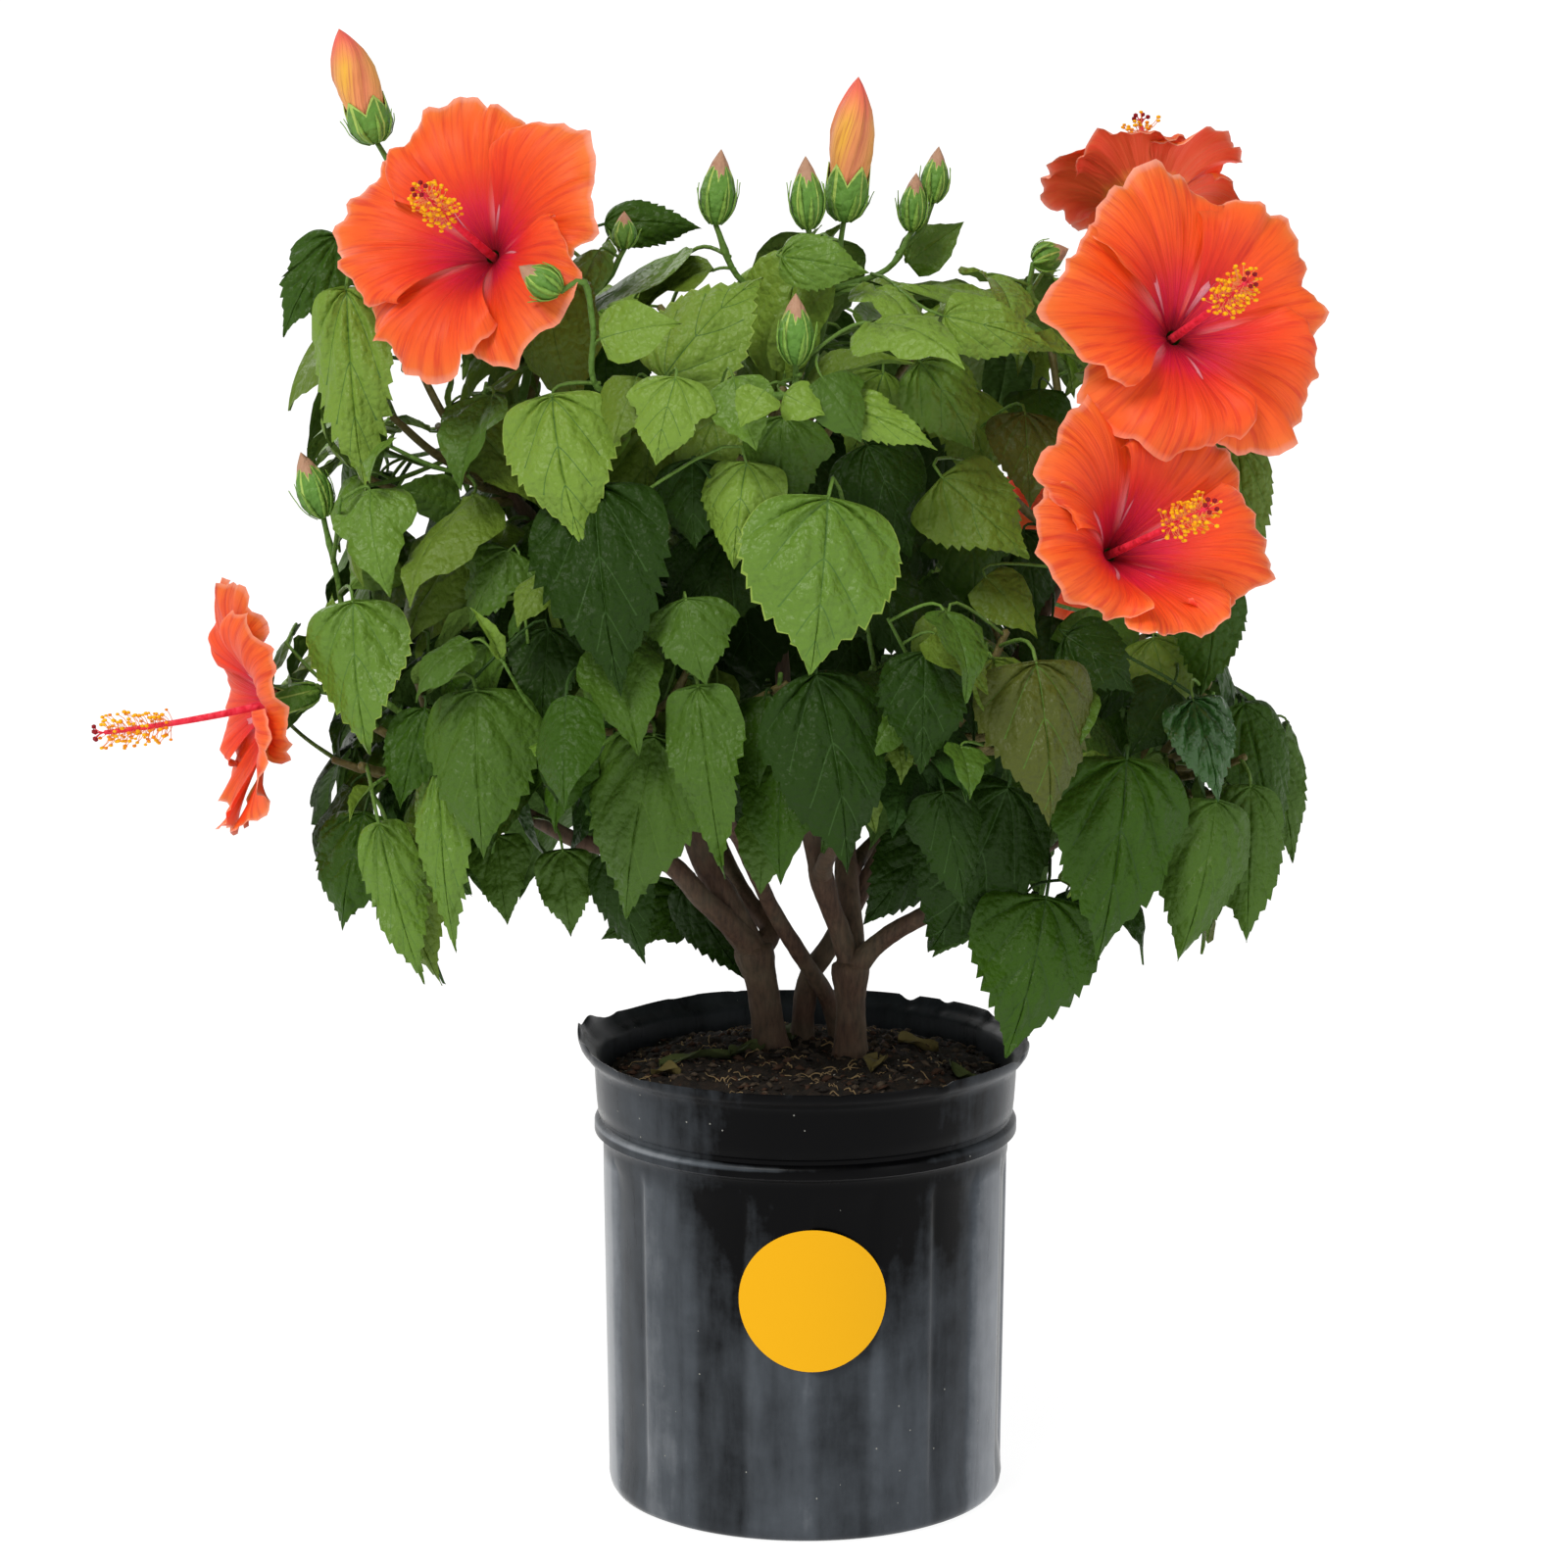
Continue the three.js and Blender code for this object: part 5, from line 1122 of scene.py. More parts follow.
# Yellow vinyl: an even printed colour under a satin film with a faint grain
vinyl, tree, shader = new_material("yellow vinyl, satin film", Base_Color=linear("#E2A60A"), Roughness=0.42,
                                   Specular_IOR_Level=0.12)
place = add_node(tree, "ShaderNodeTexCoord")
grain = add_node(tree, "ShaderNodeTexNoise", {"Vector": place.outputs["Object"]}, Scale=700.0, Detail=2.0)
bump = add_node(tree, "ShaderNodeBump", {"Height": grain.outputs["Fac"]}, Strength=0.08, Distance=0.0002)
tree.links.new(bump.outputs["Normal"], shader.inputs["Normal"])
label.data.materials.append(vinyl)
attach(label, "root")


# Soil: a peat and bark-chip mix that fills the pot, crumbly, mounded round the
# stems, with rootlets, chips, white specks and a few fallen leaf scraps on it.
def rough(points, wave, seed, count=9):
    """Uneven bumps about 1 high and one wave long, in millimetres, in any direction."""
    draw = draw_from(seed)
    total = np.zeros(points.shape[:-1])
    for _ in range(count):
        way = unit(np.array([next(draw) - 0.5, next(draw) - 0.5, next(draw) - 0.5]))
        length = wave * (0.6 + 0.9 * next(draw))
        total += np.sin(points @ way * (2 * math.pi / length) + 2 * math.pi * next(draw))
    return total / math.sqrt(count)


def bunch():
    """An empty heap of shapes that are joined into one piece."""
    return dict(points=[], faces=[], slots=[], count=0)


def add_shape(heap, points, faces, slots):
    """Adds points and faces to a heap, with each face's material slot."""
    heap["points"].append(points)
    heap["faces"].append(faces + heap["count"])
    heap["slots"].append(np.broadcast_to(slots, len(faces)))
    heap["count"] += len(points)


def make_piece(name, heap, materials):
    """One piece of the scene from a heap of shapes, smooth, in metres."""
    mesh = bpy.data.meshes.new(name)
    points = np.concatenate(heap["points"]) * MM
    faces = [face for block in heap["faces"] for face in block.tolist()]
    mesh.from_pydata(points.tolist(), [], faces)
    for material in materials:
        mesh.materials.append(material)
    mesh.polygons.foreach_set("material_index", np.concatenate(heap["slots"]).astype(np.int32))
    mesh.polygons.foreach_set("use_smooth", np.ones(len(faces), bool))
    mesh.update()
    piece = bpy.data.objects.new(name, mesh)
    bpy.context.scene.collection.objects.link(piece)
    return piece


def grid_faces(rows, columns, closed=False):
    """Quads of a grid of rows by columns; closed joins the last column to the first."""
    wide = columns if closed else columns - 1
    i, j = np.meshgrid(np.arange(rows - 1), np.arange(wide), indexing="ij")
    i, j = i.ravel(), j.ravel()
    k = (j + 1) % columns
    low, high = i * columns, (i + 1) * columns
    return np.stack([low + j, low + k, high + k, high + j], axis=1)


def respaced(values, count):
    """Values spaced evenly along a line, read off at another count of points."""
    return np.interp(np.linspace(0, 1, count), np.linspace(0, 1, len(values)), values)


def add_fan(heap, start, count, tip, slot, flipped=False):
    """Triangles from a closed ring of points, whose first is at start, to one tip."""
    j = start + np.arange(count)
    k = start + (np.arange(count) + 1) % count
    ring = (k, j) if flipped else (j, k)
    heap["faces"].append(np.stack([*ring, np.full(count, tip)], axis=1))
    heap["slots"].append(np.full(count, slot))


def frames_along(line):
    """Directions along a line and two square to it that don't twist."""
    along = np.gradient(line, axis=0)
    along /= np.linalg.norm(along, axis=1)[:, None]
    first, _ = square_pair(along[0])
    firsts = []
    for way in along:
        first = square(first, way)
        firsts.append(first)
    firsts = np.array(firsts)
    return along, firsts, np.cross(along, firsts)


def add_tube(heap, line, radii, sides, slot):
    """A round tube along a line, closed by a blunt point at each end."""
    along, first, second = frames_along(line)
    turn = np.arange(sides) / sides * 2 * math.pi
    ring = np.cos(turn)[None, :, None] * first[:, None] + np.sin(turn)[None, :, None] * second[:, None]
    radii = np.asarray(radii, float)
    thick = radii[:, None] if radii.ndim == 1 else radii
    points = line[:, None] + ring * thick[..., None]
    rows = len(line)
    ends = np.array([line[0] - along[0] * 0.4 * thick[0, 0], line[-1] + along[-1] * 0.6 * thick[-1, 0]])
    base = heap["count"]
    add_shape(heap, np.vstack([points.reshape(-1, 3), ends]), grid_faces(rows, sides, closed=True), slot)
    peak = base + rows * sides
    add_fan(heap, base, sides, peak, slot, flipped=True)
    add_fan(heap, peak - sides, sides, peak + 1, slot)


SOIL_RADIUS = 114.5
SOIL_FOOT_RADIUS = 110
SOIL_FOOT = 6.0
SOIL_RINGS = 64
SOIL_SIDES = 180
SOIL_SEED = 51


def soil_height(x, y):
    """Height of the soil's surface, without its crumbs."""
    radius = np.hypot(x, y)
    level = np.interp(radius, [0, 60, 74, 92, SOIL_RADIUS], [SOIL_LEVEL, SOIL_LEVEL, 255, 250, 243.5])
    flat = np.stack([x, y, 0 * x], axis=-1)
    return level + 1.4 * rough(flat, 38, SOIL_SEED) + 0.5 * rough(flat, 15, SOIL_SEED + 1)


heap = bunch()
turn = np.arange(SOIL_SIDES) / SOIL_SIDES * 2 * math.pi
out = SOIL_RADIUS * (np.arange(1, SOIL_RINGS + 1) / SOIL_RINGS)
x, y = out[:, None] * np.cos(turn), out[:, None] * np.sin(turn)
crumb = np.stack([x, y, 0 * x], axis=-1)
z = soil_height(x, y) + 1.6 * np.abs(rough(crumb, 9, SOIL_SEED + 2))
z = z + 0.8 * np.abs(rough(crumb, 4, SOIL_SEED + 3))
top = np.stack([x, y, z], axis=-1).reshape(-1, 3)
middle = np.array([[0, 0, SOIL_LEVEL + 0.5]])
low = np.array([[SOIL_FOOT_RADIUS * math.cos(t), SOIL_FOOT_RADIUS * math.sin(t), SOIL_FOOT] for t in turn])
foot = np.array([[0, 0, SOIL_FOOT]])
rings = SOIL_RINGS * SOIL_SIDES
quads = grid_faces(SOIL_RINGS + 1, SOIL_SIDES, closed=True)[:, ::-1]
add_shape(heap, np.vstack([top, low, middle, foot]), quads, 0)
add_fan(heap, 0, SOIL_SIDES, rings + SOIL_SIDES, 0)
add_fan(heap, rings, SOIL_SIDES, rings + SOIL_SIDES + 1, 0, flipped=True)
# Dark peat: crumbs from black to rusty brown, matt and damp between them
peat, tree, shader = new_material("peat and bark mix, crumbly and damp", Roughness=0.88)
place = add_node(tree, "ShaderNodeTexCoord")
crumbs = add_node(tree, "ShaderNodeTexNoise", {"Vector": place.outputs["Object"]}, Scale=170.0, Detail=8.0,
                  Roughness=0.7)
tone = add_node(tree, "ShaderNodeValToRGB", {"Fac": crumbs.outputs["Fac"]})
set_ramp(tone, [(0.38, "#0F0B08"), (0.68, "#33251A")])
tree.links.new(tone.outputs["Color"], shader.inputs["Base Color"])
bump = add_node(tree, "ShaderNodeBump", {"Height": crumbs.outputs["Fac"]}, Strength=1.0, Distance=0.002)
tree.links.new(bump.outputs["Normal"], shader.inputs["Normal"])
soil = make_piece("potting_soil", heap, [peat])
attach(soil, "root")
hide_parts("soil")

# Loose things on the soil: chips of bark and crumbs, pale rootlets, white
# specks and scraps of fallen leaves, each lying on the surface.
CHIP_COLOURS = [
    ("bark chip, dark brown", "#1E150F"), ("bark chip, rusty brown", "#432A1A"),
    ("bark chip, weathered grey brown", "#4F4133"), ("perlite, white grain", "#CFCBC2"),
    ("rootlet, pale straw", "#A58B63"), ("leaf scrap, dull green", "#4A5528"),
    ("leaf scrap, dry olive", "#6E6234"),
]
PERLITE, ROOTLET, DULL_SCRAP, DRY_SCRAP = 3, 4, 5, 6
CHIPS = 2600
SPECKS = 190
ROOTLETS = 150
CHIP_CORNERS = np.array([[1, 0, 0], [0.2, 0.9, 0.1], [-0.9, 0.3, -0.1], [-0.3, -0.9, 0.1],
                         [0, 0, 0.9], [0, 0, -0.9]])
CHIP_FACES = np.array([[0, 1, 4], [1, 2, 4], [2, 3, 4], [3, 0, 4],
                       [1, 0, 5], [2, 1, 5], [3, 2, 5], [0, 3, 5]])


def lying(x, y):
    """Height of the soil's surface under one loose thing."""
    return float(soil_height(np.array(x), np.array(y)))


draw = draw_from(SOIL_SEED + 10)
heap = bunch()
for k in range(CHIPS + SPECKS):
    angle = 2 * math.pi * next(draw)
    reach = (SOIL_RADIUS - 2) * math.sqrt(next(draw))
    x, y = reach * math.cos(angle), reach * math.sin(angle)
    long = 0.8 + 4.2 * next(draw) ** 3 if k < CHIPS else 0.6 + 0.9 * next(draw) ** 2
    wide = long * (0.3 + 0.5 * next(draw))
    thick = long * (0.25 + 0.35 * next(draw))
    shape = CHIP_CORNERS * np.array([long, wide, thick])
    spin, tip = 2 * math.pi * next(draw), 0.9 * (next(draw) - 0.5)
    cs, sn = math.cos(spin), math.sin(spin)
    shape = shape + UP * (shape[:, :1] * math.tan(tip))
    along, aside, high = shape.T
    shape = np.stack([cs * along - sn * aside, sn * along + cs * aside, high], axis=1)
    shape = shape + np.array([x, y, lying(x, y) + 0.9 + 0.3 * long])
    kind = PERLITE if k >= CHIPS else int(PERLITE * next(draw))
    add_shape(heap, shape, CHIP_FACES, kind)
for k in range(ROOTLETS):
    angle = 2 * math.pi * next(draw)
    reach = (SOIL_RADIUS - 8) * math.sqrt(next(draw))
    heading = 2 * math.pi * next(draw)
    x, y = reach * math.cos(angle), reach * math.sin(angle)
    length = 5 + 22 * next(draw) ** 2
    line = []
    for step in range(7):
        line.append([x, y, lying(x, y) + 1.2 + 2.4 * next(draw) * (0 < step < 6)])
        heading += 1.5 * (next(draw) - 0.5)
        x += length / 6 * math.cos(heading)
        y += length / 6 * math.sin(heading)
        if math.hypot(x, y) > SOIL_RADIUS - 3:
            break
    if len(line) > 2:
        thick = 0.22 + 0.3 * next(draw)
        add_tube(heap, smooth(np.array(line), 10), np.linspace(thick, 0.5 * thick, 11), 4, ROOTLET)
# Fallen leaf scraps, curled and drying, by the trunks
SCRAPS = [(-62, -14, 46, 17, 0.3), (-34, 2, 30, 13, 0.9), (40, -26, 26, 14, 1.4), (92, -30, 28, 12, 2.2),
          (-80, -36, 20, 10, 2.6), (66, 22, 24, 12, 0.2), (-12, 44, 30, 14, 1.9)]
for x, y, long, wide, heading in SCRAPS:
    u, v = np.meshgrid(np.linspace(-1, 1, 13), np.linspace(-1, 1, 7), indexing="ij")
    spread = v * np.sqrt(np.clip(1.02 - u ** 2, 0, 1)) * wide / 2
    curl = 3.2 * v ** 2 + 1.6 * np.sin(3 * u + x) + 1.2 * np.sin(5 * v + 4 * u)
    cs, sn = math.cos(heading), math.sin(heading)
    px = x + u * long / 2 * cs - spread * sn
    py = y + u * long / 2 * sn + spread * cs
    top = np.stack([px, py, soil_height(px, py) + 3.4 + curl], axis=-1)
    quads = grid_faces(13, 7)
    colour = DULL_SCRAP if long > 27 else DRY_SCRAP
    add_shape(heap, top.reshape(-1, 3), quads[:, (0, 3, 2, 1)], colour)
    add_shape(heap, (top - [0, 0, 0.35]).reshape(-1, 3), quads, colour)


def crumb_material(name, code):
    """Dry matt crumbs with a fine uneven surface."""
    material, tree, shader = new_material(name, Base_Color=linear(code), Roughness=0.85)
    place = add_node(tree, "ShaderNodeTexCoord")
    grain = add_node(tree, "ShaderNodeTexNoise", {"Vector": place.outputs["Object"]}, Scale=900.0,
                     Detail=3.0)
    bump = add_node(tree, "ShaderNodeBump", {"Height": grain.outputs["Fac"]}, Strength=0.6, Distance=0.0005)
    tree.links.new(bump.outputs["Normal"], shader.inputs["Normal"])
    return material


chips = make_piece("soil_crumbs", heap, [crumb_material(name, code) for name, code in CHIP_COLOURS])
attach(chips, "root")


# Trunks and boughs: round woody stems in brown bark with fine upright ridges,
# swollen where a bough leaves and flared at the soil.
BARK_STEP = 2.6
BARK_SIDES = 36
BARK_SEED = 200
RIDGE = 0.32
SWELL = 1.16


def fine_line(limb):
    """The limb's centre line in small steps."""
    route = limb["route"]
    return smooth(route, max(8, int(sum(size(b - a) for a, b in zip(route, route[1:])) / BARK_STEP)))


def bark_radii(line, limb, seed):
    """Radius at each point round and along a limb: ridges, knots and swellings."""
    share = np.linspace(0, 1, len(line))
    base = respaced(limb["radii"], len(line))
    if "foot" in limb:
        reach = np.concatenate([[0], np.cumsum(np.linalg.norm(np.diff(line, axis=0), axis=1))])
        straight = np.linspace(limb["radius"][0], limb["radius"][1], len(line))
        base = straight * (1 + (GROUND_FLARE - 1) * 1.25 * np.exp(-reach / 11))
    turn = np.arange(BARK_SIDES) / BARK_SIDES * 2 * math.pi
    reach = share * sum(np.linalg.norm(np.diff(line, axis=0), axis=1))
    around = np.stack([
        np.cos(turn)[None] * base[:, None],
        np.sin(turn)[None] * base[:, None],
        np.repeat(reach[:, None], BARK_SIDES, axis=1)], axis=-1)
    stretched = around * np.array([1, 1, 0.16])
    ridges = rough(stretched, 3.4, seed, 14) * 0.7
    ridges = ridges + rough(stretched * np.array([1, 1, 2.2]), 2.2, seed + 1, 10) * 0.4
    lumps = 0.035 * rough(around * np.array([1, 1, 0.5]), 24, seed + 2)
    return base[:, None] * (1 + lumps) + RIDGE * ridges * np.clip(base[:, None] / 7, 0.35, 1)


heap = bunch()
for k, limb in enumerate(limbs.values()):
    line = fine_line(limb)
    radii = bark_radii(line, limb, BARK_SEED + 5 * k)
    for child in limbs.values():
        if child.get("parent") == limb["name"] and not child.get("tip"):
            gap = np.linalg.norm(line - child["route"][0], axis=1)
            radii = radii * (1 + (SWELL - 1) * np.exp(-(gap / 11) ** 2))[:, None]
    if limb.get("parent") and not limb.get("tip"):
        reach = np.linalg.norm(line - line[0], axis=1)
        radii = radii * (1 + 0.22 * np.exp(-(reach / 14) ** 2))[:, None]
    add_tube(heap, line, radii, BARK_SIDES, 0)
# Young woody bark: warm brown with darker cracks, paler ridges and a grey bloom
bark, tree, shader = new_material("hibiscus bark, brown and finely ridged", Roughness=0.78)
place = add_node(tree, "ShaderNodeTexCoord")
upright = add_node(tree, "ShaderNodeMapping", {"Vector": place.outputs["Object"]}, Scale=(1.0, 1.0, 0.22))
grain = add_node(tree, "ShaderNodeTexNoise", {"Vector": upright.outputs["Vector"]}, Scale=420.0, Detail=7.0,
                 Roughness=0.65)
patches = add_node(tree, "ShaderNodeTexNoise", {"Vector": place.outputs["Object"]}, Scale=38.0, Detail=4.0)
tone = add_node(tree, "ShaderNodeValToRGB", {"Fac": grain.outputs["Fac"]})
set_ramp(tone, [(0.32, "#241811"), (0.7, "#6E5340")])
wash = add_node(tree, "ShaderNodeValToRGB", {"Fac": patches.outputs["Fac"]})
set_ramp(wash, [(0.4, "#543A2A"), (0.68, "#6E654E")])
blend = add_node(tree, "ShaderNodeMix", {0: 0.42, 6: tone.outputs["Color"], 7: wash.outputs["Color"]},
                 data_type="RGBA")
tree.links.new(blend.outputs[2], shader.inputs["Base Color"])
bump = add_node(tree, "ShaderNodeBump", {"Height": grain.outputs["Fac"]}, Strength=0.7, Distance=0.0009)
tree.links.new(bump.outputs["Normal"], shader.inputs["Normal"])
stems = make_piece("trunks_and_boughs", heap, [bark])
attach(stems, "root")
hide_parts(*limbs)

# More leaves read from the photograph, where it is leafy and the rule left room:
# mass, the pixels of base and tip with their depths, width and green
MORE_LEAVES = [
    ("middle_top", (690, 384, -182), (668, 474, -198), 46, "young"),
    ("middle_top", (748, 384, -184), (768, 462, -198), 38, "bright"),
    ("middle_top", (800, 402, -190), (842, 424, -196), 24, "young"),
    ("middle_top", (780, 398, -186), (756, 436, -196), 26, "young"),
    ("middle_top", (650, 384, -172), (628, 452, -190), 38, "warm"),
    ("middle_top", (838, 384, -172), (880, 450, -184), 38, "mid"),
    ("right_low", (1276, 800, -96), (1262, 962, -112), 46, "mid"),
    ("right_low", (1292, 752, -30), (1324, 880, -44), 40, "mid"),
    ("back_left", (700, 900, 66), (757, 1004, 56), 38, "dark"),
    ("front_left", (624, 868, -96), (656, 985, -108), 38, "dark"),
    ("left_low", (396, 842, -80), (438, 1010, -96), 44, "warm"),
    ("left_low", (506, 852, -66), (520, 944, -80), 34, "mid"),
    ("front_left", (706, 468, -96), (712, 560, -112), 50, "dark"),
    ("middle_top", (700, 470, 20), (714, 572, 10), 56, "dark"),
    ("middle_top", (620, 352, -20), (618, 440, -30), 48, "deep"),
    ("middle_top", (760, 610, -30), (770, 706, -40), 54, "dark"),
    ("front_right", (866, 628, -60), (872, 716, -70), 48, "dark"),
    ("middle_top", (812, 630, 30), (820, 724, 20), 52, "dark"),
    ("middle_top", (826, 436, -30), (838, 530, -44), 58, "dark"),
    ("back_top", (838, 432, 90), (836, 536, 84), 62, "dark"),
    ("back_top", (930, 508, 80), (926, 612, 74), 60, "deep"),
    ("middle_top", (934, 520, -50), (922, 610, -60), 50, "dark"),
    ("right_top", (990, 530, -40), (996, 626, -52), 50, "deep"),
    ("back_top", (768, 560, 90), (772, 664, 84), 58, "dark"),
    ("right_top", (1060, 396, -10), (1064, 478, -20), 44, "deep"),
    ("right_low", (1150, 652, -60), (1122, 742, -72), 46, "dark"),
    ("right_low", (1196, 700, -70), (1150, 770, -84), 40, "dark"),
    ("right_top", (1044, 540, -66), (1056, 634, -78), 44, "dark"),
    ("back_top", (962, 424, 60), (964, 520, 54), 58, "dark"),
    ("middle_top", (738, 652, -20), (744, 740, -30), 52, "dark"),
    ("left_top", (548, 470, 20), (540, 560, 10), 50, "dark"),
    ("left_low", (346, 716, -52), (390, 840, -64), 52, "dark"),
    ("right_low", (1120, 616, -40), (1136, 700, -52), 50, "mid"),
    ("right_low", (1180, 622, -30), (1176, 700, -40), 46, "dark"),
    ("right_top", (1074, 628, -40), (1060, 712, -52), 46, "dark"),
    ("back_top", (800, 470, 60), (812, 452, 128), 60, "deep"),
    ("middle_top", (850, 470, 30), (868, 455, 96), 56, "mid"),
    ("back_top", (760, 470, 70), (742, 452, 130), 56, "mid"),
    ("middle_top", (800, 500, 10), (790, 490, 70), 54, "deep"),
    ("back_top", (870, 480, 80), (892, 470, 142), 54, "dark"),
    ("back_right", (950, 500, 60), (972, 490, 122), 54, "deep"),
]
for row in MORE_LEAVES:
    place_read_leaf(row, [*DEPTH_SHIFTS, -54, 54, 72, 90])

# Leafy side twigs close the crown's middle, dark behind the bright leaves
CLOSING = [(700, 500, 90), (760, 560, 120), (820, 600, 140), (880, 600, 120), (790, 480, 130),
           (870, 480, 120), (930, 560, 110), (700, 600, 120), (640, 500, 110), (620, 400, 60),
           (760, 660, 100), (840, 680, 110), (900, 690, 110), (960, 640, 110), (660, 680, 110)]
CLOSING_SEED = 380
CLOSING_LEAVES = 9
CLOSING_SPREAD = 70
draw = draw_from(CLOSING_SEED)
for at in CLOSING:
    end = seen(*at)
    mass = min(masses.values(), key=lambda near: size(near["middle"] - end))
    point, thick = nearest_twig(mass, end)
    reach = size(end - point)
    twig = bend(point, point * 0.5 + end * 0.5 + UP * (0.1 * reach), end, 2)
    if reach > 14 and all(segment_free(a, b, 1.5, mass["name"], 2) for a, b in zip(twig, twig[1:])):
        add_twig(mass, twig, np.linspace(1.6, 1.1, 3), "fine")
        mass["lines"].append(twig)
    root = end * 0.8 + point * 0.2
    for k in range(CLOSING_LEAVES):
        spread = np.array([next(draw) - 0.5, 0.7 * (next(draw) - 0.7), 0.5 * (next(draw) - 0.4)])
        base = end + spread * CLOSING_SPREAD
        tip = base + np.array([60 * (next(draw) - 0.5), 30 * (next(draw) - 0.5), -60 - 36 * next(draw)])
        length = size(tip - base)
        face = np.array([0.6 * (next(draw) - 0.5), -1, 0.2])
        leaf = leaf_from(base, tip, face, length * (0.66 + 0.1 * next(draw)), 0.06, -0.2)
        try_leaf(mass, leaf, root, True, tone="dark" if next(draw) < 0.6 else "deep")

# Finer twigs and leaves by the same rule: side twigs leave the shoots, and
# smaller leaves fill the crown's outside as far as its reach allows.
FINE_SEED = 400
FINE_TWIGS = 16
FINE_RADIUS = 1.5
FINE_TIP_RADIUS = 1.0
for mass in masses.values():
    draw = draw_from(mass["seed"] + FINE_SEED)
    shoots = [line for line in mass["lines"] if len(line) > 2]
    for k in range(FINE_TWIGS):
        line = shoots[int(next(draw) * len(shoots))]
        place = (0.35 + 0.6 * next(draw)) * (len(line) - 1)
        cell = min(int(place), len(line) - 2)
        start = line[cell] + (line[cell + 1] - line[cell]) * (place - cell)
        along = unit(line[cell + 1] - line[cell])
        around = square(np.array([next(draw) - 0.5, next(draw) - 0.5, next(draw) - 0.4]), along)
        out = unit(start - HEART)
        reach = 45 + 40 * next(draw)
        end = start + unit(around + 0.7 * along + 0.5 * out) * reach
        twig = bend(start, start * 0.5 + end * 0.5 - UP * 0.08 * reach, end, 2)
        if not inside_crown(twig[1:]).all():
            continue
        if all(segment_free(a, b, FINE_RADIUS, mass["name"], 3) for a, b in zip(twig, twig[1:])):
            add_twig(mass, twig, np.linspace(FINE_RADIUS, FINE_TIP_RADIUS, 3), "fine")
            mass["lines"].append(twig)

# A tuft of small young leaves opens at the tip of each shoot and fine twig
TUFT_SEED = 550
TUFT_LEAVES = 5
for mass in masses.values():
    draw = draw_from(mass["seed"] + TUFT_SEED)
    for twig in mass["twigs"]:
        if twig["kind"] not in ("shoot", "fine"):
            continue
        tip = twig["line"][-1]
        along = unit(tip - twig["line"][-2])
        first, second = square_pair(along)
        turn = 2 * math.pi * next(draw)
        for k in range(TUFT_LEAVES):
            out = spoke(first, second, turn + k * GOLDEN_ANGLE)
            length = 24 + 9 * k + 10 * next(draw)
            way = unit(along * (1.3 - 0.22 * k) + out * (0.45 + 0.16 * k) + UP * 0.15)
            base = tip - along * (2 + 5 * k) + way * (4 + 2.5 * k)
            face = out * -0.8 + UP * 0.6 + along * 0.5
            width = length * (0.36 + 0.06 * k)
            leaf = leaf_from(base, base + way * length, face, width, 0.08, 0.55 - 0.1 * k)
            try_leaf(mass, leaf, tip - along * (3 + 5 * k), True, 0.8)

# Last, smaller leaves fill what room is left
INFILL_SEED = 700
INFILL_TRIES = 1500
INFILL_LEAVES = 52
for mass in masses.values():
    draw = draw_from(mass["seed"] + INFILL_SEED)
    wanted = len(mass["blades"]) + INFILL_LEAVES
    for attempt in range(INFILL_TRIES):
        if len(mass["blades"]) >= wanted:
            break
        scale = 0.9 - 0.42 * attempt / INFILL_TRIES
        try_ruled_leaf(mass, draw, 0.35, scale)


# Where the photograph is open to the sky, by pixel and radius in pixels, leaves
# and fine twigs of the rule are left out, and so are leaves before a leaf that
# is read from the photograph.
OPEN_SKY = [
    (290, 800, 40), (318, 800, 20), (1340, 720, 34), (312, 548, 34), (316, 606, 20), (680, 256, 22),
    (857, 300, 20), (788, 288, 16), (742, 262, 16), (672, 262, 20), (1172, 992, 18), (456, 960, 14),
    (1296, 700, 26), (1268, 798, 14), (1312, 520, 30), (430, 482, 26), (1335, 470, 50),
    (1338, 560, 62), (1330, 650, 60), (1360, 740, 36), (1300, 690, 22), (1368, 800, 24),
    (258, 800, 52), (262, 880, 46), (300, 760, 14), (278, 560, 30), (270, 480, 36), (268, 620, 26),
    (1010, 250, 38), (1050, 272, 20), (968, 262, 16), (676, 254, 24), (767, 244, 26),
    (857, 304, 24), (897, 215, 34), (786, 286, 16), (405, 400, 26), (416, 470, 22), (440, 520, 18),
    (1186, 944, 24), (441, 962, 9), (533, 889, 8), (1083, 191, 30), (1276, 799, 8), (1016, 442, 10),
    (622, 262, 12), (495, 934, 10), (1146, 733, 9), (589, 924, 9),
]


def pixel_of(points):
    """Where the photograph's camera sees some points, as pixels."""
    way = points - EYE
    deep = way[:, 1] * math.cos(PITCH) - way[:, 2] * math.sin(PITCH)
    high = way[:, 1] * math.sin(PITCH) + way[:, 2] * math.cos(PITCH)
    return np.stack([FRAME_MIDDLE + FOCAL_PIXELS * way[:, 0] / deep,
                     FRAME_MIDDLE - FOCAL_PIXELS * high / deep], axis=1)


def in_open_sky(points, share):
    """Whether at least this share of some points is seen where the photograph is open."""
    inside = np.linalg.norm(pixel_of(points)[:, None] - holes[None, :, :2], axis=2) < holes[:, 2]
    return (inside & (points[:, 1:2] < holes[:, 3])).any(axis=1).mean() >= share


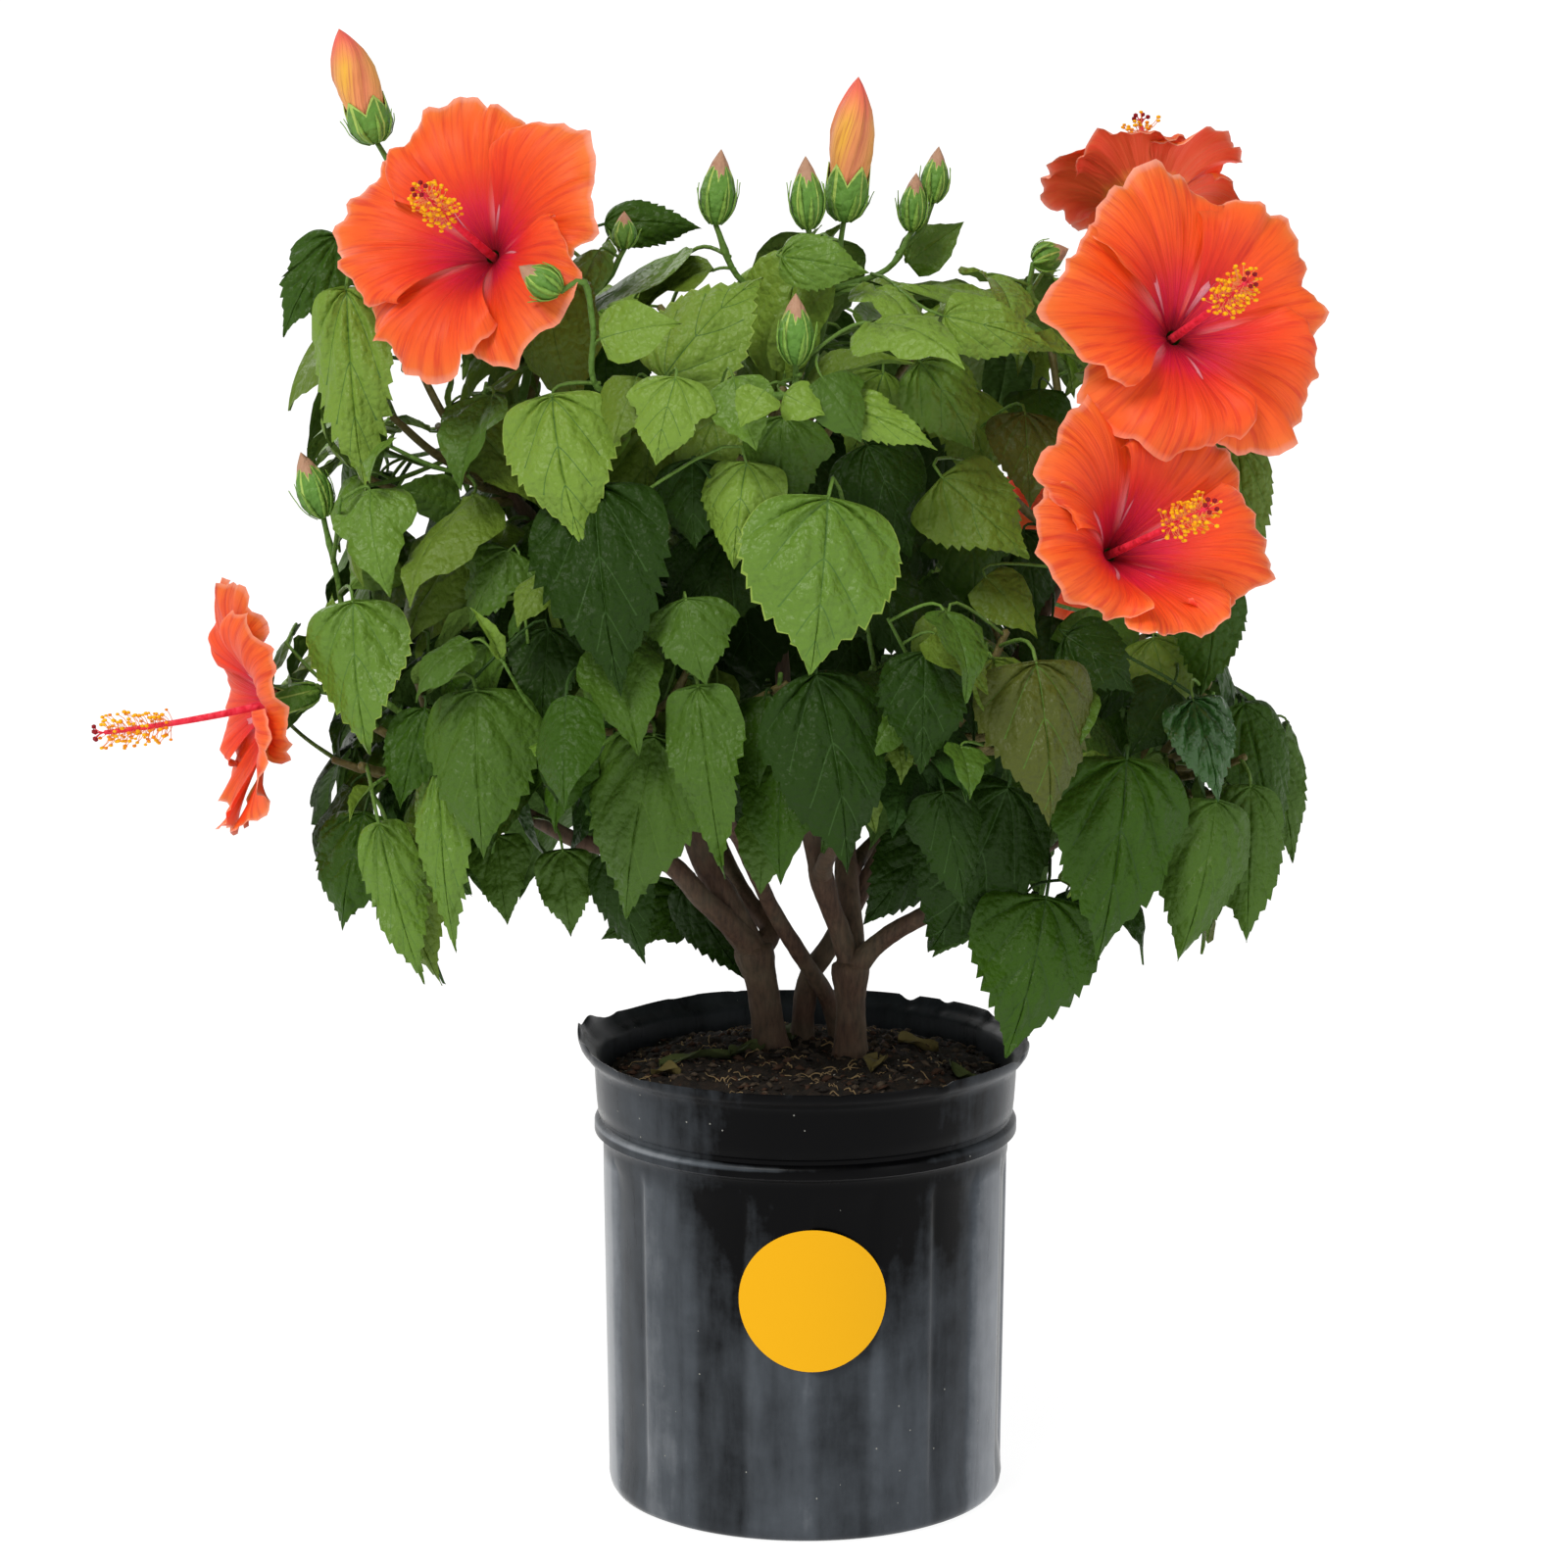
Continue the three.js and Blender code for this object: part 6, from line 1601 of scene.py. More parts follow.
# Each hole: its pixel, its radius, and the depth that it is open to
ALL_DEPTHS = 1000
FRONT_DEPTH = -40
MM_TO_A_PIXEL = 0.56
LEAF_SHARE_IN_SKY = 0.2
TWIG_SHARE_IN_SKY = 0.34
holes = [(px, py, radius, ALL_DEPTHS) for px, py, radius in OPEN_SKY]
for leaf in [leaf for mass in masses.values() for leaf in mass["blades"]]:
    if leaf["key"] and leaf["base"][1] < FRONT_DEPTH:
        middle = leaf["base"] + leaf["along"] * (0.42 * leaf["length"])
        holes.append((*pixel_of(middle[None])[0], 0.36 * leaf["length"] / MM_TO_A_PIXEL, middle[1]))
holes = np.array(holes, float)
for mass in masses.values():
    kept = []
    for leaf in mass["blades"]:
        u = np.linspace(0.05, 0.95, 7)
        aside = np.outer(0.4 * leaf["width"] * blade_width(u), leaf["side"])
        middle = leaf["base"] + np.outer(leaf["length"] * u, leaf["along"])
        places = np.vstack([middle, middle + aside, middle - aside])
        if leaf["key"] or not in_open_sky(places, LEAF_SHARE_IN_SKY):
            kept.append(leaf)
    mass["blades"] = kept
    mass["twigs"] = [twig for twig in mass["twigs"]
                     if twig["kind"] != "fine" or not in_open_sky(twig["line"], TWIG_SHARE_IN_SKY)]


# Leaf blades: ovate and drawn out to a point, coarsely toothed, with three main
# veins from the petiole and side veins off the midrib, sunk between quilted
# cells. The upper and the paler lower face meet at the margin.
VEIN_ENDS = [0.0, 0.3, 0.55, 0.71, 0.83, 0.92, 1.0]
FANNED = 0.55
VEIN_WIDTH = 0.006
QUILT = 5.4
BLADE_HALF_THICKNESS = 0.22


def leaf_rows(count, veined):
    """Rows that follow the veins: where each meets the margin, its place between two
    veins, and which are veins."""
    ends, phases, strips = [], [], []
    for low, high in zip(VEIN_ENDS, VEIN_ENDS[1:]):
        steps = max(2 if high < 1 else 1, int(round((high - low) * count)))
        share = np.arange(steps) / steps
        ends += list(low + (high - low) * share)
        phases += list(share)
        strips += [veined and low > 0] + [False] * (steps - 1)
        if veined and low > 0:
            at = len(ends) - steps + 1
            ends.insert(at, low + VEIN_WIDTH)
            phases.insert(at, 0.0)
            strips.insert(at, False)
    return np.array(ends + [1.0]), np.array(phases + [0.0]), np.array(strips)


def leaf_points(leaf, ends, phases, half, looks):
    """Upper and lower points of one blade, as grids of rows along it by columns across."""
    past = np.clip((ends - FANNED) / (1 - FANNED), 0, 1)
    start = 0.012 + 0.03 * ends + 0.946 * past ** 1.05
    start = np.minimum(start, 0.995)
    edge = np.concatenate([[0.018], np.linspace(0, 1, half + 1)[1:-1] ** 0.92, [0.982, 1.0]])
    v = np.concatenate([-edge[::-1], [0.0], edge])
    away = np.abs(v)
    x = start[:, None] + (ends - start)[:, None] * away ** np.where(ends < FANNED, 1.5, 1.3)[:, None]
    x = x - looks["heart"] * away ** 1.6 * np.sin(math.pi * np.clip(ends / 0.26, 0, 1))[:, None]
    outline = np.sin(math.pi * ends ** looks["broad"]) * (
        1 - looks["point"] * np.clip((ends - 0.66) / 0.34, 0, 1) ** 1.3)
    lobes = 1 + looks["lobe"] * (
        0.20 * np.exp(-((ends - 0.28) / 0.08) ** 2) - 0.26 * np.exp(-((ends - 0.47) / 0.09) ** 2))
    half_width = 0.5 * leaf["width"] * outline * lobes
    row = np.arange(len(ends))
    uneven = 1 + 0.4 * np.sin(12.9 * row + looks["start"] * 3)
    saw = np.array([-0.8, 0.1, 1.0])[row % 3] if len(ends) > 24 else np.array([-0.5, 0.5])[row % 2]
    toothed = np.clip((ends - 0.16) / 0.24, 0, 1) * np.clip((1 - ends) / 0.3, 0, 1)
    tooth = saw * toothed * uneven * looks["teeth"]
    margin = np.clip((away - 0.72) / 0.28, 0, 1) ** 1.5
    y = half_width[:, None] * v + tooth[:, None] * margin * np.sign(v)
    forward = leaf["length"] * x + 0.8 * tooth[:, None] * margin
    scale = leaf["length"] / 100
    plump = min(scale, 0.016 * leaf["width"])
    puff = np.sin(math.pi * phases) ** 0.8
    across = np.sin(math.pi * np.clip(away, 0, 1) ** 0.7)
    fine = half > 8
    cell = np.cumsum(phases == 0)
    ridges = ((0.7 + 3.6 * outline) if fine else 1.5 * outline)[:, None] * away + 0.37 * cell[:, None]
    dome = 0.72 * np.clip(outline * 1.4 - 0.1, 0.3, 1)[:, None]
    pucker = 0.2 * np.cos(2 * math.pi * ridges + looks["start"])
    pucker = pucker * np.clip(outline * 2.2, 0, 1)[:, None]
    rise = QUILT * plump * looks["quilt"] * puff[:, None] * across * (dome + pucker)
    rise = rise - 1.1 * scale * np.exp(-(v / 0.05) ** 2)
    rise = rise + leaf["length"] * leaf["arch"] * 4 * x * (1 - x)
    rise = rise + np.abs(y) * math.sin(leaf["fold"])
    rise = rise - looks["crown"] * (y / leaf["width"]) ** 2 * leaf["width"]
    wave = np.sin(2 * math.pi * looks["waves"] * x + np.where(v > 0, looks["start"], looks["other"]))
    rise = rise + looks["ruffle"] * scale * away ** 2 * wave
    rise = rise - looks["droop"] * leaf["length"] * np.clip(x - 0.5, 0, None) ** 2
    rise = rise + looks["twist"] * y * (x - 0.3)
    curled = np.where(v > 0, looks["curl"], looks["other_curl"])
    rise = rise + curled * leaf["width"] * np.clip((away - 0.45) / 0.55, 0, 1) ** 2 * np.sin(math.pi * x)
    sweep = looks["sweep"] * leaf["length"] * x ** 2
    points = (leaf["base"] + forward[..., None] * leaf["along"] + rise[..., None] * leaf["face"]
              + (y * math.cos(leaf["fold"]) + sweep)[..., None] * leaf["side"])
    lift = BLADE_HALF_THICKNESS * (1 - away ** 8)[None, :, None] * leaf["face"]
    lift = np.broadcast_to(lift, points.shape)
    return points + lift, points - lift


def add_leaf(heap, leaf, detail, looks, greens):
    """One blade: its upper, lower, vein and margin greens go to its faces."""
    upper, lower, rib, rim = greens
    count, half, veined = detail
    ends, phases, strips = leaf_rows(count, veined)
    top, under = leaf_points(leaf, ends, phases, half, looks)
    rows, columns = top.shape[:2]
    quads = grid_faces(rows, columns)
    row, column = np.divmod(np.arange((rows - 1) * (columns - 1)), columns - 1)
    middle = columns // 2
    ribbed = (column == middle - 1) | (column == middle)
    ribbed |= strips[row] & (np.abs(column - middle + 0.5) < 0.82 * middle)
    rimmed = (column == 0) | (column == columns - 2)
    face = np.where(ribbed, rib, np.where(rimmed, rim, upper))
    back = np.where(ribbed, rib, lower)
    add_shape(heap, top.reshape(-1, 3), quads[:, (0, 3, 2, 1)], face)
    add_shape(heap, under.reshape(-1, 3), quads, back)


LEAF_GREENS = [
    ("young leaf, yellow green", "#6E8C30", 0.42, 0.34),
    ("fresh leaf, bright green", "#5C7D28", 0.40, 0.38),
    ("fresh leaf, warm green", "#5C7424", 0.44, 0.28),
    ("grown leaf, mid green", "#43611D", 0.42, 0.26),
    ("grown leaf, deep green", "#325010", 0.40, 0.2),
    ("old leaf, blue green", "#2D4A1A", 0.42, 0.2),
    ("shaded leaf, dark green", "#21390B", 0.42, 0.16),
    ("sunned leaf, olive bronze", "#4A521C", 0.42, 0.26),
    ("underside, pale green", "#69863A", 0.55, 0.16),
    ("underside, grey green", "#48662A", 0.55, 0.14),
    ("vein, fresh green", "#4F7030", 0.46, 0.2),
    ("vein, dull green", "#4C6A26", 0.46, 0.2),
    ("vein, deep green", "#314C1E", 0.46, 0.2),
    ("petiole, fresh green", "#5E7E34", 0.46, 0.25),
    ("margin, yellow green", "#829C42", 0.46, 0.2),
    ("wet leaf, glossy green", "#2E5422", 0.2, 0.6),
]
(YOUNG, BRIGHT, WARM, MID, DEEP, BLUE, DARK, OLIVE, UNDER_PALE, UNDER_GREY, RIB_FRESH, RIB_DULL,
 RIB_DEEP, PETIOLE_GREEN, RIM_PALE, WET) = range(len(LEAF_GREENS))
KEY_GREENS = dict(young=YOUNG, bright=BRIGHT, warm=WARM, mid=MID, deep=DEEP, dark=DARK, olive=OLIVE,
                  wet=WET)


def leaf_material(name, code, roughness, gloss=0.3):
    """Leaf skin with a soft gloss, broken up by a net of veinlets and fine puffed cells."""
    material, tree, shader = new_material(name, Base_Color=linear(code), Roughness=roughness, IOR=1.42,
                                          Specular_IOR_Level=gloss)
    place = add_node(tree, "ShaderNodeTexCoord")
    cells = add_node(tree, "ShaderNodeTexVoronoi", {"Vector": place.outputs["Object"]}, Scale=260.0)
    puffs = add_node(tree, "ShaderNodeTexNoise", {"Vector": place.outputs["Object"]}, Scale=120.0,
                     Detail=4.0)
    both = add_node(tree, "ShaderNodeMath", {0: cells.outputs["Distance"], 1: -0.35,
                    2: puffs.outputs["Fac"]}, operation="MULTIPLY_ADD")
    bump = add_node(tree, "ShaderNodeBump", {"Height": both.outputs[0]}, Strength=0.9, Distance=0.003)
    tree.links.new(bump.outputs["Normal"], shader.inputs["Normal"])
    return material


leaf_materials = [leaf_material(*row) for row in LEAF_GREENS]
LOOKS_SEED = 900
# Rows along a blade, columns on each side, and whether its side veins are drawn
KEY_DETAIL = (34, 12, True)
LARGE_DETAIL = (20, 6, False)
MIDDLE_DETAIL = (13, 4, False)
SMALL_DETAIL = (9, 3, False)
LARGE_FROM = 88
MIDDLE_FROM = 48
draw = draw_from(LOOKS_SEED)
for mass in masses.values():
    heap = bunch()
    for leaf in mass["blades"]:
        grown = leaf["length"]
        detail = KEY_DETAIL if leaf["key"] else LARGE_DETAIL if grown > LARGE_FROM else MIDDLE_DETAIL
        detail = SMALL_DETAIL if grown < MIDDLE_FROM else detail
        signed = 2 * next(draw) - 1
        looks = dict(
            lobe=max(0.0, 2.4 * next(draw) - 1.4), teeth=(0.8 + 0.7 * next(draw)) * min(1.3, grown / 90),
            quilt=0.6 + 0.7 * next(draw), crown=0.5 * next(draw) - 0.1, waves=1.2 + 1.4 * next(draw),
            start=6.3 * next(draw), other=6.3 * next(draw), ruffle=1.2 + 3.2 * next(draw),
            droop=0.55 * next(draw), sweep=0.14 * (next(draw) - 0.5), broad=0.5 + 0.16 * next(draw),
            point=0.3 + 0.25 * next(draw), twist=0.7 * (next(draw) - 0.5), heart=0.03 + 0.05 * next(draw),
            curl=0.26 * signed * next(draw), other_curl=0.34 * (next(draw) - 0.4),
        )
        high = np.clip((leaf["base"][2] - 430) / 280, 0, 1)
        chance = next(draw)
        fresh = high + 0.35 * (next(draw) - 0.5) + 0.5 * leaf["young"]
        if leaf["tone"]:
            upper = KEY_GREENS[leaf["tone"]]
        elif leaf["young"] > 0.7:
            upper = (YOUNG, BRIGHT, YOUNG, WARM)[int(4 * chance)]
        elif fresh > 0.95:
            upper = (YOUNG, BRIGHT, WARM)[int(3 * chance)]
        elif fresh > 0.6:
            upper = (BRIGHT, WARM, MID)[int(3 * chance)]
        elif fresh > 0.33:
            upper = (MID, DEEP, MID, WARM)[int(4 * chance)]
        else:
            upper = (DEEP, BLUE, DARK)[int(3 * chance)]
        if leaf["base"][0] > 150 and chance > 0.86 and not leaf["tone"]:
            upper = OLIVE
        pale = upper in (YOUNG, BRIGHT, WARM, OLIVE)
        rib = RIB_DULL if upper in (WARM, MID, OLIVE) else RIB_DEEP
        rib = RIB_FRESH if upper in (YOUNG, BRIGHT) else rib
        edged = leaf["key"] and upper in (YOUNG, BRIGHT) and leaf["width"] > 56
        looks["quilt"] *= 2.2 if upper == WET else 1.0
        greens = (upper, UNDER_PALE if pale else UNDER_GREY, rib, RIM_PALE if edged else upper)
        add_leaf(heap, leaf, detail, looks, greens)
        reach = size(leaf["base"] - leaf["root"])
        knee = leaf["base"] - leaf["along"] * (0.3 * reach)
        rise = leaf["root"] * 0.6 + leaf["base"] * 0.4 + UP * (0.1 * reach)
        t = np.linspace(0, 1, 7)[:, None]
        stalk = (leaf["root"] * (1 - t) ** 3 + 3 * rise * t * (1 - t) ** 2 + 3 * knee * t ** 2 * (1 - t)
                 + (leaf["base"] + leaf["along"] * 1.5) * t ** 3)
        thick = 1.35 * min(1.0, 0.45 + grown / 180)
        stalk_green = RIB_DEEP if upper in (DEEP, BLUE, DARK) else PETIOLE_GREEN
        sides = 6 if grown > MIDDLE_FROM else 4
        add_tube(heap, stalk, np.linspace(thick, 0.8 * thick, 7), sides, stalk_green)
    piece = make_piece(f"{mass['name'].replace('_foliage', '')}_leaves", heap, leaf_materials)
    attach(piece, "root")
    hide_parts(mass["name"])


# Twigs: the woody stem of each mass, and the green shoots and stalks on it,
# a little knotty, with a thickened joint below each bloom.
TWIG_SEED = 500
TWIG_STEP = 5.0
TWIG_SIDES = dict(stem=14, shoot=9, stalk=9, fine=6)
TWIG_SLOTS = dict(stem=0, shoot=1, stalk=2, fine=2)
JOINT_BELOW_BLOOM = 14.0
ATTACHED_WITHIN = 5.0
CUT_STEPS = 48


def cut_bare_end(mass, twig):
    """A twig's line and radii up to the last leaf or twig that grows on it."""
    line = smooth(twig["line"], CUT_STEPS)
    radii = respaced(twig["radii"], CUT_STEPS + 1)
    spots = [leaf["root"] for leaf in mass["blades"]]
    spots += [other["line"][0] for other in mass["twigs"] if other is not twig]
    gaps = np.linalg.norm(line[:, None] - np.array(spots)[None], axis=2)
    held = gaps.argmin(axis=0)[gaps.min(axis=0) < ATTACHED_WITHIN + radii[0]]
    last = max(6, min(CUT_STEPS, max(held, default=0) + 2))
    return line[:last + 1], radii[:last + 1]


twig_heap = bunch()
for k, mass in enumerate(masses.values()):
    for n, twig in enumerate(mass["twigs"]):
        if twig["kind"] != "stalk":
            twig["line"], twig["radii"] = cut_bare_end(mass, twig)
        length = sum(size(b - a) for a, b in zip(twig["line"], twig["line"][1:]))
        count = max(4, int(length / TWIG_STEP))
        line = smooth(twig["line"], count)
        radii = respaced(twig["radii"], count + 1)
        radii = radii * (1 + 0.07 * rough(line, 18, TWIG_SEED + 40 * k + n))
        if twig["kind"] == "stalk":
            left = np.linalg.norm(line - line[-1], axis=1)
            radii = radii * (1 + 0.4 * np.exp(-((left - JOINT_BELOW_BLOOM) / 2.4) ** 2))
            radii = radii * np.where(left < 60, 0.86, 1.0)
        if twig["kind"] == "stem":
            radii = radii * np.clip((1 - np.linspace(0, 1, count + 1)) / 0.06, 0.4, 1)
        add_tube(twig_heap, line, radii, TWIG_SIDES[twig["kind"]], TWIG_SLOTS[twig["kind"]])
SHOOT_COLOURS = [("half-ripe shoot, green brown", "#645C34"), ("green shoot, smooth", "#587A30")]
twigs = make_piece("twigs_and_stalks", twig_heap, [bark] + [
    leaf_material(name, code, 0.5) for name, code in SHOOT_COLOURS])
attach(twigs, "root")


# Petals: five broad overlapping petals to a flower, thin and silky, fanned
# with fine veins, ruffled and toothed at the rim, crimson in the throat.
PETAL_ROWS = 24
PETAL_COLUMNS = 38
PETAL_HALF_THICKNESS = 0.2
PETAL_SEED = 61
ATLAS_COLUMNS = 10
ATLAS_ROWS = 7
ATLAS_GAP = 0.004
# How much shorter a flower's lower petals are and how far they lean out, by its
# place in the list
LOWER_PETALS = {0: (0.06, 0.36), 2: (0.1, 0.05), 3: (0.26, 0.13), 5: (0.2, 0.08)}
# The bloom at the left shows a little of its face
TURNED_TO_FRONT = math.radians(8)
blooms = [flower for mass in masses.values() for flower in mass["flowers"]]
first = blooms[0]
foot = first["base"] - first["facing"] * CALYX_LENGTH
turn_about = np.array([[math.cos(TURNED_TO_FRONT), -math.sin(TURNED_TO_FRONT), 0],
                       [math.sin(TURNED_TO_FRONT), math.cos(TURNED_TO_FRONT), 0], [0, 0, 1]])
for way in ("facing", "across", "third"):
    first[way] = turn_about @ first[way]
first["base"] = foot + first["facing"] * CALYX_LENGTH


def petal_points(flower, k, draw):
    """One petal as a grid from throat to rim (rows) by side to side (columns)."""
    u = (np.arange(PETAL_ROWS + 1) / PETAL_ROWS)[:, None]
    a = (np.arange(PETAL_COLUMNS + 1) / PETAL_COLUMNS * 2 - 1)[None, :]
    spread = np.clip(u / 0.72, 0, 1)
    half_span = 0.70 + 0.2 * spread ** 2 * (3 - 2 * spread)
    centre = flower["turn"] + 2 * math.pi / PETALS * k + 0.1 * (next(draw) - 0.5)
    angle = centre + a * half_span
    phases = [2 * math.pi * next(draw) for _ in range(8)]
    away = np.abs(a)
    lobes = 0.05 * np.sin(3.1 * a + phases[0]) + 0.04 * np.sin(7.9 * a + phases[1])
    teeth = 0.02 * np.sin(17 * a + phases[2]) + 0.016 * np.sin(31 * a + phases[3])
    reach = u * (1 - 0.33 * away ** 2.3 * u ** 2 + (lobes + teeth) * u ** 5)
    way = np.cos(angle)[..., None] * flower["across"] + np.sin(angle)[..., None] * flower["third"]
    reach = reach * (1 - flower["cupped"] * np.clip(-way[..., 2], 0, 1) * u)
    out = flower["radius"] * (0.05 + 0.95 * reach)
    rise = flower["depth"] * (1 - (1 - u) ** 2.2)
    back = 0.07 + 0.12 * next(draw)
    rise = rise - back * flower["radius"] * u ** 5
    rise = rise + 0.065 * flower["radius"] * a * np.clip(u * 1.6, 0, 1)
    ruffle = np.sin(6.5 * a + phases[4] + 2 * u) * (0.35 + 0.65 * away) + 0.5 * np.sin(12.5 * a + phases[5])
    rise = rise + 0.07 * flower["radius"] * ruffle * u ** 3
    frill = np.sin(21 * a + phases[2]) + 0.7 * np.sin(34 * a + phases[3])
    rise = rise + 0.018 * flower["radius"] * frill * u ** 7
    fold = np.sin(3.4 * a + phases[6])
    rise = rise + 0.03 * flower["radius"] * fold * u * (1 - 0.4 * u)
    pleats = np.sin(26 * a + phases[7] + 1.2 * np.sin(5 * u)) + 0.7 * np.sin(43 * a + 3 * phases[7])
    rise = rise + 0.008 * flower["radius"] * pleats * np.clip(u * 1.4, 0, 1) * (1.1 - 0.5 * u)
    flare = np.clip((-a - 0.45) / 0.5, 0, 1) * np.clip(1 - ((u - 0.3) / 0.26) ** 2, 0, 1)
    rise = rise + 0.045 * flower["radius"] * flare
    rise = rise + flower["lean"] * flower["radius"] * np.clip(-way[..., 2], 0, 1) * u ** 2
    rise = np.broadcast_to(rise, angle.shape)
    return flower["base"] + out[..., None] * way + rise[..., None] * flower["facing"]


def sheet_normals(points):
    """Directions square to a grid's surface, from its rows and columns."""
    normals = np.cross(np.gradient(points, axis=0), np.gradient(points, axis=1))
    return normals / np.maximum(np.linalg.norm(normals, axis=-1), 1e-9)[..., None]


heap = bunch()
pattern, atlas = [], []
quads = grid_faces(PETAL_ROWS + 1, PETAL_COLUMNS + 1)
row, column = np.divmod(np.arange((PETAL_ROWS + 1) * (PETAL_COLUMNS + 1)), PETAL_COLUMNS + 1)
share = np.stack([column / PETAL_COLUMNS, row / PETAL_ROWS], axis=1)
for f, flower in enumerate(blooms):
    draw = draw_from(PETAL_SEED + f)
    flower["cupped"], flower["lean"] = LOWER_PETALS.get(f, (0.0, 0.0))
    for k in range(PETALS):
        sheet = petal_points(flower, k, draw)
        normals = sheet_normals(sheet)
        if (normals * flower["facing"]).sum() < 0:
            normals = -normals
        edge = np.clip(np.minimum(1 - np.abs(share[:, 0] * 2 - 1), 1 - share[:, 1]) * 8, 0, 1)
        lift = normals.reshape(-1, 3) * (PETAL_HALF_THICKNESS * edge)[:, None]
        for side in (0, 1):
            points = sheet.reshape(-1, 3) + (lift if side == 0 else -lift)
            order = quads if side == 0 else quads[:, (0, 3, 2, 1)]
            add_shape(heap, points, order, side)
            pattern.append((share * [0.98, 1] + [f * PETALS + k + 0.01, 0])[order].reshape(-1, 2))
            cell = np.array([(k * 2 + side) / ATLAS_COLUMNS, f / ATLAS_ROWS])
            room = np.array([1 / ATLAS_COLUMNS, 1 / ATLAS_ROWS])
            atlas.append((cell + ATLAS_GAP + share * (room - 2 * ATLAS_GAP))[order].reshape(-1, 2))


def petal_material(name, ramp, streak_colour, streak_share, edge_colour, through):
    """Silky petal skin: colour from throat to rim, with fine veins fanned along it."""
    material, tree, shader = new_material(name, Roughness=0.5, Specular_IOR_Level=0.22,
                                          Subsurface_Weight=through, Subsurface_Radius=(1.0, 0.35, 0.2),
                                          Subsurface_Scale=0.008)
    flat = add_node(tree, "ShaderNodeUVMap", uv_map="Petal")
    split = add_node(tree, "ShaderNodeSeparateXYZ", {"Vector": flat.outputs["UV"]})
    long = add_node(tree, "ShaderNodeMapping", {"Vector": flat.outputs["UV"]}, Scale=(1.0, 0.045, 1.0))
    veins = add_node(tree, "ShaderNodeTexNoise", {"Vector": long.outputs["Vector"]}, Scale=30.0, Detail=4.0,
                     Roughness=0.6)
    soft = add_node(tree, "ShaderNodeTexNoise", {"Vector": flat.outputs["UV"]}, Scale=3.5, Detail=3.0)
    shift = add_node(tree, "ShaderNodeMath", {0: veins.outputs["Fac"], 1: 0.16, 2: split.outputs["Y"]},
                     operation="MULTIPLY_ADD")
    shift_soft = add_node(tree, "ShaderNodeMath", {0: soft.outputs["Fac"], 1: 0.14,
                          2: shift.outputs[0]}, operation="MULTIPLY_ADD")
    place = add_node(tree, "ShaderNodeMath", {0: shift_soft.outputs[0], 1: 0.15}, operation="SUBTRACT")
    tone = add_node(tree, "ShaderNodeValToRGB", {"Fac": place.outputs[0]})
    set_ramp(tone, ramp)
    dark = add_node(tree, "ShaderNodeMapRange", {"Value": veins.outputs["Fac"]}, From_Min=0.47,
                    From_Max=0.64, To_Min=0.0, To_Max=streak_share)
    streaked = add_node(tree, "ShaderNodeMix", {0: dark.outputs["Result"], 6: tone.outputs["Color"],
                        7: linear(streak_colour)}, data_type="RGBA")
    rim = add_node(tree, "ShaderNodeMapRange", {"Value": split.outputs["Y"]}, From_Min=0.955,
                   From_Max=1.0, To_Min=0.0, To_Max=0.65)
    edged = add_node(tree, "ShaderNodeMix", {0: rim.outputs["Result"], 6: streaked.outputs[2],
                     7: linear(edge_colour)}, data_type="RGBA")
    bump = add_node(tree, "ShaderNodeBump", {"Height": veins.outputs["Fac"]}, Strength=0.9, Distance=0.0014)
    tree.links.new(bump.outputs["Normal"], shader.inputs["Normal"])
    return material, tree, shader, split, edged


FRONT_RAMP = [(0.0, "#7E0624"), (0.12, "#BC0E38"), (0.24, "#DA1A3C"), (0.36, "#E62A24"), (0.52, "#F4401A"),
              (0.8, "#FA5520"), (1.0, "#FD6528")]
BACK_RAMP = [(0.0, "#F0C090"), (0.12, "#F8B458"), (0.27, "#FA9A44"), (0.4, "#FF5A38"), (1.0, "#FF4A36")]
petal_front, tree, shader, split, edged = petal_material(
    "petal face, silky orange red", FRONT_RAMP, "#D8261C", 0.7, "#FF9E7A", 0.3)
# Pale pink flare on one side of each petal, near the throat
side_share = add_node(tree, "ShaderNodeMath", {0: split.outputs["X"]}, operation="FRACT")
beside = add_node(tree, "ShaderNodeMapRange", {"Value": side_share.outputs[0]}, From_Min=0.3,
                  From_Max=0.06, To_Min=0.0, To_Max=1.0)
above = add_node(tree, "ShaderNodeMapRange", {"Value": split.outputs["Y"]}, From_Min=0.08,
                 From_Max=0.22, To_Min=0.0, To_Max=1.0)
below = add_node(tree, "ShaderNodeMapRange", {"Value": split.outputs["Y"]}, From_Min=0.5, From_Max=0.28,
                 To_Min=0.0, To_Max=0.8)
inside = add_node(tree, "ShaderNodeMath", {0: above.outputs["Result"], 1: below.outputs["Result"]},
                  operation="MULTIPLY")
flare = add_node(tree, "ShaderNodeMath", {0: inside.outputs[0], 1: beside.outputs["Result"]},
                 operation="MULTIPLY")
flared = add_node(tree, "ShaderNodeMix", {0: flare.outputs[0], 6: edged.outputs[2],
                  7: linear("#F29AA4")}, data_type="RGBA")
tree.links.new(flared.outputs[2], shader.inputs["Base Color"])
petal_back, tree, shader, split, edged = petal_material(
    "petal back, silky orange", BACK_RAMP, "#FF7A44", 0.3, "#FF9A7C", 0.12)
tree.links.new(edged.outputs[2], shader.inputs["Base Color"])
petals = make_piece("petals", heap, [petal_front, petal_back])
for name, rows in (("Petal", pattern), ("OFBake", atlas)):
    layer = petals.data.uv_layers.new(name=name)
    layer.data.foreach_set("uv", np.concatenate(rows).ravel())
petals.data.uv_layers["OFBake"].active = True
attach(petals, "root")


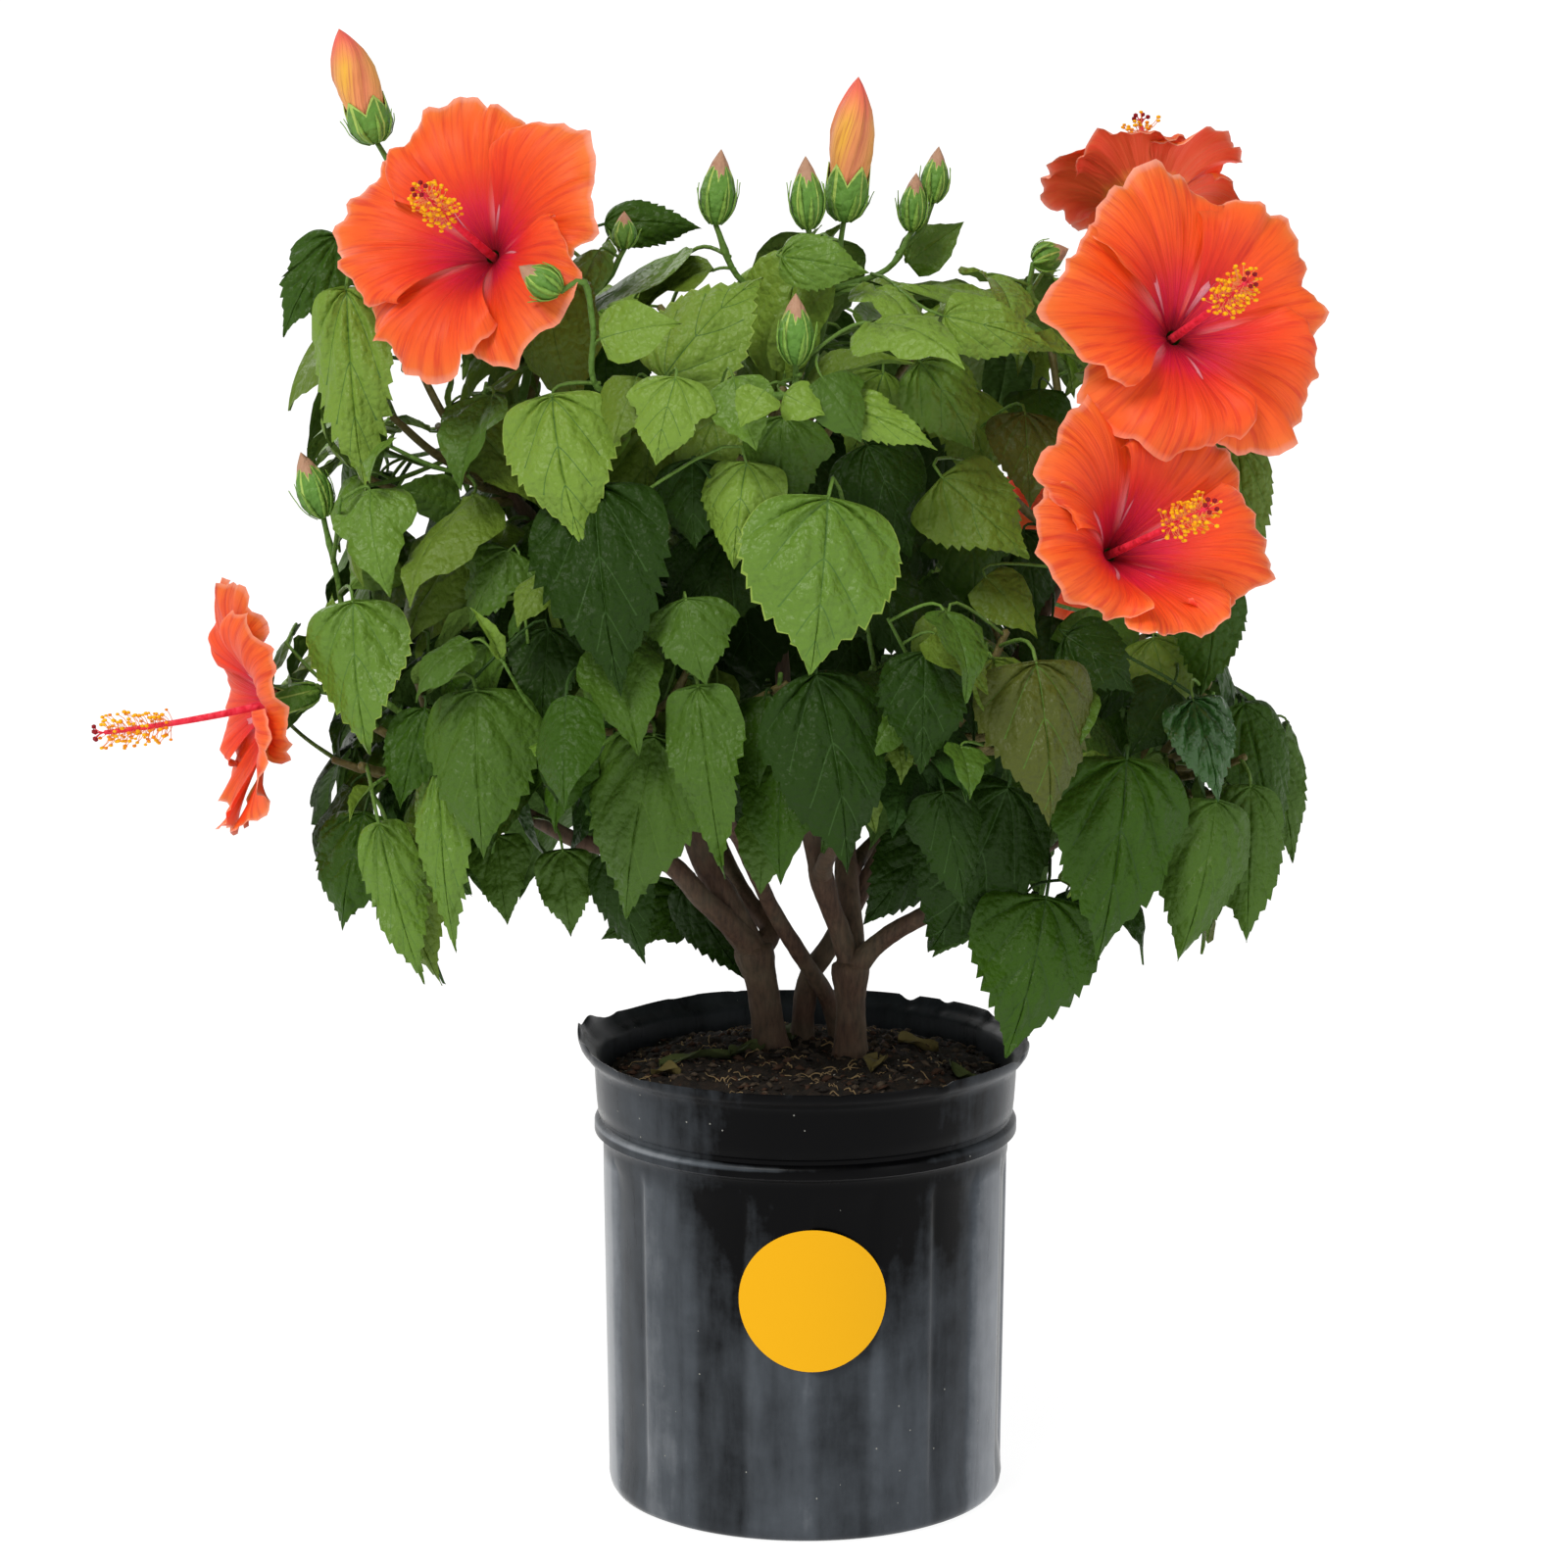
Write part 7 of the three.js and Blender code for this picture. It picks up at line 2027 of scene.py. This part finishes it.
# Flower columns: a slim red tube from the throat, with yellow anthers on fine
# threads round its last third and five dark stigmas at its tip.
COLUMN_SEED = 700
ANTHERS = 104
ANTHERS_FROM = 0.64
ANTHERS_TO = 0.985
COLUMN_STEPS = 16
STIGMAS = 5
# A ball of twenty triangles, by the two sizes of its corners
NEAR, FAR = 0.5257, 0.8507
BALL = np.array([
    corner for p in (-NEAR, NEAR) for q in (-FAR, FAR) for corner in ((p, q, 0), (0, p, q), (q, 0, p))
])


def ball_faces():
    """The twenty triangles of the ball, all facing out."""
    faces = []
    for i in range(12):
        for j in range(i + 1, 12):
            for k in range(j + 1, 12):
                sides = [size(BALL[p] - BALL[q]) for p, q in ((i, j), (j, k), (i, k))]
                if max(sides) < 1.2:
                    outward = np.cross(BALL[j] - BALL[i], BALL[k] - BALL[i]) @ BALL[i] > 0
                    faces.append((i, j, k) if outward else (i, k, j))
    return np.array(faces)


BALL_FACES = ball_faces()
COLUMN_COLOURS = [
    ("staminal column, waxy rose red", "#E8344A", 0.42), ("stamen thread, pale orange", "#F59A5A", 0.5),
    ("anther, pollen yellow", "#F8B70E", 0.75), ("anther, pollen orange", "#F09410", 0.75),
    ("stigma, velvety dark red", "#8E0F1C", 0.7),
]
COLUMN, THREAD, ANTHER, DARK_ANTHER, STIGMA = range(len(COLUMN_COLOURS))


def add_strap(heap, line, face, widths, thick, slot):
    """A narrow blade along a line, of the given half widths, pointed at both ends."""
    along = np.gradient(line, axis=0)
    along /= np.linalg.norm(along, axis=1)[:, None]
    front = np.array([square(face, way) for way in along])
    side = np.cross(front, along)
    widths = np.asarray(widths)[:, None]
    rings = np.stack([line + front * thick, line + side * widths,
                      line - front * thick, line - side * widths], axis=1)
    rows = len(line)
    base = heap["count"]
    points = np.vstack([rings.reshape(-1, 3), line[:1] - along[:1] * 0.3, line[-1:] + along[-1:] * 0.5])
    add_shape(heap, points, grid_faces(rows, 4, closed=True)[:, ::-1], slot)
    peak = base + rows * 4
    add_fan(heap, base, 4, peak, slot)
    add_fan(heap, peak - 4, 4, peak + 1, slot, flipped=True)


heap = bunch()
for f, flower in enumerate(blooms):
    draw = draw_from(COLUMN_SEED + f)
    base, facing = flower["base"], flower["facing"]
    lean = spoke(flower["across"], flower["third"], 2 * math.pi * next(draw)) * 3 + UP * 5
    t = np.linspace(0, 1, COLUMN_STEPS + 1)[:, None]
    line = base - facing * 6 + facing * (flower["column"] + 2) * t + lean * t ** 2
    add_tube(heap, line, np.linspace(2.5, 1.35, COLUMN_STEPS + 1), 12, COLUMN)
    along, first, second = frames_along(line)
    for k in range(ANTHERS):
        share = ANTHERS_FROM + (ANTHERS_TO - ANTHERS_FROM) * (k + next(draw)) / ANTHERS
        cell = min(int(share * COLUMN_STEPS), COLUMN_STEPS - 1)
        weight = share * COLUMN_STEPS - cell
        root = line[cell] * (1 - weight) + line[cell + 1] * weight
        angle = k * GOLDEN_ANGLE + 0.5 * next(draw)
        out = spoke(first[cell], second[cell], angle)
        reach = 5.6 + 5.2 * next(draw)
        end = root + (out + along[cell] * (0.15 + 0.5 * next(draw))) * reach
        thread = bend(root, root + out * 0.6 * reach, end, 3)
        add_tube(heap, thread, np.full(4, 0.22), 4, THREAD)
        stretch = np.array([1.25, 0.95, 1.0]) * (0.85 + 0.4 * next(draw))
        add_shape(heap, end + BALL * stretch, BALL_FACES, ANTHER if next(draw) < 0.75 else DARK_ANTHER)
    for k in range(STIGMAS):
        angle = 2 * math.pi * (k + 0.4 * next(draw)) / STIGMAS
        out = spoke(first[-1], second[-1], angle)
        end = line[-1] + along[-1] * 5.5 + out * (3.6 + 0.8 * next(draw))
        style = bend(line[-1] - along[-1], line[-1] + along[-1] * 4, end, 4)
        add_tube(heap, style, np.full(5, 0.35), 6, COLUMN)
        add_shape(heap, end + BALL * 1.5, BALL_FACES, STIGMA)
columns = make_piece("flower_columns", heap, [leaf_material(*row) for row in COLUMN_COLOURS])
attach(columns, "root")


# Calyxes and buds: green cups of five pointed lobes with paler edges, and a
# ring of narrow bracts that hug each one. Furled petals stand out of the buds.
CALYX_SIDES = 50
CUP_STEPS = 15
CUP_SEED = 760
BUD_SEED = 820
# Height above the petals' foot and radius, up the calyx of an open flower
CALYX_PROFILE = np.array([(-22, 2.3), (-20.5, 4.6), (-16, 6.9), (-9, 7.9), (-3, 8.2), (2, 9.6), (5.5, 12.4),
                          (8.5, 15.6)])
SEPAL_GREENS = [("calyx, leaf green", "#5F8A32", 0.45), ("calyx edge, pale green", "#A2BC5C", 0.48),
                ("bract, light green", "#7DA444", 0.46), ("bud calyx, deep green", "#5E8A36", 0.45)]
CUP, CUP_EDGE, BRACT, BUD_GREEN = range(len(SEPAL_GREENS))
FURL_SIDES = 48
FURL_PETALS = 3
heap = bunch()
furl_heap = bunch()
furl_pattern = []


def add_bracts(heap, foot, heading, count, profile, reach, draw):
    """A ring of narrow bracts that follow a cup's profile from its foot and turn out at their tips."""
    first = square(np.array([1.0, 0.2, 0.1]), heading)
    second = np.cross(heading, first)
    t = np.linspace(0, 1, 9)
    for k in range(count):
        angle = 2 * math.pi * (k + 0.3 * next(draw)) / count
        out = spoke(first, second, angle)
        long = reach * (0.75 + 0.4 * next(draw))
        splay = 1.2 + 4.0 * next(draw) ** 2
        high = t * long
        wide = np.interp(high, profile[0], profile[1]) + 0.7 + splay * t ** 3
        line = foot + high[:, None] * heading + wide[:, None] * out
        add_strap(heap, line, out, np.array([0.7, 1.2, 1.5, 1.55, 1.45, 1.2, 0.9, 0.55, 0.1]), 0.3, BRACT)


def add_cup(heap, base, heading, first, length, radius, profile, tips, colour):
    """A calyx of five pointed lobes, each with a raised midline and a pale edge."""
    second = np.cross(heading, first)
    turn = np.arange(CALYX_SIDES) / CALYX_SIDES * 2 * math.pi
    lobe = np.abs(((turn / (2 * math.pi) * 5) % 1) - 0.5) * 2
    out = np.cos(turn)[:, None] * first + np.sin(turn)[:, None] * second
    s = np.linspace(0, 1, CUP_STEPS)[:, None] * ((1 - tips) + tips * lobe ** 0.8)[None, :]
    seam = 0.06 * np.exp(-(lobe / 0.12) ** 2) - 0.05 * np.exp(-((1 - lobe) / 0.1) ** 2)
    wide = radius * np.interp(s, profile[0], profile[1]) * (1 - seam[None, :] * np.clip(s * 4, 0, 1))
    body = base + (s * length)[..., None] * heading + wide[..., None] * out[None]
    inner = base + (s * length)[..., None] * heading + (wide - 0.5)[..., None] * out[None]
    rows = np.concatenate([body, inner[::-1]])
    quads = grid_faces(2 * CUP_STEPS, CALYX_SIDES, closed=True)
    row = np.repeat(np.arange(2 * CUP_STEPS - 1), CALYX_SIDES)
    edged = (np.abs(row - CUP_STEPS + 0.5) < 1.6) | (np.tile(lobe, 2 * CUP_STEPS - 1) > 0.94)
    add_shape(heap, rows.reshape(-1, 3), quads, np.where(edged, CUP_EDGE, colour))


for f, flower in enumerate(blooms):
    draw = draw_from(CUP_SEED + f)
    base, facing = flower["base"], flower["facing"]
    foot = base - facing * CALYX_LENGTH
    high = CALYX_PROFILE[:, 0] + CALYX_LENGTH
    wide = CALYX_PROFILE[:, 1]
    add_cup(heap, foot, facing, flower["across"], high[-1], 1.0, (high / high[-1], wide), 0.3, CUP)
    add_bracts(heap, foot, facing, 7, (high, wide), 15, draw)

# Shares of the length and the radius, up the cup and the furled petals of a tall
# bud and of a small one
TALL_CUP = np.array([[0, 0.12, 0.35, 0.7, 1.0], [0.3, 0.72, 0.98, 0.96, 0.94]])
SMALL_CUP = np.array([[0, 0.1, 0.25, 0.45, 0.65, 0.82, 1.0], [0.28, 0.68, 0.95, 1.0, 0.8, 0.48, 0.1]])
TALL_FURL = np.array([[0, 0.2, 0.42, 0.58, 0.75, 0.88, 0.96, 1],
                      [0.62, 0.8, 0.98, 0.98, 0.78, 0.46, 0.2, 0.03]])
SMALL_FURL = np.array([[0, 0.3, 0.6, 0.8, 0.93, 1], [0.5, 0.86, 0.72, 0.46, 0.2, 0.04]])
FURL_STEPS = 22
for b, bud in enumerate(bud for mass in masses.values() for bud in mass["buds"]):
    draw = draw_from(BUD_SEED + b)
    base, tip, radius = bud["base"], bud["tip"], bud["radius"]
    heading = unit(tip - base)
    length = size(tip - base)
    first = square(np.array([1.0, 0.3, 0.0]), heading)
    second = np.cross(heading, first)
    cup, profile, cup_share, slot = (
        (TALL_CUP, TALL_FURL, 0.4, 0) if bud["tall"] else (SMALL_CUP, SMALL_FURL, 0.96, 1))
    cup_length = length * cup_share
    add_cup(heap, base, heading, first, cup_length, radius, cup, 0.36, BUD_GREEN)
    reach = 0.62 * min(cup_length, 38)
    add_bracts(heap, base, heading, 8, (cup[0] * cup_length, cup[1] * radius), reach, draw)
    furl_from = 0.1 * length
    s = np.linspace(0, 1, FURL_STEPS)[:, None]
    column = np.arange(FURL_SIDES)
    share = (column % (FURL_SIDES // FURL_PETALS)) / (FURL_SIDES // FURL_PETALS)
    angle = column / FURL_SIDES * 2 * math.pi + 1.2 * s
    wide = radius * np.interp(s, *profile) * (0.93 + 0.12 * share[None, :] * np.clip(s * 5, 0, 1)) * (
        1 + 0.012 * np.sin(9 * angle + 14 * s))
    out = np.cos(angle)[..., None] * first + np.sin(angle)[..., None] * second
    spine = base + (furl_from + (length - furl_from) * s)[..., None] * heading
    furl = spine + wide[..., None] * out
    tip_point = base + heading * (length + 0.5)
    quads = grid_faces(FURL_STEPS, FURL_SIDES, closed=True)
    add_shape(furl_heap, np.vstack([furl.reshape(-1, 3), tip_point[None]]), quads, slot)
    peak = furl_heap["count"] - 1
    add_fan(furl_heap, peak - FURL_SIDES, FURL_SIDES, peak, slot)
    # Where each face is on the furl's pattern: across one petal, and up the bud
    left = np.tile(share, FURL_STEPS - 1)
    right = left + FURL_PETALS / FURL_SIDES
    low = np.repeat(np.arange(FURL_STEPS - 1) / (FURL_STEPS - 1), FURL_SIDES) + b
    high = low + 1 / (FURL_STEPS - 1) * 0.999
    corners = np.stack([left, low, right, low, right, high, left, high], axis=1)
    furl_pattern.append(corners.reshape(-1, 2))
    furl_pattern.append(np.tile([0.5, b + 0.999], (3 * FURL_SIDES, 1)))
cups = make_piece("calyxes_and_buds", heap, [leaf_material(*row) for row in SEPAL_GREENS])
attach(cups, "root")

# Furled petals: peach and golden yellow, rose along their edges and at the tip,
# with feathery streaks
silk, tree, shader = new_material("furled petal, golden and rose silk", Roughness=0.5,
                                  Specular_IOR_Level=0.3)
flat = add_node(tree, "ShaderNodeUVMap", uv_map="Petal")
split = add_node(tree, "ShaderNodeSeparateXYZ", {"Vector": flat.outputs["UV"]})
skewed = add_node(tree, "ShaderNodeMapping", {"Vector": flat.outputs["UV"]}, Rotation=(0, 0, 0.7),
                  Scale=(1.0, 0.1, 1.0))
streaks = add_node(tree, "ShaderNodeTexNoise", {"Vector": skewed.outputs["Vector"]}, Scale=22.0, Detail=4.0)
side = add_node(tree, "ShaderNodeMath", {0: streaks.outputs["Fac"], 1: 0.3, 2: split.outputs["X"]},
                operation="MULTIPLY_ADD")
tone = add_node(tree, "ShaderNodeValToRGB", {"Fac": side.outputs[0]})
FURL_RAMP = [(0.0, "#C4503C"), (0.2, "#D8805A"), (0.42, "#E8A05A"), (0.75, "#E5AC3C"), (1.0, "#DE8A54")]
set_ramp(tone, FURL_RAMP)
height = add_node(tree, "ShaderNodeMath", {0: split.outputs["Y"]}, operation="FRACT")
tip_share = add_node(tree, "ShaderNodeMapRange", {"Value": height.outputs[0]}, From_Min=0.66,
                     From_Max=0.92, To_Min=0.0, To_Max=0.85)
tipped = add_node(tree, "ShaderNodeMix", {0: tip_share.outputs["Result"], 6: tone.outputs["Color"],
                  7: linear("#EC5A56")}, data_type="RGBA")
foot_share = add_node(tree, "ShaderNodeMapRange", {"Value": height.outputs[0]}, From_Min=0.5,
                      From_Max=0.2, To_Min=0.0, To_Max=0.6)
footed = add_node(tree, "ShaderNodeMix", {0: foot_share.outputs["Result"], 6: tipped.outputs[2],
                  7: linear("#EE9A6E")}, data_type="RGBA")
feather = add_node(tree, "ShaderNodeMapRange", {"Value": streaks.outputs["Fac"]}, From_Min=0.5,
                   From_Max=0.66, To_Min=0.0, To_Max=0.6)
feathered = add_node(tree, "ShaderNodeMix", {0: feather.outputs["Result"], 6: footed.outputs[2],
                     7: linear("#B4643C")}, data_type="RGBA")
tree.links.new(feathered.outputs[2], shader.inputs["Base Color"])
bump = add_node(tree, "ShaderNodeBump", {"Height": streaks.outputs["Fac"]}, Strength=0.7, Distance=0.0009)
tree.links.new(bump.outputs["Normal"], shader.inputs["Normal"])
half_ripe = leaf_material("furled petal, tan and rose, half ripe", "#AE866C", 0.5)
furls = make_piece("furled_petals", furl_heap, [silk, half_ripe])
layer = furls.data.uv_layers.new(name="Petal")
layer.data.foreach_set("uv", np.concatenate(furl_pattern).ravel())
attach(furls, "root")
